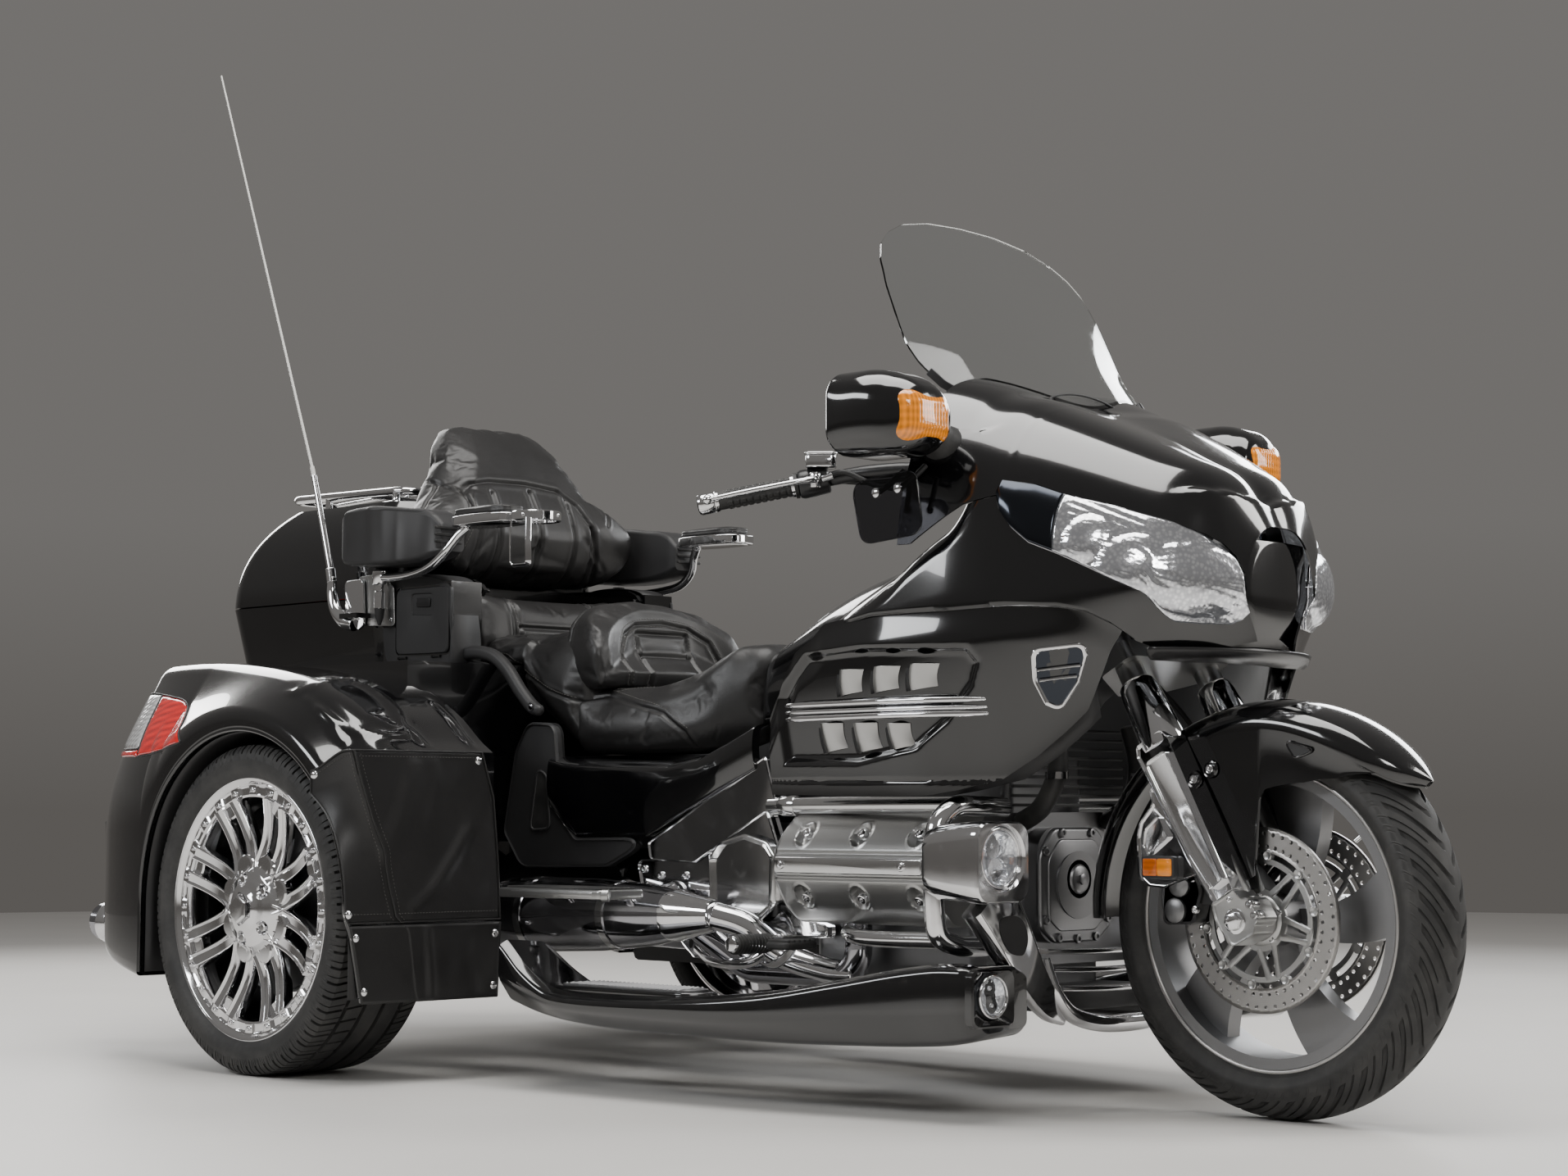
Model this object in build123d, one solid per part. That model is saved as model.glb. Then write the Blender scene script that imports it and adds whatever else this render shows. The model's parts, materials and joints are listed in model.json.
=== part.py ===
"""Touring trike: a heavy flat-six touring motorcycle with a two-wheel rear axle under a wide body.

Sizes are in millimetres. Every station along X is measured from the rear axle, forward positive, and
Z is measured from the floor. The finished pieces are moved so that the origin is on the floor under
the middle of the overall length. The right-hand side of the machine is at negative Y.
"""
from build123d import *
import os
from functools import cache
from math import cos, radians, sin, tan

# Wheels and stance
WHEELBASE = 1795
FRONT_TYRE_RADIUS = 319.5
FRONT_TYRE_WIDTH = 132
FRONT_RIM_RADIUS = 241
FRONT_RIM_WIDTH = 98
REAR_TYRE_RADIUS = 309
REAR_TYRE_WIDTH = 225
REAR_RIM_RADIUS = 246
REAR_RIM_WIDTH = 206
REAR_TRACK = 1314
AXLE_RADIUS = 15
WHEEL_HUB_RADIUS = 42
RUNNING_GAP = 0.08

# Steering
RAKE = 29.25
FORK_OFFSET = 61
FORK_SPACING = 212
FORK_TUBE_RADIUS = 22.5
SLIDER_RADIUS = 26
STEM_RADIUS = 15
DISC_RADIUS = 148
DISC_PLANE = 68
DISC_THICKNESS = 5
GRIP_RADIUS = 17
BAR_RADIUS = 12.7

# Shells and gaps
FIT = 0.3
SHELL = 12
WINDSHIELD_THICKNESS = 5
BODY_WALL = 14
TRUNK_WALL = 8

# Levels that the seat and the rear body share
SEAT_PAN_Z = 600
DECK_Z = 780
TUB_FRONT = 120

# Overall reach behind the rear axle, where the exhaust tips end
TAIL_REACH = 820
MID_X = (WHEELBASE + FRONT_TYRE_RADIUS - TAIL_REACH) / 2

# Steering axis: through the floor ahead of the front axle, leaning back by the rake
AXIS_DIR = Vector(-sin(radians(RAKE)), 0, cos(radians(RAKE)))
AXIS_FOOT = Vector(
    WHEELBASE - FORK_OFFSET / cos(radians(RAKE)) + FRONT_TYRE_RADIUS * tan(radians(RAKE)), 0, 0
)
FRONT_AXLE = Vector(WHEELBASE, 0, FRONT_TYRE_RADIUS)


def axis_point(height):
    """Point of the steering axis at this height above the floor."""
    return AXIS_FOOT + AXIS_DIR * (height / AXIS_DIR.Z)


def fork_point(run, y=0):
    """Point this far up a fork leg from the axle line, at this Y."""
    return FRONT_AXLE + AXIS_DIR * run + Vector(0, y, 0)


def outline(points, radius=0):
    """Face from a closed outline of (u, v) points, with each corner rounded by its radius."""
    if isinstance(radius, (int, float)) and radius == 0:
        return make_face(Polyline(*points, close=True))
    return make_face(FilletPolyline(*points, radius=radius, close=True))


def side_prism(points, y_low, y_high, radius=0):
    """Outline of (x, z) points seen from the side, carried across from y_low to y_high."""
    face = Plane.XZ.offset(-y_high) * outline(points, radius)
    return extrude(face, y_high - y_low)


def front_prism(points, x_low, x_high, radius=0):
    """Outline of (y, z) points seen from the front, carried from x_low to x_high."""
    face = Plane.YZ.offset(x_low) * outline(points, radius)
    return extrude(face, x_high - x_low)


def plan_prism(points, z_low, z_high, radius=0):
    """Outline of (x, y) points seen from above, carried from z_low to z_high."""
    face = Plane.XY.offset(z_low) * outline(points, radius)
    return extrude(face, z_high - z_low)


def block(x_low, x_high, y_low, y_high, z_low, z_high, radius=0):
    """Box between these limits, with its edges along Z rounded."""
    points = [(x_low, y_low), (x_high, y_low), (x_high, y_high), (x_low, y_high)]
    return plan_prism(points, z_low, z_high, radius)


def station_loft(rows):
    """Loft of upright rounded rectangles; each row is x, y_low, y_high, z_low, z_high, corner radius."""
    sections = []
    for x, y_low, y_high, z_low, z_high, corner in rows:
        centre = Pos((y_low + y_high) / 2, (z_low + z_high) / 2)
        sections.append(Plane.YZ.offset(x) * centre * RectangleRounded(y_high - y_low, z_high - z_low, corner))
    return loft(sections)


def level_loft(rows):
    """Loft of level rounded rectangles; each row is z, x_low, x_high, y_low, y_high, corner radius."""
    sections = []
    for z, x_low, x_high, y_low, y_high, corner in rows:
        centre = Pos((x_low + x_high) / 2, (y_low + y_high) / 2)
        sections.append(Plane.XY.offset(z) * centre * RectangleRounded(x_high - x_low, y_high - y_low, corner))
    return loft(sections)


def rod(start, end, radius, end_radius=None):
    """Round bar from one point to another, tapered where an end radius is given."""
    start, end = Vector(*start), Vector(*end)
    plane = Plane(origin=start, z_dir=(end - start).normalized())
    if end_radius is None:
        return extrude(plane * Circle(radius), (end - start).length)
    return loft([plane * Circle(radius), plane.offset((end - start).length) * Circle(end_radius)])


def bent_tube(points, radius, bends):
    """Round bar along straight runs joined by tangent arcs."""
    path = FilletPolyline(*points, radius=bends)
    return sweep(Plane(origin=path @ 0, z_dir=path % 0) * Circle(radius), path=path)


def across(x, z, radius, y_low, y_high):
    """Cylinder whose axis runs along Y."""
    return extrude(Plane.XZ.offset(-y_high) * Pos(x, z) * Circle(radius), y_high - y_low)


def along(y, z, radius, x_low, x_high):
    """Cylinder whose axis runs along X."""
    return extrude(Plane.YZ.offset(x_low) * Pos(y, z) * Circle(radius), x_high - x_low)


def upright(x, y, radius, z_low, z_high):
    """Cylinder whose axis runs along Z."""
    return extrude(Plane.XY.offset(z_low) * Pos(x, y) * Circle(radius), z_high - z_low)


def other_side(shape):
    """The same piece on the left-hand side."""
    return shape.mirror(Plane.XZ)


def both_sides(shape):
    """The right-hand piece joined to its mirror image."""
    return shape + other_side(shape)


def pair(shape):
    """The right-hand piece and its mirror image as solids that don't touch."""
    return Compound([*shape.solids(), *other_side(shape).solids()])


def spun(profile, axle_x, axle_y, axle_z):
    """Ring from a (y, radius) profile turned about a wheel's axle."""
    return Pos(axle_x, axle_y, axle_z) * revolve(Plane.YZ * profile, Axis.Y)


def tyre_profile(radius, width, rim_radius, rim_width, tread_share, drop):
    """Tyre section: bead seat, bulging sidewalls and a crown that drops to the shoulders."""
    bead = rim_width / 2 - SHELL / 2 - FIT
    seat = rim_radius - SHELL
    shoulder = width / 2 * tread_share
    edge = radius - drop
    waist = (rim_radius + edge) / 2
    corners = [
        Line((-bead, seat), (bead, seat)),
        Line((bead, seat), (bead, rim_radius)),
        ThreePointArc((bead, rim_radius), (width / 2, waist), (shoulder, edge)),
        ThreePointArc((shoulder, edge), (0, radius), (-shoulder, edge)),
        ThreePointArc((-shoulder, edge), (-width / 2, waist), (-bead, rim_radius)),
        Line((-bead, rim_radius), (-bead, seat)),
    ]
    return make_face(corners)


def barrel_profile(rim_radius, rim_width):
    """Rim section: two flanges joined by a barrel that dips between them."""
    half = rim_width / 2
    lip = SHELL / 2 - FIT
    seat = rim_radius - SHELL - FIT
    wall = SHELL * 0.75
    points = [
        (-half, rim_radius), (-half + lip, rim_radius), (-half + lip, seat), (half - lip, seat),
        (half - lip, rim_radius), (half, rim_radius), (half, seat - wall), (-half, seat - wall),
    ]
    return outline(points)


def polar(radius, angle):
    """Point in the wheel's own side view at this radius and angle in degrees."""
    return (radius * cos(radians(angle)), radius * sin(radians(angle)))


# Front wheel
FRONT_SPOKES = 5
SPOKE_ROOT = WHEEL_HUB_RADIUS - 6
DISC_BORE = 41.5


def front_rim():
    """Cast rim with five swept blades between its hub and its barrel."""
    rim = spun(barrel_profile(FRONT_RIM_RADIUS, FRONT_RIM_WIDTH), 0, 0, 0)
    rim += across(0, 0, WHEEL_HUB_RADIUS, -DISC_PLANE + DISC_THICKNESS / 2, DISC_PLANE - DISC_THICKNESS / 2)
    reach = FRONT_RIM_RADIUS - SHELL * 1.5
    blade_edges = [
        ThreePointArc(polar(SPOKE_ROOT, -30), polar(140, -14), polar(reach, -4)),
        ThreePointArc(polar(reach, -4), polar(reach, 11), polar(reach, 26)),
        ThreePointArc(polar(reach, 26), polar(150, 18), polar(SPOKE_ROOT, 30)),
        Line(polar(SPOKE_ROOT, 30), polar(SPOKE_ROOT, -30)),
    ]
    blade = extrude(Plane.XZ.offset(-17) * make_face(blade_edges), 34)
    for turn in range(FRONT_SPOKES):
        rim += blade.rotate(Axis.Y, turn * 360 / FRONT_SPOKES)
    rim -= across(0, 0, AXLE_RADIUS + RUNNING_GAP, -DISC_PLANE, DISC_PLANE)
    return Pos(*FRONT_AXLE) * rim


def front_tyre():
    """Round-crowned motorcycle tyre."""
    profile = tyre_profile(FRONT_TYRE_RADIUS, FRONT_TYRE_WIDTH, FRONT_RIM_RADIUS, FRONT_RIM_WIDTH, 0.86, 34)
    return spun(profile, *FRONT_AXLE)


def brake_discs():
    """Two floating discs: a drilled ring carried by a cut-out centre on six buttons."""
    ring_inner, ring_outer, centre_outer = 108, DISC_RADIUS, 100
    disc = across(0, 0, ring_outer, -DISC_THICKNESS / 2, DISC_THICKNESS / 2)
    disc -= across(0, 0, ring_inner, -DISC_THICKNESS, DISC_THICKNESS)
    disc += across(0, 0, centre_outer, -DISC_THICKNESS / 2, DISC_THICKNESS / 2)
    cut = across(72, 0, 17, -DISC_THICKNESS, DISC_THICKNESS)
    hole = across(DISC_RADIUS - 14, 0, 4.5, -DISC_THICKNESS, DISC_THICKNESS)
    button = across((ring_inner + centre_outer) / 2, 0, 9, -DISC_THICKNESS, DISC_THICKNESS)
    button_count, hole_count = 6, 18
    for turn in range(button_count):
        disc += button.rotate(Axis.Y, turn * 360 / button_count)
        disc -= cut.rotate(Axis.Y, (turn + 0.5) * 360 / button_count)
    for turn in range(hole_count):
        disc -= hole.rotate(Axis.Y, turn * 360 / hole_count)
    disc -= across(0, 0, AXLE_RADIUS + RUNNING_GAP, -DISC_THICKNESS, DISC_THICKNESS)
    right = Pos(FRONT_AXLE.X, -DISC_PLANE, FRONT_AXLE.Z) * disc
    return both_sides(right)


# Rear wheels
REAR_SPOKES = 8
REAR_WHEEL_Y = REAR_TRACK / 2
REAR_FACE_Y = REAR_WHEEL_Y + REAR_RIM_WIDTH / 2
HUB_DOME_RADIUS = 82
REAR_DISH = 24


def rear_rim():
    """Wide alloy rim at the right: a bolted flange ring, eight twin-finger spokes and a domed centre."""
    rim = spun(barrel_profile(REAR_RIM_RADIUS, REAR_RIM_WIDTH), 0, 0, 0)
    face = -REAR_RIM_WIDTH / 2
    spoke_back = face + REAR_DISH + 34
    spoke_front = face + REAR_DISH
    reach = REAR_RIM_RADIUS - SHELL * 1.5
    ring_profile = outline([
        (face, REAR_RIM_RADIUS - 2), (face + 10, REAR_RIM_RADIUS - SHELL - 6),
        (face + 10, REAR_RIM_RADIUS - 34), (face, REAR_RIM_RADIUS - 32),
    ])
    rim += spun(ring_profile, 0, 0, 0)
    spoke = side_prism([(58, -27), (reach, -33), (reach, 33), (58, 27)], spoke_front, spoke_back)
    slot = side_prism([(92, -9), (reach - 22, -13), (reach - 22, 13), (92, 9)], face, spoke_back + 1, 8)
    for turn in range(REAR_SPOKES):
        angle = (turn + 0.5) * 360 / REAR_SPOKES
        rim += (spoke - slot).rotate(Axis.Y, angle)
    dome = outline([
        (spoke_back, 0), (spoke_back, HUB_DOME_RADIUS), (spoke_front, HUB_DOME_RADIUS),
        (face + 4, 52), (face - 12, 34), (face - 16, 0),
    ])
    rim += spun(dome, 0, 0, 0)
    rim += across(0, 0, WHEEL_HUB_RADIUS, spoke_back, REAR_RIM_WIDTH / 2)
    rim -= across(0, 0, AXLE_RADIUS + RUNNING_GAP, spoke_front + 10, REAR_RIM_WIDTH / 2)
    return Pos(0, -REAR_WHEEL_Y, REAR_TYRE_RADIUS) * rim


def rear_tyre():
    """Low, square-shouldered car tyre at the right."""
    profile = tyre_profile(REAR_TYRE_RADIUS, REAR_TYRE_WIDTH, REAR_RIM_RADIUS, REAR_RIM_WIDTH, 0.9, 9)
    return spun(profile, 0, -REAR_WHEEL_Y, REAR_TYRE_RADIUS)


# Fork, its covers, fender and handlebar
LOWER_CLAMP_RUN = 470
UPPER_CLAMP_RUN = 655
CLAMP_THICKNESS = 32
HEAD_RADIUS = 34
SLIDER_TOP_RUN = 330


def clamp_plate(run):
    """Fork clamp: a plate square to the fork that holds both tubes and the stem."""
    centre = fork_point(run)
    plane = Plane(origin=centre, x_dir=(0, 1, 0), z_dir=AXIS_DIR)
    half = FORK_SPACING / 2
    ear = FORK_TUBE_RADIUS + 12
    points = [(-half - ear, -ear), (half + ear, -ear), (half + ear, ear), (34, FORK_OFFSET + 30),
              (-34, FORK_OFFSET + 30), (-half - ear, ear)]
    # The plate's local Y points forward or back; the stem must be behind the tubes
    if (plane.y_dir.X) > 0:
        points = [(u, -v) for u, v in points]
    return extrude(plane * outline(points, 16), CLAMP_THICKNESS)


def fork():
    """Two legs with clamps, stem, axle and its pinch clamps, all turning with the handlebar."""
    leg = rod(fork_point(SLIDER_TOP_RUN - 30, -FORK_SPACING / 2),
              fork_point(UPPER_CLAMP_RUN + CLAMP_THICKNESS + 6, -FORK_SPACING / 2), FORK_TUBE_RADIUS)
    leg += rod(fork_point(20, -FORK_SPACING / 2), fork_point(SLIDER_TOP_RUN, -FORK_SPACING / 2), SLIDER_RADIUS)
    leg += rod(fork_point(-26, -FORK_SPACING / 2), fork_point(28, -FORK_SPACING / 2), SLIDER_RADIUS + 5)
    body = both_sides(leg)
    body += clamp_plate(LOWER_CLAMP_RUN) + clamp_plate(UPPER_CLAMP_RUN)
    stem_offset = Vector(-cos(radians(RAKE)), 0, -sin(radians(RAKE))) * FORK_OFFSET
    body += rod(fork_point(LOWER_CLAMP_RUN) + stem_offset,
                fork_point(UPPER_CLAMP_RUN + CLAMP_THICKNESS) + stem_offset, STEM_RADIUS)
    half = FORK_SPACING / 2 + SLIDER_RADIUS
    body += across(FRONT_AXLE.X, FRONT_AXLE.Z, AXLE_RADIUS, -half - 8, half + 8)
    return body


def leg_clearance():
    """Room that the fork legs take, which the fender and the covers are cut away from."""
    leg = rod(fork_point(20, -FORK_SPACING / 2), fork_point(SLIDER_TOP_RUN, -FORK_SPACING / 2),
              SLIDER_RADIUS + FIT)
    leg += rod(fork_point(-27, -FORK_SPACING / 2), fork_point(28, -FORK_SPACING / 2), SLIDER_RADIUS + 5 + FIT)
    leg += rod(fork_point(SLIDER_TOP_RUN, -FORK_SPACING / 2), fork_point(SLIDER_TOP_RUN + 130, -FORK_SPACING / 2),
               FORK_TUBE_RADIUS + FIT)
    return leg


COVER_OUTER = 142
COVER_INNER = 96


def fork_covers():
    """Plated covers over both sliders, each with a rear wing that carries a side reflector."""
    def at(run, ahead):
        """Side-view point this far up the leg and this far ahead of it."""
        p = fork_point(run)
        return (p.X + ahead * cos(radians(RAKE)), p.Z + ahead * sin(radians(RAKE)))
    blade = side_prism([at(45, -18), at(45, 24), at(SLIDER_TOP_RUN, 30), at(SLIDER_TOP_RUN, -34), at(120, -30)],
                       -COVER_OUTER, -COVER_INNER, 6)
    wing = side_prism([at(95, -25), at(210, -25), at(250, -70), at(228, -92), at(158, -126), at(112, -96)],
                      -COVER_OUTER + 8, -COVER_INNER - 14, 8)
    cap = rod(fork_point(SLIDER_TOP_RUN - 4, -FORK_SPACING / 2), fork_point(SLIDER_TOP_RUN + 112, -FORK_SPACING / 2),
              SLIDER_RADIUS + 12, FORK_TUBE_RADIUS + 9)
    cover = blade + wing + cap - leg_clearance()
    return both_sides(cover)


FENDER_RADIUS = FRONT_TYRE_RADIUS + 34
FENDER_HALF_WIDTH = 90
FENDER_WALL = 4
FENDER_EDGE_DROP = 40


def front_fender():
    """Deep wrap-around fender with side skirts and a leg down each fork slider."""
    def crown(radius, half, drop):
        return [ThreePointArc((-half, radius - drop), (0, radius), (half, radius - drop)),
                Line((half, radius - drop), (half, 60)), Line((half, 60), (-half, 60)),
                Line((-half, 60), (-half, radius - drop))]
    outer = spun(make_face(crown(FENDER_RADIUS, FENDER_HALF_WIDTH, FENDER_EDGE_DROP)), *FRONT_AXLE)
    inner = spun(make_face(crown(FENDER_RADIUS - FENDER_WALL, FENDER_HALF_WIDTH - FENDER_WALL, FENDER_EDGE_DROP)),
                 *FRONT_AXLE)
    shell = outer - inner
    ax, az = FRONT_AXLE.X, FRONT_AXLE.Z
    skirt = [(ax + 268, az + 238), (ax + 150, az + 222), (ax + 60, az + 214), (ax + 8, az + 204),
             (ax + 22, az + 62), (ax - 34, az + 58), (ax - 175, az + 250), (ax - 250, az + 215),
             (ax - 318, az + 60), (ax - 326, az - 20), (ax - 380, az - 20), (ax - 380, az + 420),
             (ax + 200, az + 420)]
    shell = shell & side_prism(skirt, -FENDER_HALF_WIDTH, FENDER_HALF_WIDTH)
    vent = [(ax + 70, az + 282), (ax + 120, az + 280), (ax + 92, az + 262)]
    shell -= side_prism(vent, -FENDER_HALF_WIDTH - 5, -FENDER_HALF_WIDTH + 30)
    shell -= side_prism(vent, FENDER_HALF_WIDTH - 30, FENDER_HALF_WIDTH + 5)
    brace_point = fork_point(SLIDER_TOP_RUN - 40)
    brace = across(brace_point.X, brace_point.Z, 12, -FORK_SPACING / 2 + SLIDER_RADIUS - 4, -FENDER_HALF_WIDTH + 4)
    shell += both_sides(brace)
    return shell - both_sides(leg_clearance())


def calipers():
    """Sliding calipers behind both fork legs, straddling the discs."""
    p = fork_point(35)
    x, z = p.X - 118, p.Z + 4
    inner, outer = DISC_PLANE - 24, DISC_PLANE + 34
    body = side_prism([(x - 34, z - 46), (x + 30, z - 42), (x + 46, z + 10), (x + 30, z + 52), (x - 26, z + 44)],
                      -outer, -inner, 12)
    slot = across(FRONT_AXLE.X, FRONT_AXLE.Z, DISC_RADIUS + 6, -DISC_PLANE - DISC_THICKNESS, -DISC_PLANE + DISC_THICKNESS)
    bracket = side_prism([(x + 20, z + 20), (x + 20, z - 10), (p.X + 5, p.Z - 10), (p.X - 10, p.Z + 30)],
                         -FORK_SPACING / 2 + 8, -FORK_SPACING / 2 + 18)
    rim_room = across(FRONT_AXLE.X, FRONT_AXLE.Z, FRONT_RIM_RADIUS, -FRONT_RIM_WIDTH / 2 - 6, FRONT_RIM_WIDTH / 2)
    caliper = body + bracket - slot - rim_room - leg_clearance()
    return both_sides(caliper)


CLAMP_TOP = fork_point(UPPER_CLAMP_RUN + CLAMP_THICKNESS)
GRIP_INNER = Vector(1003, -285, 1066)
GRIP_OUTER = Vector(866, -408, 1030)
BAR_ROOT = Vector(CLAMP_TOP.X - 52, -62, CLAMP_TOP.Z + 6)


def handlebar():
    """Two pulled-back bars on the upper clamp, with their bar-end weights."""
    path = [BAR_ROOT, (1345, -78, 1018), (1190, -190, 1082), GRIP_INNER, GRIP_OUTER]
    bar = bent_tube(path, BAR_RADIUS, [34, 60, 40])
    base = rod((BAR_ROOT.X, BAR_ROOT.Y, BAR_ROOT.Z - 4), (BAR_ROOT.X - 12, BAR_ROOT.Y, BAR_ROOT.Z + 30), 24)
    out = (GRIP_OUTER - GRIP_INNER).normalized()
    weight = rod(GRIP_OUTER, GRIP_OUTER + out * 34, GRIP_RADIUS)
    side = bar + base + weight
    return both_sides(side) - clamp_plate(UPPER_CLAMP_RUN)


def grips():
    """Ribbed rubber grips round the ends of the bars."""
    out = (GRIP_OUTER - GRIP_INNER).normalized()
    start = GRIP_INNER + out * 22
    sleeve = rod(start, GRIP_OUTER - out * FIT, GRIP_RADIUS)
    sleeve += rod(start, start + out * 9, GRIP_RADIUS + 6)
    sleeve -= rod(GRIP_INNER, GRIP_OUTER + out, BAR_RADIUS)
    return both_sides(sleeve)


def levers():
    """Brake and clutch levers with their fluid cylinders and switch housings."""
    out = (GRIP_OUTER - GRIP_INNER).normalized()
    ahead = Vector(0.62, -0.72, 0).normalized()
    root = GRIP_INNER + ahead * 44 - out * 6
    housing = rod(GRIP_INNER - out * 34, GRIP_INNER + out * 20, 25)
    tank = Pos(*(GRIP_INNER - out * 22 + ahead * 18 + Vector(0, 0, 34))) * Box(56, 46, 22)
    arm = rod(GRIP_INNER - out * 10, root, 10)
    blade = rod(root, GRIP_OUTER + ahead * 52 - out * 16, 7, 5)
    ball = Pos(*(GRIP_OUTER + ahead * 52 - out * 12)) * Sphere(9)
    return both_sides(housing + tank + arm + blade + ball)


# Frame, power unit and what hangs on it
SPAR_OUTER = 150
SPAR_INNER = 110
COVER_PLANE = 226
ENGINE_FRONT = 1330
ENGINE_REAR = 950
ENGINE_HALF_WIDTH = 220
DIFF_RADIUS = 105
AXLE_TUBE_RADIUS = 35
AXLE_TUBE_END = 486
RAIL_RADIUS = 26
SEAT_BOX_REAR = 180


def main_frame():
    """Steering head, twin spars, seat box and the rails that carry the rear axle."""
    stem_offset = Vector(-cos(radians(RAKE)), 0, -sin(radians(RAKE))) * FORK_OFFSET
    head_low = fork_point(LOWER_CLAMP_RUN + CLAMP_THICKNESS + 5) + stem_offset
    head_high = fork_point(UPPER_CLAMP_RUN - 5) + stem_offset
    spine_side = [(1474, 724), (1428, 800), (1200, 690), (1200, 600), (1330, 640)]
    spine_plan = [(1480, -30), (1400, -40), (1300, -96), (1194, -SPAR_OUTER), (1194, SPAR_OUTER), (1300, 96),
                  (1400, 40), (1480, 30)]
    spine = side_prism(spine_side, -SPAR_OUTER, SPAR_OUTER) & plan_prism(spine_plan, 560, 820)
    spar_outline = [(1202, 690), (860, 640), (600, 575), (548, 262), (640, 252), (690, 480), (880, 560), (1202, 600)]
    spar = side_prism(spar_outline, -SPAR_OUTER, -SPAR_INNER)
    rail = rod((580, -130, 300), (60, -130, REAR_TYRE_RADIUS), RAIL_RADIUS)
    body = spine + both_sides(spar + rail) + block(560, 632, -SPAR_INNER, SPAR_INNER, 270, 330)
    body += block(SEAT_BOX_REAR, 602, -125, 125, 420, SEAT_PAN_Z - FIT)
    body += rod(head_low, head_high, HEAD_RADIUS)
    stem_room = rod(fork_point(LOWER_CLAMP_RUN) + stem_offset, fork_point(UPPER_CLAMP_RUN + 60) + stem_offset,
                    STEM_RADIUS + RUNNING_GAP)
    return body - stem_room


def rear_axle():
    """Differential, axle tubes and the two stub axles that the rear wheels turn on."""
    z = REAR_TYRE_RADIUS
    body = across(0, z, DIFF_RADIUS, -95, 95) + across(0, z, AXLE_TUBE_RADIUS, -AXLE_TUBE_END, AXLE_TUBE_END)
    hub_face = REAR_WHEEL_Y - REAR_RIM_WIDTH / 2
    reach = REAR_FACE_Y - REAR_DISH - 12
    body += across(0, z, WHEEL_HUB_RADIUS - 8, -hub_face + 5, hub_face - 5)
    body += across(0, z, AXLE_RADIUS, -reach, reach)
    rails = rod((580, -130, 300), (60, -130, z), RAIL_RADIUS)
    return body - both_sides(rails)


def engine():
    """Crankcase, gearbox, sump and the rounded front cover."""
    case = block(ENGINE_REAR, ENGINE_FRONT, -ENGINE_HALF_WIDTH, ENGINE_HALF_WIDTH, 230, 490, 24)
    sump = block(980, 1300, -150, 150, 170, 230, 24)
    gearbox = block(690, ENGINE_REAR, -108, 108, 250, 470, 20)
    intake = block(1000, 1300, -104, 104, 490, 586, 20)
    cover = Plane.YZ.offset(ENGINE_FRONT) * Pos(0, 366) * RectangleRounded(196, 197, 46)
    cover = extrude(cover, 30)
    hub = along(0, 366, 58, ENGINE_FRONT + 30, ENGINE_FRONT + 42)
    return case + sump + gearbox + intake + cover + hub


HEAD_FRONT = 1400
HEAD_REAR = 990
HEAD_LOW_Z = 300
HEADER_RADIUS = 24


def cylinder_head():
    """Right-hand head cover over three cylinders, with a raised centre band."""
    cover = [(-ENGINE_HALF_WIDTH, 488), (-300, 495), (-352, 445), (-362, 400), (-352, 352), (-300, HEAD_LOW_Z),
             (-ENGINE_HALF_WIDTH, HEAD_LOW_Z)]
    body = front_prism(cover, HEAD_REAR, ENGINE_FRONT + 20, [2, 20, 16, 10, 16, 20, 2])
    body += front_prism([(-ENGINE_HALF_WIDTH, 470), (-330, 470), (-345, 400), (-330, 330), (-ENGINE_HALF_WIDTH, 330)],
                        ENGINE_FRONT + 20, HEAD_FRONT - 30, 6)
    band = block(HEAD_REAR + 20, HEAD_FRONT - 60, -371, -350, 386, 414)
    bosses = [(HEAD_REAR + 60 + step * 130, z) for step in range(3) for z in (452, 347)]
    for x, z in bosses:
        body += across(x, z, 20, -352, -300)
    return body + band


def crankcase_room():
    """Space of the crankcase, which the head covers are cut back to."""
    return block(ENGINE_REAR, ENGINE_FRONT, -ENGINE_HALF_WIDTH, ENGINE_HALF_WIDTH, 170, 590)


GUARD_X = 1414
GUARD_Y = 400
GUARD_TUBE = 17
GUARD_TOP = 492
GUARD_BOTTOM = 276
POD_CENTRE = (352, 414)


def engine_guard():
    """Right-hand tip-over hoop with its lamp pod and the leg down to the grille."""
    hoop = bent_tube([(GUARD_X, -225, GUARD_TOP), (GUARD_X, -GUARD_Y, GUARD_TOP),
                      (GUARD_X, -GUARD_Y, GUARD_BOTTOM), (GUARD_X, -225, GUARD_BOTTOM)], GUARD_TUBE, [52, 52])
    y, z = POD_CENTRE
    pod = rod((GUARD_X - 12, -y, z), (1530, -y, z), 46, 60)
    leg = bent_tube([(GUARD_X, -240, GUARD_BOTTOM), (GUARD_X + 10, -196, 236), (GUARD_X + 10, -169, 150)], 12, [30])
    stay = rod((GUARD_X, -226, GUARD_BOTTOM), (1332, -150, 262), 12)
    upper_stay = rod((GUARD_X, -228, GUARD_TOP), (1346, -200, 476), 12)
    lamp_room = along(-y, z, 52, 1522, 1560)
    return hoop + pod + leg + stay + upper_stay - lamp_room - engine()


def lower_cowl():
    """Plated ladder grille below the engine, in front of the sump."""
    low, high, rungs = 140, 206, 4
    rail = block(1402, 1448, -156, -138, low, high + 6, 5)
    grille = both_sides(rail)
    pitch = (high - low) / (rungs - 1)
    for level in range(rungs):
        z = low + level * pitch
        grille += block(1424 + level * 3, 1448 + level * 3, -140, 140, z, z + 9)
    grille += block(1300, 1404, -146, -120, 176, 200) + block(1300, 1404, 120, 146, 176, 200)
    return grille


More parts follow.
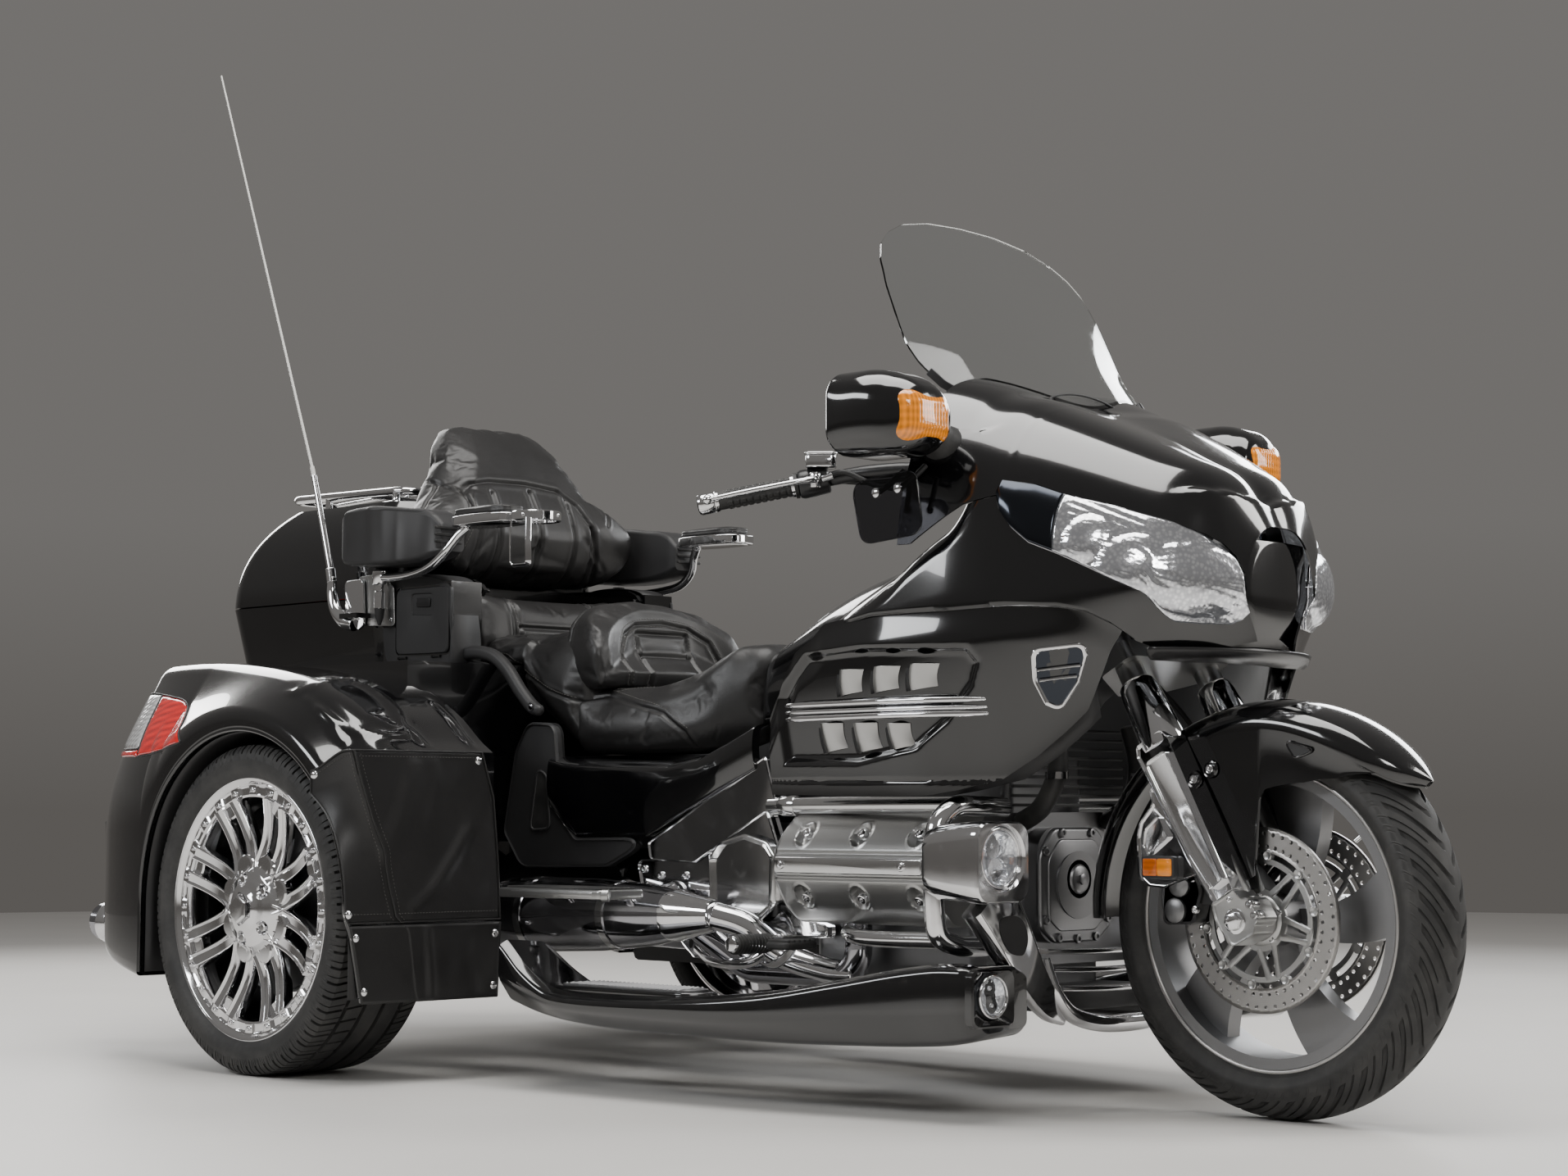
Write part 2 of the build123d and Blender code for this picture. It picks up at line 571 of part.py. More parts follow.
def driving_lamps():
    """Round lamps in the guard pods and small lamps in the noses of the running boards."""
    y, z = POD_CENTRE
    guard_lamp = along(-y, z, 52 - FIT, 1522, 1536) + along(-y, z, 40, 1536, 1543)
    board_lamp = along(-396, 205, 26, 1502, 1530)
    return both_sides(guard_lamp + board_lamp)


def running_board():
    """Right-hand board along the engine with an upswept nose."""
    board = station_loft([
        (525, -565, -432, 146, 256, 26),
        (760, -562, -330, 116, 200, 22),
        (1120, -528, -300, 110, 188, 22),
        (1420, -446, -292, 118, 236, 26),
        (1512, -424, -316, 140, 250, 26),
    ])
    nose_lamp_room = along(-396, 205, 26 + FIT, 1502, 1530)
    bracket = block(600, 640, -335, -112, 214, 239.7) + block(1180, 1230, -305, -152, 184, 204)
    bracket += block(600, 640, -345, -320, 170, 239.7)
    step = block(640, 960, -548, -440, 150, 199)
    return board + bracket + step - nose_lamp_room


def exhaust():
    """Right-hand tapered silencer and the long tail pipe that ends under the body."""
    silencer = rod((740, -330, 306), (250, -330, 296), 44, 64)
    silencer += rod((250, -330, 296), (206, -338, 288), 64, 34)
    header = bent_tube([(732, -330, 306), (850, -278, 212), (1100, -264, 212), (1100, -264, HEAD_LOW_Z - FIT)],
                       HEADER_RADIUS, [60, 44])
    tail = bent_tube([(212, -336, 288), (60, -404, 216), (-420, -424, 226), (-700, -514, 248)], 26, [70, 200])
    tip = rod((-690, -511, 247), (-TAIL_REACH - 30, -561, 259), 34, 41)
    tip -= rod((-740, -527, 251), (-TAIL_REACH - 31, -561, 259), 36)
    tip -= block(-TAIL_REACH - 60, -TAIL_REACH, -660, -440, 180, 340)
    hanger = upright(150, -368, 9, 262, AXLE_FLOOR_Z)
    return silencer + header + tail + tip + hanger


# Fairing
FAIRING_FRONT = 1794
# x, half-widths and heights of the low edge, the widest line and the top edge
FAIRING_STATIONS = [
    (1794, 42, 768, 66, 850, 40, 915),
    (1742, 112, 748, 196, 856, 112, 1012),
    (1650, 236, 690, 292, 850, 190, 1058),
    (1480, 340, 540, 388, 850, 262, 1136),
    (1290, 404, 516, 430, 820, 300, 1212),
    (1030, 404, 516, 426, 790, 318, 1230),
]


@cache
def fairing_envelope(inset):
    """Outer body of the fairing, or the same drawn in by a wall thickness."""
    sections = []
    for x, low, z_low, wide, z_wide, top, z_top in FAIRING_STATIONS:
        points = [(-low + inset, z_low + inset / 2), (-wide + inset, z_wide), (-top + inset, z_top - inset),
                  (top - inset, z_top - inset), (wide - inset, z_wide), (low - inset, z_low + inset / 2)]
        sections.append(Plane.YZ.offset(x - inset * 1.5) * outline(points))
    return loft(sections)


# Corners of the right-hand headlamp in the front view, and the middle that it grows from
HEADLAMP_OUTLINE = [(-90, 793), (-95, 884), (-150, 928), (-254, 976), (-338, 1024), (-354, 990), (-345, 926),
                    (-296, 878), (-228, 829), (-206, 795)]
HEADLAMP_MIDDLE = Vector(-215, 900)


def headlamp_window(grow):
    """Opening for the right-hand headlamp, seen from the front, grown outwards from its middle."""
    corners = [Vector(*corner) for corner in HEADLAMP_OUTLINE]
    grown = [corner + (corner - HEADLAMP_MIDDLE).normalized() * grow for corner in corners]
    return front_prism([(point.X, point.Y) for point in grown], 1440, 1830, 6)


def fork_room():
    """Space swept by the fork and its covers between the locks."""
    return rod(axis_point(560), axis_point(952), 180)


def fairing_wall(region):
    """Wall of the fairing within this region, clear of the fork."""
    return (fairing_envelope(0) & region) - fairing_envelope(SHELL) - fork_room()


# Side views: the crease that parts the side panels from the upper fairing, the upper fairing's rear edge
# from the crease up to the screen, and the side panel's low edge
CREASE = [(1672, 770), (1632, 804), (1557, 818), (1424, 812), (1168, 797), (1130, 764), (1030, 644)]
REAR_EDGE = [(1272, 1258), (1262, 1112), (1340, 1004), (1354, 930), (1319, 893), (1230, 851), (1170, 814),
             (1152, 794)]
PANEL_EDGE = [(1030, 530), (1400, 524), (1489, 544), (1580, 612), (1648, 747)]
SEAM_GAP = 3
UPPER_LOUVRES = [(1238, 731), (1318, 732), (1380, 733)]
LOWER_LOUVRES = [(1190, 645), (1257, 643), (1324, 640)]
INLET = [(1558, 742), (1620, 752), (1604, 698), (1574, 656), (1554, 700)]
INLET_MIDDLE = Vector(1586, 712)


def cheek_region(gap):
    """Part of the fairing that belongs to the right-hand side panel."""
    return side_prism([(x, z - gap) for x, z in CREASE] + PANEL_EDGE, -460, -150)


def inlet_prism(grow):
    """Prism of the small nose inlet, grown outwards from its middle."""
    corners = [Vector(*corner) for corner in INLET]
    grown = [corner + (corner - INLET_MIDDLE).normalized() * grow for corner in corners]
    return side_prism([(point.X, point.Y) for point in grown], -420, -240, 5)


def fairing_cowl():
    """Upper fairing: nose, brow, flanks and screen surround, with the lamp windows cut out."""
    region = side_prism([(1690, 750), (1830, 748), (1830, 940), (1748, 1040), (1420, 1190), (1310, 1250)]
                        + REAR_EDGE + CREASE[-3::-1], -450, 450)
    cowl = fairing_wall(region)
    screen_slot = side_prism([(1440, 1172), (1250, 1262), (1080, 1262), (1080, 1000), (1240, 1000), (1440, 1140)],
                             -250, 250)
    cowl -= screen_slot
    cowl -= both_sides(headlamp_window(SEAM_GAP))
    return (cowl - windshield()).solids().sort_by(SortBy.VOLUME)[-1]


def fairing_side():
    """Right-hand side panel with three louvres above and three below the trim strip, and the nose inlet."""
    panel = fairing_wall(cheek_region(SEAM_GAP))
    for x, z in UPPER_LOUVRES:
        panel -= side_prism([(x - 30, z), (x + 30, z), (x + 24, z - 46), (x - 36, z - 46)], -460, -380, 6)
    for x, z in LOWER_LOUVRES:
        panel -= side_prism([(x - 24, z), (x + 26, z - 3), (x - 8, z - 54), (x - 50, z - 54)], -460, -380, 6)
    panel -= inlet_prism(0)
    lug = block(1040, 1100, -415, -150, 560, 575)
    return panel + (lug - fairing_outside())


def fairing_outside():
    """Everything outside the fairing's outer face, to trim lugs against it."""
    room = block(980, 1790, -600, 600, 480, 1300)
    return room - fairing_envelope(2)


def vent_trims():
    """Plated strips between the louvres and the frames of the small nose inlets."""
    strip = side_prism([(1074, 668), (1462, 668), (1458, 650), (1070, 650)], -450, -400, 6)
    band = fairing_envelope(-6) - fairing_envelope(0)
    strip = strip & band
    inlet = (inlet_prism(5) - inlet_prism(-5)) & band
    return both_sides(strip + inlet)


def headlamp():
    """Right-hand headlamp: a lens that follows the nose over a shallow lamp body."""
    lens = (fairing_envelope(FIT) - fairing_envelope(10)) & headlamp_window(3 - FIT)
    backing = (fairing_envelope(10) - fairing_envelope(26)) & headlamp_window(12)
    backing -= fairing_envelope(10) - fairing_envelope(SHELL + FIT)
    return lens + backing - fork_room()


def dashboard():
    """Instrument hood and switch shelf between the screen and the handlebar."""
    hood = station_loft([
        (1414, -214, 214, 1064, 1146, 20),
        (1440, -222, 222, 1030, 1136, 20),
        (1478, -212, 212, 1004, 1104, 20),
    ])
    stay = block(1450, 1478, -240, 240, 1010, 1040)
    return ((hood + stay) & fairing_envelope(SHELL)) - windshield()


# z, x of the middle, and how far the edge lies behind the middle at the screen's half-width
WINDSHIELD_LEVELS = [(1110, 1467, 74), (1268, 1336, 78), (1420, 1210, 36), (1560, 1096, 6)]
WINDSHIELD_HALF = 310


def windshield():
    """Clear screen, tightly curved at its foot and nearly flat at its rim."""
    sections = []
    for z, middle, fall in WINDSHIELD_LEVELS:
        arcs = [((middle - back - fall, -WINDSHIELD_HALF), (middle - back, 0), (middle - back - fall, WINDSHIELD_HALF))
                for back in (0, WINDSHIELD_THICKNESS)]
        front, rear = (ThreePointArc(*points) for points in arcs)
        edges = [front, Line(arcs[0][2], arcs[1][2]), rear, Line(arcs[1][0], arcs[0][0])]
        sections.append(Plane.XY.offset(z) * make_face(edges))
    side = [(-120, 1148), (-200, 1162), (-250, 1180), (-282, 1212), (-294, 1270), (-288, 1396), (-255, 1478),
            (-190, 1522)]
    rim = [(0, 1142)] + side + [(0, 1546)] + [(-y, z) for y, z in reversed(side)]
    return loft(sections) & front_prism(rim, 900, 1500, 20)


def mirror():
    """Right-hand mirror housing on its rubber boot."""
    shell = station_loft([
        (1296, -548, -404, 1070, 1200, 36),
        (1380, -540, -398, 1062, 1196, 40),
        (1432, -516, -410, 1080, 1166, 34),
    ])
    boot = rod((1366, -402, 1112), (1366, -345, 1100), 26, 34)
    return (shell + boot) - fairing_envelope(0)


def signal_lenses():
    """Amber turn-signal lenses in the faces of the mirrors."""
    lens = station_loft([(1432, -508, -418, 1088, 1158, 28), (1444, -498, -426, 1098, 1150, 24)])
    return both_sides(lens)


def wind_deflectors():
    """Smoked air deflectors below the mirrors, each on two bolts."""
    plate = side_prism([(1268, 1030), (1404, 1042), (1416, 940), (1290, 930)], -452, -448, 18)
    bolts = across(1380, 1014, 7, -456, -370) + across(1388, 964, 7, -456, -370)
    return both_sides((plate + bolts) - fairing_envelope(0))


# Seat and the panels below it
def top_shelter():
    """Shell over the fuel filler between the dash and the rider."""
    return station_loft([
        (706, -104, 104, 652, 792, 36),
        (880, -150, 150, 668, 868, 44),
        (1080, -204, 204, 706, 922, 44),
        (1244, -232, 232, 760, 944, 44),
    ])


SEAT_PROFILE = [
    (700, 640), (692, 790), (650, 812), (560, 748), (340, 724), (312, 770), (296, 900), (262, 918), (226, 900),
    (206, 852), (-4, 846), (-30, 940), (-66, 946), (-88, DECK_Z + FIT), (TUB_FRONT + 4, DECK_Z + FIT),
    (TUB_FRONT + 8, 700), (300, SEAT_PAN_Z), (640, SEAT_PAN_Z)]
SEAT_CORNERS = [8, 20, 20, 60, 20, 20, 12, 10, 16, 20, 20, 14, 12, 6, 2, 20, 20, 20]


def seat():
    """Stepped dual seat: rider bucket with its bolster, passenger cushion and lumbar roll."""
    body = side_prism(SEAT_PROFILE, -205, 205, SEAT_CORNERS)
    plan = [(705, -86), (600, -150), (420, -198), (250, -205), (-90, -202),
            (-90, 202), (250, 205), (420, 198), (600, 150), (705, 86)]
    return body & plan_prism(plan, 580, 1000, 16)


COVER_FACE = 250


def side_cover():
    """Right-hand panel under the rider's seat, and the panel behind it with its tall three-cornered window."""
    panel = side_prism([(346, 470), (560, 452), (836, 590), (836, 632), (346, 640)], -COVER_FACE, -234, 10)
    posts = across(400, 560, 10, -236, -125) + across(700, 566, 10, -236, -SPAR_OUTER)
    rear = side_prism([(146, 452), (176, 610), (206, 660), (290, 660), (348, 636), (348, 390), (190, 396)],
                      -COVER_FACE, -238, 16)
    window = side_prism([(238, 590), (272, 452), (206, 452)], -260, -230, 7)
    return panel + (rear - window) + posts


def frame_cover():
    """Right-hand plated cover over the frame, with its raised boss."""
    plate = side_prism([(640, 262), (760, 244), (900, 270), (944, 420), (936, 520), (860, 560), (720, 506), (646, 430)],
                       -COVER_PLANE - 18, -COVER_PLANE, 16)
    boss = side_prism([(706, 330), (800, 306), (872, 380), (866, 470), (780, 500), (712, 440)],
                      -COVER_PLANE - 32, -COVER_PLANE - 16, 22)
    posts = across(672, 400, 9, -COVER_PLANE - 2, -SPAR_OUTER) + across(860, 545, 9, -COVER_PLANE - 2, -SPAR_OUTER)
    return plate + boss + posts


def foot_controls():
    """Rider pegs, the brake pedal on the right and the shift pedal on the left."""
    peg = rod((900, -COVER_PLANE, 300), (930, -290, 262), 10) + rod((930, -286, 262), (930, -398, 262), 15)
    pedal_arm = rod((800, -262, 290), (1012, -276, 262), 8)
    brake = pedal_arm + block(1002, 1062, -400, -262, 256, 270)
    shift = other_side(pedal_arm + rod((1008, -270, 262), (1008, -330, 262), 9))
    return both_sides(peg) + brake + shift


def passenger_boards():
    """Folding foot boards outside the silencers, on arms from the frame covers."""
    board = block(430, 712, -505, -410, 336, 352, 14)
    arm = rod((560, -415, 346), (600, -398, 388), 9) + rod((600, -400, 388), (680, -COVER_PLANE - 4, 392), 9)
    return both_sides(board + arm)


# Rear body
TUB_REAR = -720
TUB_HALF_WIDTH = 484
AXLE_FLOOR_Z = 432
WELL_FLOOR_Z = 316
WELL_FRONT = -170
HATCH_HALF_WIDTH = 346
HATCH_LOW = 344
HATCH_HIGH = 728
HATCH_THICKNESS = 12
HATCH_HINGE = (-737, 745)
HATCH_PIN_RADIUS = 5
FENDER_OUTER = 790
ARCH_RADIUS = 334
ARCH_WALL = 36


def rear_tub():
    """Hollow load compartment between the rear wheels, open at the hatch."""
    tub = block(TUB_REAR, TUB_FRONT, -TUB_HALF_WIDTH, TUB_HALF_WIDTH, AXLE_FLOOR_Z, DECK_Z)
    tub += block(TUB_REAR, WELL_FRONT, -TUB_HALF_WIDTH, TUB_HALF_WIDTH, WELL_FLOOR_Z, DECK_Z)
    wall, side = BODY_WALL, TUB_HALF_WIDTH - BODY_WALL
    tub -= block(TUB_REAR + wall, TUB_FRONT - wall, -side, side, AXLE_FLOOR_Z + wall, DECK_Z - wall)
    tub -= block(TUB_REAR + wall, WELL_FRONT - wall, -side, side, WELL_FLOOR_Z + wall, DECK_Z - wall)
    tub -= block(TUB_REAR - 1, TUB_REAR + wall + 1, -HATCH_HALF_WIDTH + 16, HATCH_HALF_WIDTH - 16,
                 HATCH_LOW + 12, HATCH_HIGH - 12, 0)
    hinge_x, hinge_z = HATCH_HINGE
    lug = block(hinge_x - 6, TUB_REAR + 1, -240, -224, hinge_z - 8, hinge_z + 12)
    lug += across(hinge_x, hinge_z, HATCH_PIN_RADIUS, -240, -194)
    tub += both_sides(lug)
    carrier = block(40, 120, -TUB_HALF_WIDTH + 100, -TUB_HALF_WIDTH + 180, 340, AXLE_FLOOR_Z)
    carrier += across(0, REAR_TYRE_RADIUS, AXLE_TUBE_RADIUS + 14, -TUB_HALF_WIDTH + 120, -TUB_HALF_WIDTH + 160)
    carrier += block(-34, 60, -TUB_HALF_WIDTH + 120, -TUB_HALF_WIDTH + 160, 350, AXLE_FLOOR_Z)
    carrier -= across(0, REAR_TYRE_RADIUS, AXLE_TUBE_RADIUS, -TUB_HALF_WIDTH, -TUB_HALF_WIDTH + 200)
    return tub + both_sides(carrier)


# x, inner and outer half-width, low and high edge, half-width of the shoulder and height of the waist
FENDER_STATIONS = [
    (346, 470, 772, 150, 600, 690, 530),
    (250, 470, 786, 156, 672, 684, 548),
    (60, 470, FENDER_OUTER, 180, 744, 668, 566),
    (-230, 470, FENDER_OUTER, 200, 778, 640, 584),
    (-500, 470, 742, 210, 782, 606, 566),
    (-690, 470, 636, 330, 650, 548, 470),
]


def fender_section(station, inset=0):
    """Section of the right-hand fender: flat inside, sloping from its shoulder out to a full waist."""
    x, inner, outer, low, high, shoulder, waist = station
    points = [(-inner, low + inset), (-inner, high - inset), (-shoulder + inset / 2, high - inset),
              (-outer + inset, waist), (-outer + inset, low + inset)]
    return Plane.YZ.offset(x) * outline(points, [2, 2, 46, 90, 24])


def fender():
    """Right-hand rear fender with an open wheel arch and a flat inner wall."""
    body = loft([fender_section(station) for station in FENDER_STATIONS])
    side_view = [(350, 145), (350, 800), (-497, 800), (-508, 782), (-664, 618), (-690, 470), (-640, 360),
                 (-560, 280), (-430, 208), (-300, 145)]
    body = body & side_prism(side_view, -FENDER_OUTER - 10, -460, [2, 2, 4, 30, 30, 60, 50, 40, 30, 2])
    wall_y = TUB_HALF_WIDTH + ARCH_WALL
    body -= across(0, REAR_TYRE_RADIUS, ARCH_RADIUS, -FENDER_OUTER - 20, -wall_y)
    body -= block(TUB_REAR - 40, TUB_FRONT + 30, -TUB_HALF_WIDTH, 0, WELL_FLOOR_Z - 200, 900)
    body -= across(0, REAR_TYRE_RADIUS, WHEEL_HUB_RADIUS + 10, -wall_y - 20, -TUB_HALF_WIDTH + 30)
    return body - tail_lamp_room(0)


def tail_lamp_room(gap):
    """Space of the wrap-round tail lamp in the rear corner of the fender."""
    lamp_view = [(-720, 600), (-668, 666), (-560, 724), (-440, 752), (-384, 728), (-300, 640), (-330, 626),
                 (-520, 606)]
    band = side_prism([(x, z) for x, z in lamp_view], -FENDER_OUTER - 10, -520, 6)
    core = loft([fender_section(station, 22 + gap) for station in FENDER_STATIONS[2:]])
    return band - core


def tail_lamps():
    """Tail lamps let into both rear fenders, following the body."""
    body = loft([fender_section(station) for station in FENDER_STATIONS])
    return both_sides(body & tail_lamp_room(-FIT))


COVER_SPLIT_Z = 288
COVER_THICKNESS = 5


def fender_cover():
    """Right-hand two-part leather cover on the front face of the fender."""
    x, inner, outer = FENDER_STATIONS[0][:3]
    cover = extrude(Pos(FIT, 0, 0) * fender_section(FENDER_STATIONS[0]), COVER_THICKNESS)
    return cover - block(x, x + 20, -outer - 1, -inner + 1, COVER_SPLIT_Z - 3, COVER_SPLIT_Z + 3)


# Trunk
TRUNK_FRONT = -200
TRUNK_REAR = -790
TRUNK_HALF_WIDTH = 290
LID_SEAM_Z = 930
LID_GAP = 3
LID_HINGE = (8, 936)
LID_PIN_RADIUS = 5
POCKET_OUTER = 300
POCKET_INNER = 222
POCKET_LENGTH = (-200, 20)
DOOR_HINGE_Z = 800
DOOR_THICKNESS = 6
DOOR_PIN_RADIUS = 1.6
KNUCKLE_RADIUS = 3.4
KNUCKLE_LENGTH = 20
KNUCKLE_PLACES = (-132, -22)
DOOR_PIN_Y = POCKET_OUTER + FIT + KNUCKLE_RADIUS
ARM_PIVOT = (-180, -326)
ARM_PIN_RADIUS = 6
TRUNK_STATIONS = [
    # z, x_low, x_high, half-width, corner
    (DECK_Z, TRUNK_REAR + 30, TRUNK_FRONT, TRUNK_HALF_WIDTH - 20, 60),
    (LID_SEAM_Z, TRUNK_REAR, TRUNK_FRONT, TRUNK_HALF_WIDTH, 60),
]
LID_STATIONS = [
    (LID_SEAM_Z + LID_GAP, TRUNK_REAR, TRUNK_FRONT, TRUNK_HALF_WIDTH, 60),
    (1040, TRUNK_REAR + 36, TRUNK_FRONT - 2, TRUNK_HALF_WIDTH - 6, 70),
    (1136, -640, TRUNK_FRONT - 20, 242, 80),
]


def tapered_box(stations, inset, rise=0):
    """Lofted box through level sections, or the same drawn in by a wall."""
    return level_loft([(z + rise * step, x_low + inset, x_high - inset, -half + inset, half - inset, corner - inset)
                       for step, (z, x_low, x_high, half, corner) in enumerate(stations)])


def door_pins():
    """Hinge pins of the right-hand pocket door, each between two lugs on the pocket."""
    pins = []
    for x in KNUCKLE_PLACES:
        low, high = x - KNUCKLE_LENGTH / 2 - 1, x + KNUCKLE_LENGTH / 2 + 1
        pins.append(along(-DOOR_PIN_Y, DOOR_HINGE_Z, DOOR_PIN_RADIUS, low - 3, high + 3))
        for lug in (low - 3, high):
            pins.append(block(lug, lug + 3, -DOOR_PIN_Y - 2.6, -POCKET_OUTER + 1, DOOR_HINGE_Z - 2.6,
                              DOOR_HINGE_Z + 2.6, 0))
    return pins[0] + pins[1:]


def trunk_body():
    """Lower half of the trunk with the two side pockets and the pins of the lid."""
    wall = TRUNK_WALL
    body = tapered_box(TRUNK_STATIONS, 0)
    hollow = tapered_box(TRUNK_STATIONS, wall) & block(-900, 0, -400, 400, DECK_Z + wall, 1000)
    body -= hollow
    x_low, x_high = POCKET_LENGTH
    pocket = block(x_low, x_high, -POCKET_OUTER, -POCKET_INNER, DECK_Z, LID_SEAM_Z - 5)
    pocket += block(x_low + 10, x_high, -POCKET_OUTER, -POCKET_INNER, LID_SEAM_Z - 5, 950)
    pocket -= block(x_low + 42, x_high - wall, -POCKET_OUTER - 1, -POCKET_INNER - wall, 808, 940)
    hinge_x, hinge_z = LID_HINGE
    pin = across(hinge_x, hinge_z, LID_PIN_RADIUS, -POCKET_INNER, -POCKET_INNER + 26)
    side = pocket + pin + door_pins()
    body += both_sides(side)
    antenna_shelf = block(-290, -232, -346, -TRUNK_HALF_WIDTH + 12, 886, 896)
    return body + antenna_shelf - hollow


def trunk_lid():
    """Upper half of the trunk, hollow, with the two arms that carry it on the hinge pins."""
    lid = tapered_box(LID_STATIONS, 0) - (tapered_box(LID_STATIONS, TRUNK_WALL)
                                          & block(-900, 0, -400, 400, 900, 1136 - TRUNK_WALL))
    hinge_x, hinge_z = LID_HINGE
    arm = side_prism([(TRUNK_FRONT - 12, 940), (-20, 934), (hinge_x, hinge_z - 12), (hinge_x + 12, hinge_z),
                      (hinge_x, hinge_z + 12), (-20, 960), (TRUNK_FRONT - 12, 966)], -216, -206)
    arm = arm - tapered_box(LID_STATIONS, 0)
    arm -= across(hinge_x, hinge_z, LID_PIN_RADIUS + RUNNING_GAP, -230, -190)
    return lid + both_sides(arm)


def passenger_backrest():
    """Winged backrest on the front of the lid."""
    side_view = [(TRUNK_FRONT, 970), (-60, 968), (-44, 1060), (-96, 1160), (-216, 1306), (-262, 1326), (-292, 1300),
                 (-226, 1140), (TRUNK_FRONT, 1120)]
    front_view = [(-214, 966), (-262, 1020), (-276, 1070), (-262, 1150), (-200, 1276), (-110, 1326),
                  (110, 1326), (200, 1276), (262, 1150), (276, 1070), (262, 1020), (214, 966)]
    body = side_prism(side_view, -280, 280, [2, 16, 30, 30, 14, 14, 16, 16, 2])
    body = body & front_prism(front_view, -300, 0, 30)
    return body - tapered_box(LID_STATIONS, 0)


def speaker_pods():
    """Speaker pods on both flanks of the backrest, each with the pin of an armrest."""
    pod = station_loft([
        (-264, -368, -284, 996, 1062, 22),
        (-200, -376, -284, 986, 1108, 28),
        (-60, -364, -284, 986, 1096, 28),
        (42, -346, -284, 1004, 1062, 24),
    ])
    x, y = ARM_PIVOT
    pin = upright(x, y, ARM_PIN_RADIUS, 880, 1000) + upright(x, y, 10, 880, 946)
    stay = block(-190, -120, -290, -256, 1010, 1060)
    return both_sides((pod + pin + stay) - tapered_box(LID_STATIONS, 0) - passenger_backrest())


def luggage_rack():
    """Plated tube rack on four posts over the lid."""
    loop = bent_tube([(-330, -10, 1172), (-330, -150, 1172), (-742, -150, 1180), (-742, 10, 1180)], 9, [40, 40])
    loop += rod((-330, 0, 1172), (-330, -20, 1172), 9)
    post_low = upright(-360, -150, 8, 1110, 1172)
    post_rear = rod((-600, -150, 1178), (-600, -150, 1100), 8)
    bar = rod((-480, -150, 1175), (-480, 0, 1175), 7)
    rack = both_sides(loop + post_low + post_rear + bar)
    return rack - tapered_box(LID_STATIONS, 0)


def antenna():
    """Leaning whip antenna on the right of the trunk."""
    base, joint, tip = (-261, -330, 896), (-407, -330, 1195), (-776, -330, 2119)
    mast = rod(base, joint, 7) + rod(joint, tip, 3) + Pos(*joint) * Sphere(9)
    mast -= block(base[0] - 20, base[0] + 20, base[1] - 20, base[1] + 20, base[2] - 20, base[2])
    return mast + upright(base[0], base[1], 15, base[2], base[2] + 12)


def armrest():
    """Right-hand armrest: a sleeve on the pod's pin, a bent tube and a padded rest."""
    x, y = ARM_PIVOT
    z = 966
    sleeve = upright(x, y, 14, z - 14, z + 14)
    tube = bent_tube([(x + 6, y, z), (58, -345, z), (104, -308, 1058)], 9, [26])
    pad = block(66, 236, -350, -262, 1056, 1090, 26)
    return sleeve + tube + pad - upright(x, y, ARM_PIN_RADIUS + RUNNING_GAP, z - 20, z + 20)


def armrest_right():
    """Right-hand armrest with a plated cup ring in front of its pad."""
    ring = upright(286, -306, 48, 1062, 1078) - upright(286, -306, 42, 1060, 1080)
    return armrest() + ring + block(232, 242, -330, -282, 1062, 1078)


def pocket_door():
    """Right-hand pocket door, hinged along its foot."""
    door = block(-156, 18, -POCKET_OUTER - DOOR_THICKNESS, -POCKET_OUTER - FIT, DOOR_HINGE_Z + 4, 942)
    latch = block(-86, -52, -POCKET_OUTER - DOOR_THICKNESS - 5, -POCKET_OUTER - DOOR_THICKNESS, 912, 930)
    for x in KNUCKLE_PLACES:
        low, high = x - KNUCKLE_LENGTH / 2, x + KNUCKLE_LENGTH / 2
        door += along(-DOOR_PIN_Y, DOOR_HINGE_Z, KNUCKLE_RADIUS, low, high)
        door += block(low, high, -POCKET_OUTER - DOOR_THICKNESS, -POCKET_OUTER - FIT, DOOR_HINGE_Z, DOOR_HINGE_Z + 5, 0)
        door -= along(-DOOR_PIN_Y, DOOR_HINGE_Z, DOOR_PIN_RADIUS + RUNNING_GAP, low - 1, high + 1)
    return door + latch


PLATE_HOLE_SPACING = 178
PLATE_HOLE_RADIUS = 3.5
PLATE_HOLE_Z = 540


def rear_hatch():
    """Rear hatch with the blank plate and its two hinge arms."""
    x = TUB_REAR - FIT
    hinge_x, hinge_z = HATCH_HINGE
    plate = block(x - HATCH_THICKNESS, x, -HATCH_HALF_WIDTH, HATCH_HALF_WIDTH, HATCH_LOW, HATCH_HIGH)
    arm = block(x - HATCH_THICKNESS - 8, x - HATCH_THICKNESS, -216, -198, HATCH_HIGH - 60, hinge_z)
    arm += across(hinge_x, hinge_z, 11, -216, -198)
    plate += both_sides(arm)
    plate -= across(hinge_x, hinge_z, HATCH_PIN_RADIUS + RUNNING_GAP, -300, 300)
    number_plate = block(x - HATCH_THICKNESS - 6, x - HATCH_THICKNESS, -110, 110, 420, 560, 0)
    for y in (-PLATE_HOLE_SPACING / 2, PLATE_HOLE_SPACING / 2):
        hole = along(y, PLATE_HOLE_Z, PLATE_HOLE_RADIUS, x - 40, x + 1)
        plate -= hole
        number_plate -= hole
    return plate + number_plate


def grab_rails():
    """Passenger grab rails from the pockets down to the side covers."""
    front = POCKET_LENGTH[1]
    rail = bent_tube([(front, -262, 812), (TUB_FRONT, -262, 812), (232, -262, 700), (248, -262, 636)], 10, [30, 24])
    foot = across(248, 636, 14, -266, -COVER_FACE)
    return both_sides(rail + foot)


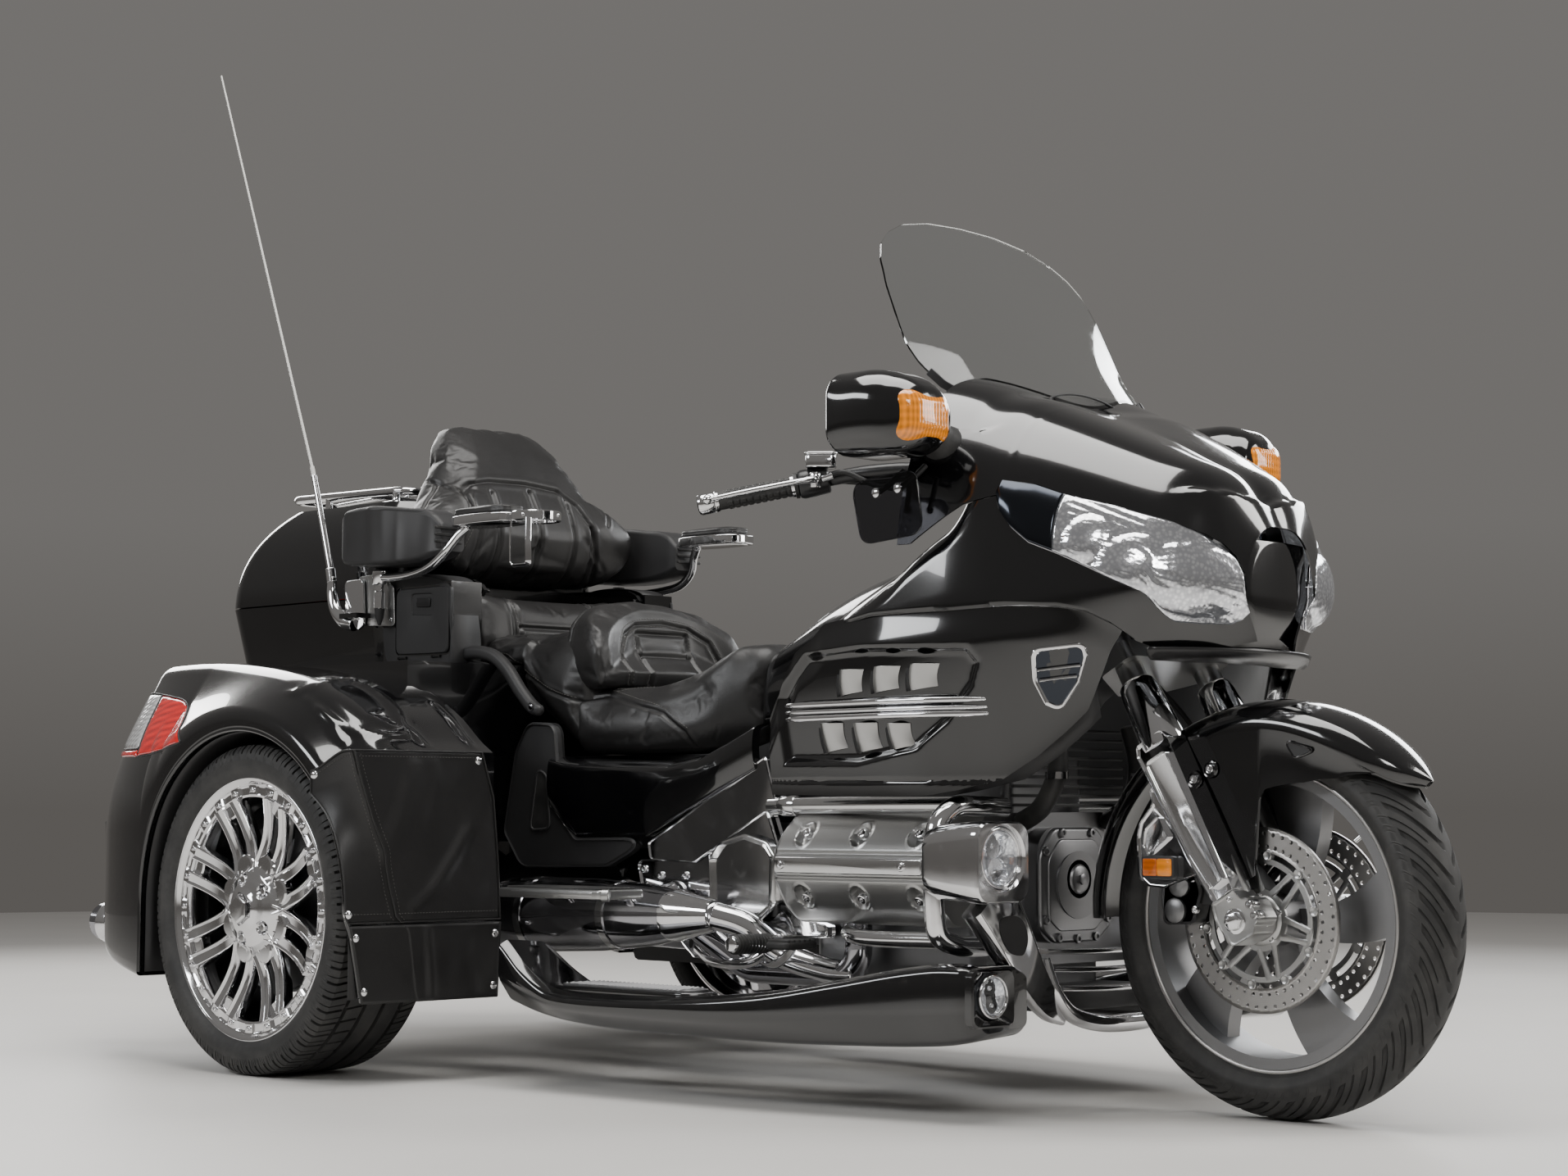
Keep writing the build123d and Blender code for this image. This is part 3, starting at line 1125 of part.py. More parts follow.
# One file per piece; like pieces of one body share a file
pieces = {
    "main_frame": main_frame,
    "rear_axle": rear_axle,
    "engine": lambda: engine() - main_frame(),
    "cylinder_heads": lambda: pair(cylinder_head() - crankcase_room()),
    "engine_guards": lambda: pair(engine_guard()),
    "lower_cowl": lower_cowl,
    "driving_lamps": driving_lamps,
    "running_boards": lambda: pair(running_board()),
    "exhausts": lambda: pair(exhaust()),
    "fairing_cowl": fairing_cowl,
    "fairing_sides": lambda: pair(fairing_side()),
    "vent_trims": vent_trims,
    "headlamps": lambda: pair(headlamp()),
    "dashboard": dashboard,
    "windshield": windshield,
    "mirrors": lambda: pair(mirror()),
    "signal_lenses": signal_lenses,
    "wind_deflectors": wind_deflectors,
    "top_shelter": top_shelter,
    "seat": seat,
    "grab_rails": grab_rails,
    "side_covers": lambda: pair(side_cover()),
    "frame_covers": lambda: pair(frame_cover()),
    "foot_controls": lambda: foot_controls() - both_sides(frame_cover()),
    "passenger_boards": lambda: passenger_boards() - both_sides(frame_cover()),
    "trunk_body": trunk_body,
    "rear_tub": rear_tub,
    "fenders": lambda: pair(fender()),
    "fender_covers": lambda: pair(fender_cover()),
    "tail_lamps": tail_lamps,
    "antenna": antenna,
    "fork": fork,
    "fork_covers": fork_covers,
    "front_fender": lambda: front_fender() - fork_covers(),
    "brake_calipers": calipers,
    "handlebar": lambda: handlebar() + levers(),
    "grips": grips,
    "front_rim": front_rim,
    "front_tyre": front_tyre,
    "brake_discs": brake_discs,
    "rear_rim_right": rear_rim,
    "rear_tyre_right": rear_tyre,
    "rear_rim_left": lambda: other_side(rear_rim()),
    "rear_tyre_left": lambda: other_side(rear_tyre()),
    "trunk_lid": trunk_lid,
    "passenger_backrest": passenger_backrest,
    "speaker_pods": speaker_pods,
    "luggage_rack": luggage_rack,
    "armrest_right": armrest_right,
    "armrest_left": lambda: other_side(armrest()),
    "pocket_door_right": pocket_door,
    "pocket_door_left": lambda: other_side(pocket_door()),
    "rear_hatch": rear_hatch,
}


def save(name, shape):
    """Write one piece, moved so that the origin lies under the middle of the length."""
    export_step(Pos(-MID_X, 0, 0) * shape, f"parts/{name}.step")


os.makedirs("parts", exist_ok=True)
for name, build in pieces.items():
    save(name, build())
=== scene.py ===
"""Touring trike: finished surfaces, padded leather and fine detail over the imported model.

Sizes are in millimetres, X forward from the rear axle, Y to the left and Z up from the floor, as in the
part's source. Every shape is worked out as arrays of points and moved into the row's frame in metres when
its mesh is made. The right-hand side of the machine is at negative Y.
"""
from __future__ import annotations

import json
import logging
import math
from dataclasses import dataclass
from enum import Enum
from typing import Callable, Iterable, Sequence

import bmesh
import bpy
import numpy as np
from mathutils import Matrix, Vector

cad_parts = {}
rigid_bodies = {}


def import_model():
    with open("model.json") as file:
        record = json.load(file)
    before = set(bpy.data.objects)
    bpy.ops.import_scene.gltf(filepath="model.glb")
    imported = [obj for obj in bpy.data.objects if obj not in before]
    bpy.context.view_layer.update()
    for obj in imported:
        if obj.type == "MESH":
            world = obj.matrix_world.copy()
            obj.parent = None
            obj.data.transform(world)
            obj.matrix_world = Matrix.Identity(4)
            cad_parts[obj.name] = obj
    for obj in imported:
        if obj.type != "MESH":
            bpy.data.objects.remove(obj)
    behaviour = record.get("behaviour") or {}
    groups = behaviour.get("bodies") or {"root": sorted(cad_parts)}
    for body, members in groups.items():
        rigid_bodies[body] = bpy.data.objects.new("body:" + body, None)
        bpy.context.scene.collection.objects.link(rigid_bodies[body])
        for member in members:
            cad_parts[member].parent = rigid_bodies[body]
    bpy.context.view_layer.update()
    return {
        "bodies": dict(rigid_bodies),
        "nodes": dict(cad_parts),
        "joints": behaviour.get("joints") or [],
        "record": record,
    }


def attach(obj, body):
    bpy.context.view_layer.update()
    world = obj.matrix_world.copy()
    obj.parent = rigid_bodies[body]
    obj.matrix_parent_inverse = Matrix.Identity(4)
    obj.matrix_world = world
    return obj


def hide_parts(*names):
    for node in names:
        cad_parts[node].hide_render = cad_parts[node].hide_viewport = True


log = logging.getLogger("trike")

Array = np.ndarray

# Distance from the rear axle to the row frame's zero
MID_X = 647.25
# Directions, with the left-hand side of the machine at positive Y
UP = (0, 0, 1)
LEFT, RIGHT = (0, 1, 0), (0, -1, 0)
AHEAD, BACK = (1, 0, 0), (-1, 0, 0)
# The word in a piece's name and the sign of Y on each side
SIDES = (("right", -1), ("left", 1))


# Numbers along curves

def blend_curve(knots: Sequence[float], values: Array, at: Array) -> Array:
    """Smooth curve through values at increasing knots.

    Between two knots the curve is the cubic Hermite of their values and of slopes taken as the mean of the
    neighbouring chords, flattened to zero where the chords change sign, so that it never overshoots.

    Args:
        knots: increasing parameters of the known values.
        values: one row per knot.
        at: parameters to evaluate.

    Returns:
        One row per parameter in ``at``.
    """
    k = np.asarray(knots, float)
    v = np.asarray(values, float)
    v = v.reshape(len(k), -1)
    chord = np.diff(v, axis=0) / np.diff(k)[:, None]
    slope = np.vstack([chord[:1], (chord[:-1] + chord[1:]) / 2, chord[-1:]])
    same = np.vstack([np.ones_like(chord[:1]), (chord[:-1] * chord[1:]) > 0, np.ones_like(chord[:1])])
    small = np.minimum(np.abs(np.vstack([chord[:1], chord])), np.abs(np.vstack([chord, chord[-1:]]))) * 3
    slope = np.clip(slope * same, -small, small)
    t = np.clip(np.asarray(at, float).ravel(), k[0], k[-1])
    i = np.clip(np.searchsorted(k, t, side="right") - 1, 0, len(k) - 2)
    h = (k[i + 1] - k[i])[:, None]
    s = ((t - k[i]) / (k[i + 1] - k[i]))[:, None]
    a, b = v[i], v[i + 1]
    return ((1 + 2 * s) * (1 - s) ** 2 * a + s * (1 - s) ** 2 * h * slope[i]
            + s * s * (3 - 2 * s) * b + s * s * (s - 1) * h * slope[i + 1])


def smooth_path(points: Sequence[Sequence[float]], samples: int, closed: bool = False) -> Array:
    """Points evenly spaced in parameter along a centripetal spline through the given points.

    Args:
        points: control points that the path goes through.
        samples: number of points returned.
        closed: whether the path returns to its start.

    Returns:
        Array of samples by 3 (or by 2).
    """
    p = np.asarray(points, float)
    if closed:
        p = np.vstack([p[-2:], p, p[:3]])
    gaps = np.sqrt(np.linalg.norm(np.diff(p, axis=0), axis=1)) + 1e-9
    k = np.concatenate([[0], np.cumsum(gaps)])
    v = np.gradient(p, k, axis=0)
    lo, hi = (k[2], k[-3]) if closed else (k[0], k[-1])
    t = np.linspace(lo, hi, samples, endpoint=not closed)
    i = np.clip(np.searchsorted(k, t, side="right") - 1, 0, len(k) - 2)
    h = (k[i + 1] - k[i])[:, None]
    s = ((t - k[i])[:, None]) / h
    return ((1 + 2 * s) * (1 - s) ** 2 * p[i] + s * (1 - s) ** 2 * h * v[i]
            + s * s * (3 - 2 * s) * p[i + 1] + s * s * (s - 1) * h * v[i + 1])


def rounded_outline(points: Sequence[Sequence[float]], radius: float | Sequence[float],
                    steps: int = 5) -> Array:
    """Closed outline whose corners are rounded by arcs tangent to both sides.

    Args:
        points: corners in order.
        radius: one radius for all corners, or one for each.
        steps: segments in each corner.

    Returns:
        Array of outline points by 2.
    """
    p = np.asarray(points, float)
    radii = np.full(len(p), float(radius)) if np.isscalar(radius) else np.asarray(radius, float)
    out = []
    for here, before, after, r in zip(p, np.roll(p, 1, 0), np.roll(p, -1, 0), radii):
        a, b = before - here, after - here
        la, lb = np.linalg.norm(a), np.linalg.norm(b)
        a, b = a / la, b / lb
        half = math.acos(float(np.clip(a @ b, -1, 1))) / 2
        if r <= 0 or half > math.pi / 2 - 0.02:
            out.append(here[None, :])
            continue
        cut = min(r / math.tan(half), la * 0.49, lb * 0.49)
        t = np.linspace(0, 1, steps + 1)[:, None]
        start, end = here + a * cut, here + b * cut
        out.append((1 - t) ** 2 * start + 2 * t * (1 - t) * (here * 0.82 + (start + end) * 0.09) + t ** 2
                   * end)
    return np.vstack(out)


def rounded_open(points: Sequence[Sequence[float]], radius: float, steps: int = 5) -> Array:
    """Open path with its inner corners rounded."""
    p = np.asarray(points, float)
    out = [p[:1]]
    for before, here, after in zip(p[:-2], p[1:-1], p[2:]):
        a, b = before - here, after - here
        la, lb = np.linalg.norm(a), np.linalg.norm(b)
        cut = min(radius, la * 0.45, lb * 0.45)
        t = np.linspace(0, 1, steps + 1)[:, None]
        s, e = here + a / la * cut, here + b / lb * cut
        out.append((1 - t) ** 2 * s + 2 * t * (1 - t) * here + t ** 2 * e)
    return np.vstack(out + [p[-1:]])


def step_between(low: float, high: float, x: Array) -> Array:
    """Smooth rise from 0 at low to 1 at high."""
    t = np.clip((np.asarray(x, float) - low) / (high - low), 0, 1)
    return t * t * (3 - 2 * t)


# Shapes

@dataclass
class Shape:
    """Points in millimetres and the faces between them, before they become a mesh."""

    points: Array
    faces: list[tuple[int, ...]]

    def __add__(self, other: "Shape") -> "Shape":
        """Both shapes in one, not joined to each other."""
        start = len(self.points)
        return Shape(np.vstack([self.points, other.points]),
                     self.faces + [tuple(i + start for i in f) for f in other.faces])

    def mirrored(self) -> "Shape":
        """The same shape across the machine's middle plane, with its faces still pointing out."""
        return Shape(self.points * np.array([1, -1, 1]), [f[::-1] for f in self.faces])

    def both(self) -> "Shape":
        """The shape and its mirror image."""
        return self + self.mirrored()

    def moved(self, x: float = 0, y: float = 0, z: float = 0) -> "Shape":
        """The shape shifted by an offset."""
        return Shape(self.points + np.array([x, y, z]), self.faces)

    def on_side(self, side: int) -> "Shape":
        """This right-hand shape for side -1, and its mirror image for the left side, 1."""
        return self if side < 0 else self.mirrored()


EMPTY = Shape(np.zeros((0, 3)), [])


def joined(parts: Iterable[Shape]) -> Shape:
    """All the parts in one shape, in order."""
    made = EMPTY
    for part in parts:
        made += part
    return made


def net(points: Array, wrap_u: bool = False, wrap_v: bool = False, cap_u: bool = False) -> Shape:
    """Quads over a grid of points.

    Args:
        points: array of rows by columns by 3.
        wrap_u: whether the last row joins the first.
        wrap_v: whether the last column joins the first.
        cap_u: whether the first and last rows, closed rings, are filled.

    Returns:
        The shape, whose faces point to the side from which the columns run anticlockwise along the rows.
    """
    m, n = points.shape[:2]
    index = np.arange(m * n).reshape(m, n)
    rows = np.vstack([index, index[:1]]) if wrap_u else index
    full = np.hstack([rows, rows[:, :1]]) if wrap_v else rows
    quads = np.stack([full[:-1, :-1], full[1:, :-1], full[1:, 1:], full[:-1, 1:]], -1).reshape(-1, 4)
    faces = [tuple(q) for q in quads.tolist()]
    if cap_u:
        faces += [tuple(index[0].tolist()), tuple(index[-1][::-1].tolist())]
    return Shape(points.reshape(-1, 3), faces)


def frames_along(path: Array, hint: Sequence[float] = UP) -> tuple[Array, Array]:
    """Two directions square to a path at each point, carried along it with the least turning.

    Args:
        path: points by 3.
        hint: direction that the first normal leans towards.

    Returns:
        Normals and binormals, each points by 3.
    """
    tangent = np.gradient(path, axis=0)
    tangent /= np.linalg.norm(tangent, axis=1)[:, None] + 1e-12
    h = np.asarray(hint, float)
    first = h - tangent[0] * (h @ tangent[0])
    if np.linalg.norm(first) < 1e-3:
        first = np.cross(tangent[0], [0.3, 1, 0.2])
    normals = [first / np.linalg.norm(first)]
    for t in tangent[1:]:
        n = normals[-1] - t * (normals[-1] @ t)
        normals.append(n / np.linalg.norm(n))
    n = np.array(normals)
    return n, np.cross(tangent, n)


def carried(profile: Array, path: Array, scale: float | Array = 1.0, hint: Sequence[float] = UP,
            caps: bool = True) -> Shape:
    """Closed profile carried along a path.

    A point (a, b) of the profile goes to path + scale (a normal + b binormal).

    Args:
        profile: closed outline of points by 2, anticlockwise.
        path: points by 3.
        scale: one factor, or one for each point of the path.
        hint: direction that the profile's first axis leans towards.
        caps: whether the ends are filled.

    Returns:
        The closed shape.
    """
    n, b = frames_along(path, hint)
    s = np.broadcast_to(np.asarray(scale, float), (len(path),))[:, None, None]
    rings = path[:, None] + s * (profile[None, :, :1] * n[:, None] + profile[None, :, 1:] * b[:, None])
    return net(rings[:, ::-1], wrap_v=True, cap_u=caps)


def circle(radius: float = 1.0, sides: int = 20) -> Array:
    """Anticlockwise circle of points by 2."""
    a = np.arange(sides) * 2 * math.pi / sides
    return np.stack([radius * np.cos(a), radius * np.sin(a)], 1)


def tube(points: Sequence[Sequence[float]], radius: float | Array, samples: int = 48, sides: int = 20,
         smooth: bool = True) -> Shape:
    """Round tube along a smooth path through the points, with closed ends that are slightly rounded.

    Args:
        points: path in millimetres.
        radius: one radius, or one for each sample.
        samples: rings along the path.
        sides: points round the tube.
        smooth: whether the path is a spline rather than straight runs.

    Returns:
        The closed shape.
    """
    p = np.asarray(points, float)
    path = smooth_path(p, samples) if smooth and len(p) > 2 else np.stack(
        [np.interp(np.linspace(0, 1, samples), np.linspace(0, 1, len(p)), p[:, k]) for k in range(3)], 1)
    r = np.broadcast_to(np.asarray(radius, float), (samples,)).copy()
    ends = np.array([0.72, 0.93, 1.0])
    path = np.vstack([path[:1]] * 2 + [path] + [path[-1:]] * 2)
    step = (path[3] - path[2]) / (np.linalg.norm(path[3] - path[2]) + 1e-9)
    last = (path[-3] - path[-4]) / (np.linalg.norm(path[-3] - path[-4]) + 1e-9)
    edge = min(r[0], r[-1]) * 0.12
    path[1], path[2] = path[0] + step * edge * 0.35, path[0] + step * edge
    path[-2], path[-3] = path[-1] - last * edge * 0.35, path[-1] - last * edge
    r = np.concatenate([r[:1] * ends[0], r[:1] * ends[1], r, r[-1:] * ends[1], r[-1:] * ends[0]])
    r[2], r[-3] = r[2] * ends[2], r[-3] * ends[2]
    return carried(circle(1, sides), path, r)


def lathe(profile: Sequence[Sequence[float]], centre: Sequence[float], axis: Sequence[float] = LEFT,
          steps: int = 96, closed: bool = False) -> Shape:
    """Profile of (along the axis, radius) pairs turned about an axis.

    A point at (a, r) goes to centre + a axis + r (cos t normal + sin t binormal) for t round the circle.

    Args:
        profile: points by 2; where it isn't closed, ends at radius 0 are merged by the piece maker.
        centre: point on the axis.
        axis: direction of the axis.
        steps: points round the circle.
        closed: whether the profile is a closed ring section.

    Returns:
        The shape.
    """
    p = np.asarray(profile, float)
    w = np.asarray(axis, float)
    w = w / np.linalg.norm(w)
    u = np.cross(w, [0.0, 0.0, 1.0] if abs(w[2]) < 0.9 else [1.0, 0, 0])
    u /= np.linalg.norm(u)
    v = np.cross(w, u)
    t = np.arange(steps) * 2 * math.pi / steps
    ring = np.cos(t)[:, None] * u + np.sin(t)[:, None] * v
    points = np.asarray(centre, float) + p[None, :, :1] * w + p[None, :, 1:2] * ring[:, None]
    return net(points, wrap_u=True, wrap_v=closed)


def slab(outline: Array, low: float, high: float, edge: float = 2.0,
         place: Callable[[Array, Array], Array] | None = None, steps: int = 3) -> Shape:
    """Flat plate from a closed outline, with rounded edges.

    Each rounded edge is a quarter circle: the outline is drawn in along its own normals by edge (1 - sin t)
    while the level moves by edge (1 - cos t).

    Args:
        outline: anticlockwise points by 2.
        low: level of the back.
        high: level of the front.
        edge: radius of the edges.
        place: turns outline points and levels into points in space; by default (u, level, w) as seen from
            the left side of the machine.
        steps: segments in each rounded edge.

    Returns:
        The closed shape.
    """
    put = place or seen_from_side
    after, before = np.roll(outline, -1, 0), np.roll(outline, 1, 0)
    tangent = after - before
    tangent /= np.linalg.norm(tangent, axis=1)[:, None] + 1e-12
    inward = np.stack([-tangent[:, 1], tangent[:, 0]], 1)
    t = np.linspace(0, math.pi / 2, steps + 1)
    rings, levels = [], []
    for a in t:
        rings.append(outline + inward * edge * (1 - math.sin(a)))
        levels.append(low + edge * (1 - math.cos(a)))
    for a in t[::-1]:
        rings.append(outline + inward * edge * (1 - math.sin(a)))
        levels.append(high - edge * (1 - math.cos(a)))
    grid = np.stack([at_level(ring, level, put) for ring, level in zip(rings, levels)])
    return net(grid, wrap_v=True, cap_u=True)


def seen_from_side(uv: Array, level: Array) -> Array:
    """Outline (x, z) at a level along Y."""
    return np.stack([uv[:, 0], level, uv[:, 1]], 1)


def seen_from_front(uv: Array, level: Array) -> Array:
    """Outline (y, z) at a level along X."""
    return np.stack([level, uv[:, 0], uv[:, 1]], 1)


def seen_from_above(uv: Array, level: Array) -> Array:
    """Outline (x, y) at a level along Z."""
    return np.stack([uv[:, 0], uv[:, 1], level], 1)


def at_level(outline: Array, level: float, view: Callable[[Array, Array], Array]) -> Array:
    """The outline's points in space, all at one level of a view."""
    return view(outline, np.full(len(outline), float(level)))


def ring_section(width: float, height: float, corner: float, sides: int = 32) -> Array:
    """Anticlockwise rounded rectangle with evenly shared points, centred on the origin."""
    w, h = width / 2, height / 2
    r = min(corner, w, h)
    k = max(2, sides // 4)
    arc = np.linspace(0, math.pi / 2, k)
    quarter = np.stack([np.cos(arc), np.sin(arc)], 1) * r
    parts = []
    for turn, (cx, cy) in enumerate([(w - r, h - r), (-w + r, h - r), (-w + r, -h + r), (w - r, -h + r)]):
        c, s = math.cos(turn * math.pi / 2), math.sin(turn * math.pi / 2)
        parts.append(quarter @ np.array([[c, s], [-s, c]]) + [cx, cy])
    return np.vstack(parts)


def stations(rows: Sequence[Sequence[float]], samples: int, sides: int = 40,
             power: float | None = None) -> Shape:
    """Closed body through upright rounded sections along X, with every size blended smoothly between rows.

    Args:
        rows: position along X, low and high across, low and high in height, corner radius.
        samples: number of sections.
        sides: points round a section.
        power: how sections are shared: 1 even, higher crowds them at the ends.

    Returns:
        The closed shape.
    """
    r = np.asarray(rows, float)
    order = np.argsort(r[:, 0])
    r = r[order]
    t = np.linspace(0, 1, samples)
    if power:
        t = 0.5 - 0.5 * np.sign(1 - 2 * t) * np.abs(1 - 2 * t) ** (1 / power)
    at = r[0, 0] + t * (r[-1, 0] - r[0, 0])
    v = blend_curve(r[:, 0], r[:, 1:], at)
    rings = []
    for x, (a, b, c, d, corner) in zip(at, v):
        ring = ring_section(b - a, d - c, corner, sides) + [(a + b) / 2, (c + d) / 2]
        rings.append(at_level(ring, x, seen_from_front))
    return net(np.stack(rings), wrap_v=True, cap_u=True)


# Shader maths

class Sock:
    """A shader socket, or an expression on one, that adds its Math nodes as it is written."""

    def __init__(self, sheet: "Sheet", socket: bpy.types.NodeSocket) -> None:
        """Keep the socket and the sheet that it belongs to."""
        self.sheet, self.socket = sheet, socket

    def _op(self, kind: str, a: "Value", b: "Value" = 0.0) -> "Sock":
        """One Math node on two values."""
        return self.sheet.node("ShaderNodeMath", {"operation": kind}, {0: a, 1: b}).value()

    def __add__(self, other: "Value") -> "Sock":
        """Sum."""
        return self._op("ADD", self, other)

    def __sub__(self, other: "Value") -> "Sock":
        """Difference."""
        return self._op("SUBTRACT", self, other)

    def __mul__(self, other: "Value") -> "Sock":
        """Product."""
        return self._op("MULTIPLY", self, other)

    def __truediv__(self, other: "Value") -> "Sock":
        """Quotient."""
        return self._op("DIVIDE", self, other)

    def __radd__(self, other: "Value") -> "Sock":
        """Sum, number first."""
        return self._op("ADD", other, self)

    def __rsub__(self, other: "Value") -> "Sock":
        """Difference, number first."""
        return self._op("SUBTRACT", other, self)

    def __rmul__(self, other: "Value") -> "Sock":
        """Product, number first."""
        return self._op("MULTIPLY", other, self)

    def __pow__(self, other: "Value") -> "Sock":
        """Power."""
        return self._op("POWER", self, other)

    def sine(self) -> "Sock":
        """Sine."""
        return self._op("SINE", self)

    def size(self) -> "Sock":
        """Size without sign."""
        return self._op("ABSOLUTE", self)

    def between(self, low: float, high: float) -> "Sock":
        """0 below low, 1 above high and a smooth rise from one to the other."""
        settings = {"interpolation_type": "SMOOTHSTEP"}
        made = self.sheet.node("ShaderNodeMapRange", settings, {0: self, 1: low, 2: high, 3: 0.0, 4: 1.0})
        return made.value()


Value = Sock | float | int | Sequence[float]


class Made:
    """A node that was just made."""

    def __init__(self, sheet: "Sheet", node: bpy.types.Node) -> None:
        """Keep the node."""
        self.sheet, self.node = sheet, node

    def value(self, name: str | int = 0) -> Sock:
        """One of its outputs."""
        return Sock(self.sheet, self.node.outputs[name])


class Sheet:
    """The node tree of one material."""

    def __init__(self, name: str) -> None:
        """Start an empty material."""
        self.material = bpy.data.materials.new(name)
        self.material.use_nodes = True
        self.tree = self.material.node_tree
        self.tree.nodes.clear()

    def node(self, kind: str, settings: dict[str, object] | None = None,
             inputs: dict[str | int, Value] | None = None) -> Made:
        """Make one node.

        Args:
            kind: the node's Blender type.
            settings: properties set first; "stops" gives a ramp's (position, colour) pairs.
            inputs: values or links of its sockets, by name or number.

        Returns:
            The node.
        """
        made = self.tree.nodes.new(kind)
        for key, value in (settings or {}).items():
            if key == "stops":
                ramp = made.color_ramp
                while len(ramp.elements) < len(value):
                    ramp.elements.new(0.5)
                for element, (position, colour) in zip(ramp.elements, value):
                    element.position, element.color = position, colour
            else:
                setattr(made, key, value)
        for key, value in (inputs or {}).items():
            if isinstance(value, Sock):
                self.tree.links.new(value.socket, made.inputs[key])
            elif isinstance(value, (tuple, list)) and made.inputs[key].type == "RGBA" and len(value) == 3:
                made.inputs[key].default_value = (*value, 1.0)
            else:
                made.inputs[key].default_value = value
        return Made(self, made)

    def coordinates(self) -> Sock:
        """Object coordinates, in metres."""
        return self.node("ShaderNodeTexCoord").value("Object")

    def axis(self, name: str) -> Sock:
        """One object coordinate, in metres."""
        return self.node("ShaderNodeSeparateXYZ", None, {0: self.coordinates()}).value(name)

    def stretched(self, scale: Sequence[float]) -> Sock:
        """Object coordinates scaled by a different amount on each axis."""
        return self.node("ShaderNodeMapping", None, {"Vector": self.coordinates(),
                                                     "Scale": tuple(scale)}).value()

    def noise(self, scale: float, detail: float = 2.0, where: Sock | None = None, rough: float = 0.5) -> Sock:
        """Cloudy noise from 0 to 1."""
        inputs = {"Vector": where or self.coordinates(), "Scale": scale, "Detail": detail, "Roughness": rough}
        return self.node("ShaderNodeTexNoise", None, inputs).value("Fac")

    def cells(self, scale: float, feature: str = "F1", where: Sock | None = None) -> Sock:
        """Distance to the nearest point of a scatter, or to the edge of its cells."""
        inputs = {"Vector": where or self.coordinates(), "Scale": scale}
        return self.node("ShaderNodeTexVoronoi", {"feature": feature}, inputs).value("Distance")

    def mixed(self, share: Value, a: Value, b: Value) -> Sock:
        """Colour between a and b."""
        made = self.node("ShaderNodeMix", {"data_type": "RGBA"}, {"Factor": share})
        for key, colour in ((6, a), (7, b)):
            if isinstance(colour, Sock):
                self.tree.links.new(colour.socket, made.node.inputs[key])
            else:
                made.node.inputs[key].default_value = (*colour, 1.0)
        return made.value(2)

    def bump(self, height: Sock, strength: float, distance: float = 0.001) -> Sock:
        """Normal bent by a height."""
        return self.node("ShaderNodeBump", None,
                         {"Height": height, "Strength": strength, "Distance": distance}).value()

    def surface(self, inputs: dict[str, Value]) -> bpy.types.Material:
        """Finish the material with its main shader."""
        shader = self.node("ShaderNodeBsdfPrincipled", None, inputs).value("BSDF")
        self.node("ShaderNodeOutputMaterial", None, {"Surface": shader})
        return self.material


# Finishes

MADE: dict[object, bpy.types.Material] = {}


@dataclass(frozen=True)
class Finish:
    """A surface finish that makes its material once."""

    title: str
    slot: str

    def material(self) -> bpy.types.Material:
        """The finish's material."""
        if self not in MADE:
            MADE[self] = self.mix(Sheet(self.title))
        return MADE[self]

    def mix(self, sheet: Sheet) -> bpy.types.Material:
        """Work out the material's nodes."""
        return sheet.surface({})


def road_dust(sheet: Sheet, amount: float, height: float = 0.75) -> Sock:
    """Specks and haze of dust that fade out above a height in metres.

    Args:
        sheet: the material's node tree.
        amount: share of the surface that they cover.
        height: level above which there are few.

    Returns:
        Mask from 0 to 1.
    """
    low = 1 - sheet.axis("Z").between(height * 0.35, height)
    specks = 1 - sheet.cells(420).between(0.05, 0.16)
    patches = sheet.noise(5.5, 4, rough=0.6).between(0.42, 0.7)
    return (specks * patches * (0.25 + 0.75 * low) + sheet.noise(38, 5).between(0.55, 0.85) * low
            * 0.18) * amount


@dataclass(frozen=True)
class Paint(Finish):
    """Lacquered paint with a clear coat, faint swirls and a little dust."""

    colour: tuple[float, float, float] = (0.0022, 0.0022, 0.0026)
    dust: float = 0.5

    def mix(self, sheet: Sheet) -> bpy.types.Material:
        """Work out the material's nodes."""
        dust = road_dust(sheet, self.dust)
        peel = sheet.noise(140, 1)
        swirl = sheet.noise(9, 5, rough=0.62)
        return sheet.surface({
            "Base Color": sheet.mixed(dust, self.colour, (0.16, 0.15, 0.14)),
            "Roughness": 0.09 + swirl * 0.07 + dust * 0.5,
            "Specular IOR Level": 0.55, "Coat Weight": 1.0 - dust * 0.7, "Coat Roughness": 0.025,
            "Normal": sheet.bump(peel, 0.018, 0.0006)})


@dataclass(frozen=True)
class Plastic(Finish):
    """Moulded or powder-coated plastic with a fine grain."""

    colour: tuple[float, float, float] = (0.012, 0.012, 0.013)
    roughness: float = 0.5
    grain: float = 0.25

    def mix(self, sheet: Sheet) -> bpy.types.Material:
        """Work out the material's nodes."""
        dust = road_dust(sheet, 0.35)
        cloud = sheet.noise(14, 4)
        grain = sheet.cells(1100)
        return sheet.surface({
            "Base Color": sheet.mixed(dust + cloud * 0.12, self.colour, (0.11, 0.105, 0.1)),
            "Roughness": self.roughness + cloud * 0.14 - 0.07,
            "Normal": sheet.bump(grain, self.grain, 0.0003)})


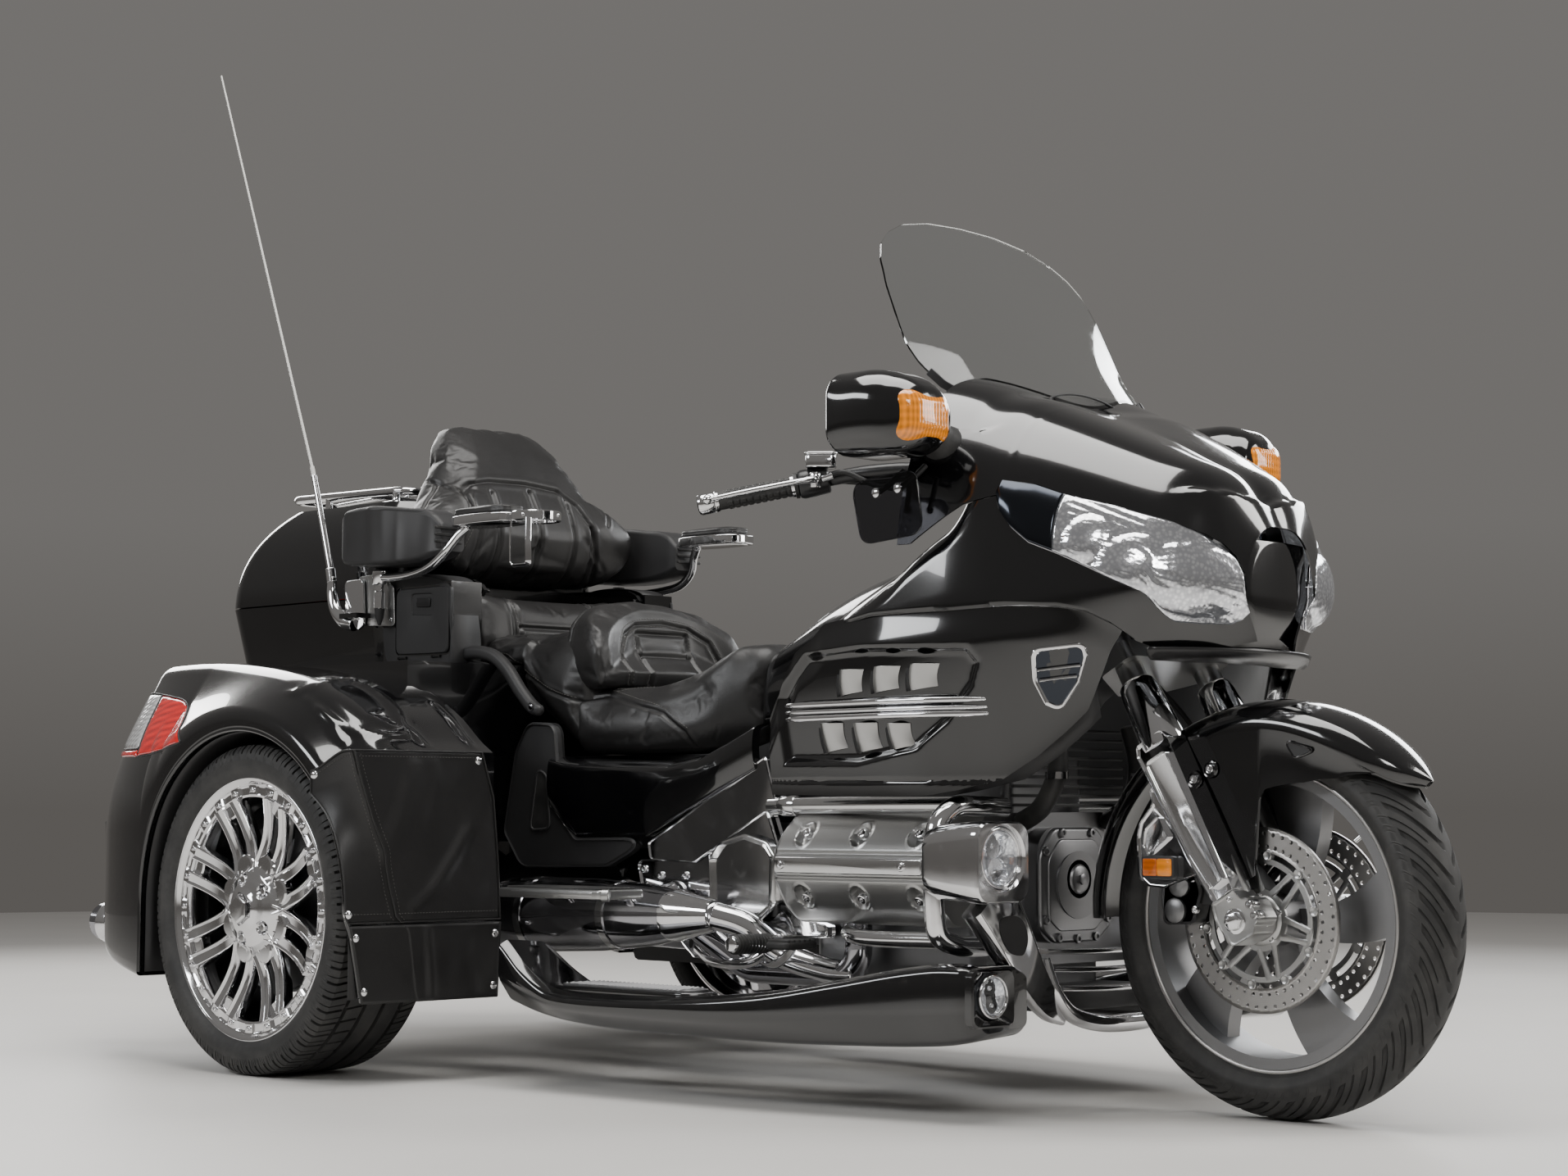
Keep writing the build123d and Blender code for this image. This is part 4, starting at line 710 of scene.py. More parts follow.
@dataclass(frozen=True)
class Plate(Finish):
    """Bright plating or bare metal, with smears and dust."""

    colour: tuple[float, float, float] = (0.80, 0.80, 0.81)
    roughness: float = 0.045
    grain: float = 0.0
    dust: float = 0.75

    def mix(self, sheet: Sheet) -> bpy.types.Material:
        """Work out the material's nodes."""
        dust = road_dust(sheet, self.dust)
        smear = sheet.noise(11, 5, rough=0.65)
        cast = sheet.noise(650, 3)
        return sheet.surface({
            "Base Color": sheet.mixed(dust, self.colour, (0.30, 0.285, 0.26)),
            "Metallic": 1.0 - dust * 0.55,
            "Roughness": self.roughness + smear * 0.06 + dust * 0.35,
            "Normal": sheet.bump(cast, 0.012 + self.grain, 0.0004)})


@dataclass(frozen=True)
class Turned(Finish):
    """Steel with fine rings about an axle that runs along Y, as a brake disc has."""

    centre: tuple[float, float] = (0.0, 0.0)

    def mix(self, sheet: Sheet) -> bpy.types.Material:
        """Work out the material's nodes."""
        x = sheet.axis("X") - (self.centre[0] - MID_X) / 1000
        z = sheet.axis("Z") - self.centre[1] / 1000
        radius = (x * x + z * z) ** 0.5
        rings = ((radius * 5200).sine() + (radius * 3100).sine()) * 0.25 + 0.5
        wear = sheet.noise(30, 4)
        return sheet.surface({
            "Base Color": sheet.mixed(rings * 0.35 + wear * 0.3, (0.52, 0.51, 0.5), (0.30, 0.29, 0.28)),
            "Metallic": 1.0, "Roughness": 0.24 + rings * 0.1 + wear * 0.1,
            "Normal": sheet.bump(rings, 0.06, 0.0002)})


@dataclass(frozen=True)
class Leather(Finish):
    """Pebbled leather with creases and polished high spots."""

    colour: tuple[float, float, float] = (0.0075, 0.0073, 0.0075)
    roughness: float = 0.36
    pebble: float = 620.0

    def mix(self, sheet: Sheet) -> bpy.types.Material:
        """Work out the material's nodes."""
        pebble = sheet.cells(self.pebble, "SMOOTH_F1")
        crease = sheet.cells(75, "DISTANCE_TO_EDGE", sheet.coordinates()).between(0.0, 0.12)
        worn = sheet.noise(7, 5, rough=0.6)
        dust = road_dust(sheet, 0.25, 1.3)
        height = pebble * 0.6 + crease * 0.16 + worn * 0.9
        return sheet.surface({
            "Base Color": sheet.mixed(worn * 0.4 + dust * 0.5, self.colour, (0.034, 0.032, 0.031)),
            "Roughness": self.roughness + worn * 0.16 - crease * 0.03 + dust * 0.3,
            "Specular IOR Level": 0.5, "Normal": sheet.bump(height, 0.22, 0.0009)})


class Pane(Enum):
    """Kinds of see-through pane."""

    CLEAR = "clear"
    SMOKED = "smoked"
    LAMP = "lamp"


@dataclass(frozen=True)
class Glass(Finish):
    """Clear, smoked or lamp-cover pane, with fine scratches."""

    pane: Pane = Pane.CLEAR

    def mix(self, sheet: Sheet) -> bpy.types.Material:
        """Work out the material's nodes."""
        tint = {Pane.CLEAR: (0.93, 0.95, 0.95), Pane.SMOKED: (0.10, 0.10, 0.11), Pane.LAMP: (0.98, 0.99, 1.0)}
        wiped = sheet.noise(16, 6, sheet.stretched((1, 1, 0.35)), 0.7).between(0.5, 0.8)
        scratch = sheet.noise(260, 3, sheet.stretched((1, 0.12, 1.4)), 0.6).between(0.62, 0.78)
        haze = 0.30 if self.pane is Pane.CLEAR else 0.05
        return sheet.surface({
            "Base Color": tint[self.pane], "Roughness": 0.01 + (wiped * 0.45 + scratch * 0.5) * haze,
            "IOR": 1.42 if self.pane is Pane.LAMP else 1.3, "Transmission Weight": 1.0,
            "Specular IOR Level": 0.2 if self.pane is Pane.CLEAR else 0.6})


@dataclass(frozen=True)
class Lens(Finish):
    """Coloured lamp plastic with moulded ribs inside, given a faint painted glow that makes its colour look
    vivid.
    """

    colour: tuple[float, float, float] = (1.0, 0.30, 0.01)
    # strength of the painted glow: emission that makes the lens colour look vivid
    painted_glow: float = 0.25
    ribs: float = 900.0

    def mix(self, sheet: Sheet) -> bpy.types.Material:
        """Work out the material's nodes."""
        across = (sheet.axis("Y") * self.ribs).sine() * 0.5 + 0.5
        up = (sheet.axis("Z") * self.ribs * 0.55).sine() * 0.5 + 0.5
        blocks = across * 0.6 + up * 0.4
        cloud = sheet.noise(55, 3)
        deep = tuple(c * 0.35 for c in self.colour)
        colour = sheet.mixed(blocks * 0.7 + cloud * 0.3, deep, self.colour)
        # Emission here is a painted glow on the lens
        return sheet.surface({"Base Color": colour, "Roughness": 0.07 + cloud * 0.05, "Coat Weight": 1.0,
                              "Coat Roughness": 0.03, "Emission Color": colour,
                              "Emission Strength": self.painted_glow, "Normal": sheet.bump(blocks, 0.25, 0.002)})


@dataclass(frozen=True)
class Rubber(Finish):
    """Tyre or grip rubber, greyed by dust."""

    colour: tuple[float, float, float] = (0.016, 0.016, 0.016)
    roughness: float = 0.62

    def mix(self, sheet: Sheet) -> bpy.types.Material:
        """Work out the material's nodes."""
        cloud = sheet.noise(16, 6, rough=0.65)
        grit = sheet.noise(900, 2)
        return sheet.surface({
            "Base Color": sheet.mixed(cloud.between(0.35, 0.8) * 0.55, self.colour, (0.075, 0.072, 0.068)),
            "Roughness": self.roughness + cloud * 0.2 - 0.08, "Normal": sheet.bump(grit, 0.10, 0.0004)})


@dataclass(frozen=True)
class Reflector(Finish):
    """Vapour-plated lamp reflector with a faint painted glow."""

    def mix(self, sheet: Sheet) -> bpy.types.Material:
        """Work out the material's nodes."""
        facets = sheet.cells(150)
        tone = sheet.mixed(facets.between(0.1, 0.7), (0.95, 0.96, 0.98), (0.62, 0.63, 0.66))
        # Emission here is a painted glow: the reflector itself is no lamp
        return sheet.surface({"Base Color": tone, "Metallic": 1.0, "Roughness": 0.10 + facets * 0.06,
                              "Emission Color": tone, "Emission Strength": 0.10,
                              "Normal": sheet.bump(facets, 0.10, 0.002)})


@dataclass(frozen=True)
class StudioFloor(Finish):
    """Pale smooth floor."""

    def mix(self, sheet: Sheet) -> bpy.types.Material:
        """Work out the material's nodes."""
        cloud = sheet.noise(1.1, 5, rough=0.6)
        return sheet.surface({"Base Color": sheet.mixed(cloud, (0.60, 0.585, 0.565), (0.70, 0.685, 0.66)),
                              "Roughness": 0.42 + cloud * 0.16, "Specular IOR Level": 0.35})


FRONT_AXLE = (1795.0, 0.0, 319.5)

GLOSS = Paint("gloss black paint", "gloss_black_paint")
SATIN = Plastic("satin black paint", "satin_black_paint", (0.008, 0.008, 0.009), 0.32, 0.06)
PALE = Plastic("pale glass fibre", "satin_silver", (0.62, 0.61, 0.58), 0.35, 0.05)
MATTE = Plastic("grained black plastic", "matte_black_plastic", (0.014, 0.014, 0.015), 0.52, 0.22)
CHROME = Plate("bright plating", "chrome_plate")
DUSTY_CHROME = Plate("speckled bright plating", "chrome_plate", (0.72, 0.72, 0.72), 0.10, 0.02, 1.6)
DARK_CHROME = Plate("dark bright plating", "chrome_plate", (0.36, 0.36, 0.38), 0.07)
SILVER = Plate("satin silver metal", "satin_silver", (0.46, 0.46, 0.455), 0.30, 0.05, 0.5)
CAST = Plate("painted grey casting", "cast_grey", (0.24, 0.24, 0.245), 0.36, 0.10, 0.6)
DISC = Turned("turned steel", "brushed_disc", (FRONT_AXLE[0], FRONT_AXLE[2]))
LEATHER = Leather("black leather", "black_leather")
THREAD = Plastic("sewing thread", "black_leather", (0.10, 0.097, 0.09), 0.6, 0.05)
CLEAR = Glass("clear screen", "clear_screen", Pane.CLEAR)
SMOKED = Glass("smoked screen", "smoked_screen", Pane.SMOKED)
LAMP_GLASS = Glass("lamp glass", "headlamp_glass", Pane.LAMP)
# Lens finishes: colour, strength of the painted glow, rib spacing
AMBER = Lens("amber lens", "amber_lens")
AMBER_DARK = Lens("dark amber lens", "amber_lens", (0.62, 0.13, 0.004), 0.12, 1500.0)
RED = Lens("red lens", "red_lens", (0.75, 0.012, 0.010), 0.22, 700.0)
FROSTED = Lens("frosted lens", "headlamp_glass", (0.62, 0.62, 0.62), 0.05, 1100.0)
TYRE = Rubber("tyre rubber", "tyre_rubber")
GRIP = Rubber("grip rubber", "grip_rubber", (0.011, 0.011, 0.011), 0.55)
REFLECTOR = Reflector("lamp reflector", "headlamp_glass")
LAMP_DARK = Plate("dark lamp well", "headlamp_glass", (0.045, 0.05, 0.06), 0.12, 0.0, 0.1)
FLOOR = StudioFloor("studio floor", "matte_black_plastic")

NODE_FINISH: dict[str, Finish] = {"main_frame": SATIN, "rear_axle": SATIN, "engine": CAST,
                                  "cylinder_heads": SILVER, "engine_guards": CHROME, "lower_cowl": CHROME,
                                  "driving_lamps": LAMP_GLASS, "running_boards": GLOSS,
                                  "exhausts": DARK_CHROME, "fairing_cowl": GLOSS, "fairing_sides": GLOSS,
                                  "vent_trims": CHROME, "headlamps": LAMP_GLASS, "dashboard": MATTE,
                                  "windshield": CLEAR, "mirrors": GLOSS, "signal_lenses": AMBER,
                                  "wind_deflectors": SMOKED, "top_shelter": GLOSS, "seat": LEATHER,
                                  "grab_rails": MATTE, "side_covers": GLOSS, "frame_covers": CHROME,
                                  "foot_controls": CHROME, "passenger_boards": SILVER, "trunk_body": GLOSS,
                                  "rear_tub": GLOSS, "fenders": GLOSS, "fender_covers": LEATHER,
                                  "tail_lamps": RED, "antenna": CHROME, "fork": SILVER, "fork_covers": CHROME,
                                  "front_fender": GLOSS, "brake_calipers": SATIN, "handlebar": SATIN,
                                  "grips": GRIP, "front_rim": CAST, "front_tyre": TYRE, "brake_discs": DISC,
                                  "rear_rim_right": CHROME, "rear_tyre_right": TYRE, "rear_rim_left": CHROME,
                                  "rear_tyre_left": TYRE, "trunk_lid": GLOSS, "passenger_backrest": LEATHER,
                                  "speaker_pods": MATTE, "luggage_rack": CHROME, "armrest_right": CHROME,
                                  "armrest_left": CHROME, "pocket_door_right": MATTE,
                                  "pocket_door_left": MATTE, "rear_hatch": GLOSS,}


# Pieces

@dataclass
class Bench:
    """Makes Blender pieces from shapes and hangs them on the frame's bodies."""

    frame: dict[str, object]
    triangles: int = 0

    def piece(self, name: str, shape: Shape, finish: Finish, body: str = "chassis", *, wall: float = 0.0,
              bevel: float = 0.0, replaces: Sequence[str] = (), sharp: float = 40.0,
              merge: bool = True) -> bpy.types.Object:
        """Make one piece, with its faces turned to point out.

        Args:
            name: the piece's name.
            shape: its points and faces in millimetres.
            finish: its surface.
            body: the body that carries it.
            wall: thickness given inwards to an open sheet.
            bevel: radius of the edges left sharp.
            replaces: CAD nodes that it stands for.
            sharp: angle above which an edge stays sharp, in degrees.
            merge: whether points that fall together are joined.

        Returns:
            The object, at the origin.
        """
        points = (shape.points - [MID_X, 0, 0]) / 1000
        mesh = bpy.data.meshes.new(name)
        mesh.from_pydata(points.tolist(), [], shape.faces)
        work = bmesh.new()
        work.from_mesh(mesh)
        if merge:
            bmesh.ops.remove_doubles(work, verts=work.verts, dist=2e-5)
        bmesh.ops.recalc_face_normals(work, faces=work.faces)
        work.to_mesh(mesh)
        work.free()
        mesh.polygons.foreach_set("use_smooth", np.ones(len(mesh.polygons), bool))
        mesh.set_sharp_from_angle(angle=math.radians(sharp))
        mesh.materials.append(finish.material())
        made = bpy.data.objects.new(name, mesh)
        bpy.context.scene.collection.objects.link(made)
        if wall:
            solid = made.modifiers.new("wall", "SOLIDIFY")
            solid.thickness, solid.offset, solid.use_even_offset = wall / 1000, -1.0, False
        if bevel:
            edge = made.modifiers.new("edge", "BEVEL")
            edge.width, edge.segments, edge.limit_method = bevel / 1000, 2, "ANGLE"
            edge.angle_limit, edge.harden_normals = math.radians(38), False
            made.modifiers.new("normals", "WEIGHTED_NORMAL").keep_sharp = False
        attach(made, body)
        if replaces:
            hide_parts(*replaces)
        self.triangles += len(mesh.polygons) * 2
        log.info("%s: %d faces on %s", name, len(mesh.polygons), body)
        return made

    def dress_nodes(self) -> None:
        """Give every carried CAD node its finish."""
        for name, node in self.frame["nodes"].items():
            node.data.materials.clear()
            node.data.materials.append(NODE_FINISH[name].material())


@dataclass
class Studio:
    """Pale floor, soft light panels and the camera."""

    eye: tuple[float, float, float] = (4.41601632 - 0.64725, -3.78634937, 0.49368895)
    right: tuple[float, float, float] = (0.70974682, 0.70445660, 0.00059384)
    up: tuple[float, float, float] = (0.05525056, -0.05650581, 0.99687234)
    ahead: tuple[float, float, float] = (-0.70228686, 0.70749416, 0.07902644)
    focal_pixels: float = 3417.687
    frame_width: float = 1913.0
    floor_radius: float = 9.0
    # centre, point aimed at, width, height, watts, colour
    panels: tuple[tuple, ...] = (
        ((0.6, -0.6, 4.2), (0.2, 0.0, 0.5), 3.6, 2.2, 190, (1.0, 0.985, 0.96)),
        ((3.6, 2.6, 2.6), (0.6, 0.0, 0.7), 1.2, 2.6, 95, (1.0, 0.98, 0.95)),
        ((-1.4, -4.4, 2.9), (-0.3, 0.0, 0.5), 3.0, 1.0, 105, (0.96, 0.98, 1.0)),
        ((-4.2, 0.8, 2.6), (-0.8, 0.0, 0.6), 1.4, 2.4, 90, (1.0, 0.99, 0.97)),
        ((0.2, 4.4, 2.7), (0.2, 0.0, 0.6), 3.4, 1.0, 110, (0.97, 0.985, 1.0)),
        ((4.6, -2.6, 3.0), (1.0, 0.0, 0.6), 1.1, 1.1, 60, (1.0, 0.99, 0.97)),
    )

    def build(self) -> None:
        """Make the floor, the light and the camera."""
        steps = 128
        t = np.arange(steps) * 2 * math.pi / steps
        rim = np.stack([np.cos(t), np.sin(t), np.zeros(steps)], 1) * self.floor_radius
        mesh = bpy.data.meshes.new("studio_floor")
        mesh.from_pydata(rim.tolist(), [], [tuple(range(steps))])
        mesh.materials.append(FLOOR.material())
        floor = bpy.data.objects.new("studio_floor", mesh)
        bpy.context.scene.collection.objects.link(floor)
        for number, (centre, aim, width, height, watts, colour) in enumerate(self.panels):
            light = bpy.data.lights.new(f"panel_{number}", "AREA")
            light.shape, light.size, light.size_y = "RECTANGLE", width, height
            light.energy, light.color = watts, colour
            lamp = bpy.data.objects.new(f"panel_{number}", light)
            back = np.array(centre) - np.array(aim)
            back /= np.linalg.norm(back)
            side = np.cross([0, 0, 1], back)
            side /= np.linalg.norm(side)
            turn = np.eye(4)
            turn[:3, 0], turn[:3, 1], turn[:3, 2], turn[:3, 3] = side, np.cross(back, side), back, centre
            lamp.matrix_world = Matrix(turn.tolist())
            bpy.context.scene.collection.objects.link(lamp)
        self.backdrop()
        lens = bpy.data.cameras.new("camera")
        lens.sensor_width, lens.sensor_fit = 36.0, "HORIZONTAL"
        lens.lens = self.focal_pixels / self.frame_width * 36.0
        camera = bpy.data.objects.new("camera", lens)
        place = np.eye(4)
        place[:3, 0], place[:3, 1] = self.right, self.up
        place[:3, 2], place[:3, 3] = -np.array(self.ahead), self.eye
        camera.matrix_world = Matrix(place.tolist())
        bpy.context.scene.collection.objects.link(camera)
        bpy.context.scene.camera = camera

    def backdrop(self) -> None:
        """Grey room light that is a little brighter overhead and darker at the floor line."""
        world = bpy.data.worlds.new("room")
        bpy.context.scene.world = world
        world.use_nodes = True
        tree = world.node_tree
        tree.nodes.clear()
        where = tree.nodes.new("ShaderNodeTexCoord")
        parts = tree.nodes.new("ShaderNodeSeparateXYZ")
        ramp = tree.nodes.new("ShaderNodeValToRGB")
        light = tree.nodes.new("ShaderNodeBackground")
        out = tree.nodes.new("ShaderNodeOutputWorld")
        stops = ((0.0, (0.11, 0.103, 0.096, 1)), (0.1, (0.165, 0.158, 0.15, 1)),
                 (0.5, (0.185, 0.178, 0.171, 1)))
        ramp.color_ramp.elements.new(0.5)
        for element, (position, colour) in zip(ramp.color_ramp.elements, stops):
            element.position, element.color = position, colour
        tree.links.new(where.outputs["Generated"], parts.inputs[0])
        tree.links.new(parts.outputs["Z"], ramp.inputs[0])
        tree.links.new(ramp.outputs[0], light.inputs[0])
        tree.links.new(light.outputs[0], out.inputs[0])


# Fairing

@dataclass
class FairingForm:
    """Outer surface of the fairing, right-hand half.

    A point is given by u, which runs back from the nose through the stations, and by tau, which climbs the
    section from its low edge (0) over the widest line (1) and the shoulder (2) to the crown's middle (3).
    Along u every size is a blended curve; up the section it is a cubic through the four points.
    """

    # x, then half-width and height of the low edge, the widest line and the shoulder, and the crown's height
    rows: tuple[tuple[float, ...], ...] = (
        (1794, 42, 768, 66, 850, 40, 915, 930), (1742, 112, 748, 196, 856, 112, 1012, 1028),
        (1650, 236, 690, 292, 850, 190, 1058, 1082), (1480, 340, 540, 388, 850, 262, 1136, 1160),
        (1290, 404, 516, 430, 820, 300, 1212, 1236), (1030, 404, 516, 426, 790, 318, 1230, 1250))

    def point(self, u: Array, tau: Array) -> Array:
        """Points of the surface at matching arrays of u and tau, in an array with one more axis."""
        shape = np.shape(tau)
        u, tau = np.ravel(u), np.ravel(tau)
        x, low, z_low, wide, z_wide, top, z_top, z_crown = blend_curve(range(len(self.rows)), self.rows, u).T
        knots = np.stack([np.stack([low, z_low], 1), np.stack([wide, z_wide], 1),
                          np.stack([top, z_top], 1), np.stack([0 * top, z_crown], 1)], 1)
        chord = np.diff(knots, axis=1)
        length = np.linalg.norm(chord, axis=2) + 1e-9
        unit = chord / length[..., None]
        mean = [(unit[:, k] + unit[:, k + 1]) / 2 for k in (0, 1)]
        slopes = np.stack([unit[:, 0] * 0.6 + [0.0, 0.4]]
                          + [m / np.linalg.norm(m, axis=1)[:, None] for m in mean]
                          + [np.tile([-1.0, 0.0], (len(u), 1))], 1)
        i = np.clip(tau.astype(int), 0, 2)
        s = (tau - i)[:, None]
        n = np.arange(len(u))
        h = length[n, i][:, None]
        q = ((1 + 2 * s) * (1 - s) ** 2 * knots[n, i] + s * (1 - s) ** 2 * h * slopes[n, i]
             + s * s * (3 - 2 * s) * knots[n, i + 1] + s * s * (s - 1) * h * slopes[n, i + 1])
        return np.stack([x, -q[:, 0], q[:, 1]], 1).reshape(*shape, 3)

    def u_at(self, x: Array) -> Array:
        """u of the section at each x, by halving."""
        low, high = np.zeros(x.shape), np.full(x.shape, len(self.rows) - 1.0)
        for _ in range(30):
            mid = (low + high) / 2
            ahead = blend_curve(range(len(self.rows)), self.rows, mid)[:, 0].reshape(x.shape) > x
            low, high = np.where(ahead, mid, low), np.where(ahead, high, mid)
        return (low + high) / 2

    def tau_at(self, u: Array, z: Array) -> Array:
        """tau at each height on the section at each u, by halving."""
        low, high = np.zeros(z.shape), np.full(z.shape, 3.0)
        for _ in range(26):
            mid = (low + high) / 2
            under = self.point(u, mid)[..., 2] < z
            low, high = np.where(under, mid, low), np.where(under, high, mid)
        return (low + high) / 2

    def side(self, x: Array, z: Array) -> Array:
        """Points of the surface seen at (x, z) from the right."""
        u = self.u_at(x)
        return self.point(u, self.tau_at(u, z))

    def normal(self, u: Array, tau: Array) -> Array:
        """Outward directions at matching arrays of u and tau."""
        du = self.point(np.clip(u + 0.01, 0, 5), tau) - self.point(np.clip(u - 0.01, 0, 5), tau)
        dt = self.point(u, np.clip(tau + 0.01, 0, 3)) - self.point(u, np.clip(tau - 0.01, 0, 3))
        n = np.cross(du, dt)
        return n / (np.linalg.norm(n, axis=-1)[..., None] + 1e-12)


FORM = FairingForm()

# Lines of the fairing in the side view, as (x, z)
CREASE = ((1030, 640), (1100, 750), (1139, 770), (1168, 796), (1281, 811), (1424, 814), (1521, 819),
          (1596, 815), (1632, 806), (1657, 788), (1676, 764), (1690, 754), (1731, 751), (1794, 751))
SHOULDER = ((1030, 645), (1100, 753), (1139, 774), (1166, 812), (1230, 851), (1319, 895), (1355, 925),
            (1411, 967), (1440, 988), (1491, 1001), (1502, 973), (1521, 948), (1550, 922), (1592, 903),
            (1633, 881), (1671, 859), (1703, 841), (1711, 829), (1715, 808), (1722, 795), (1744, 793),
            (1768, 793), (1778, 800), (1786, 812))
LOWER_EDGE = ((1030, 520), (1219, 516), (1371, 517), (1420, 526), (1489, 544), (1538, 579), (1580, 620),
              (1608, 652), (1627, 699), (1648, 747), (1664, 778), (1670, 782))
LAMP_TOP = ((1491, 1004), (1496, 1023), (1545, 1014), (1584, 998), (1655, 977), (1726, 950), (1753, 932),
            (1766, 916), (1777, 894), (1783, 868), (1786, 815))
RECESS = ((1048, 690), (1120, 760), (1256, 768), (1462, 762), (1482, 732), (1466, 690), (1420, 632),
          (1359, 586), (1235, 565), (1060, 566))


def along(line: Sequence[Sequence[float]], x: Array) -> Array:
    """Heights of a side-view line at each x."""
    p = np.asarray(line, float)
    return np.interp(x, p[:, 0], p[:, 1])


def inside_by(outline: Sequence[Sequence[float]], x: Array, z: Array) -> Array:
    """Distance inside a closed outline; negative outside.

    The size is the distance to the nearest side, and the sign comes from counting crossings.
    """
    p = np.asarray(outline, float)
    q = np.roll(p, -1, 0)
    best, inside = np.full(x.shape, 1e9), np.zeros(x.shape, bool)
    for (ax, az), (bx, bz) in zip(p, q):
        dx, dz = bx - ax, bz - az
        t = np.clip(((x - ax) * dx + (z - az) * dz) / (dx * dx + dz * dz), 0, 1)
        best = np.minimum(best, np.hypot(x - ax - t * dx, z - az - t * dz))
        cross = (az > z) != (bz > z)
        inside ^= cross & (x < ax + (z - az) * dx / (dz if dz else 1e-9))
    return np.where(inside, best, -best)


def patch_between(low: Sequence[Sequence[float]], high: Sequence[Sequence[float]], x_rear: float,
                  x_front: float, columns: int, rows: int) -> tuple[Array, Array]:
    """Grid of (x, z) between two side-view lines.

    Columns are shared by (1 - cos) so that they crowd at both ends, and rows are shared evenly.

    Returns:
        x and z, each columns by rows.
    """
    s = (1 - np.cos(np.linspace(0, math.pi, columns))) / 2
    x = x_rear + s * (x_front - x_rear)
    t = np.linspace(0, 1, rows)
    z = along(low, x)[:, None] * (1 - t) + along(high, x)[:, None] * t
    return np.broadcast_to(x[:, None], z.shape), z


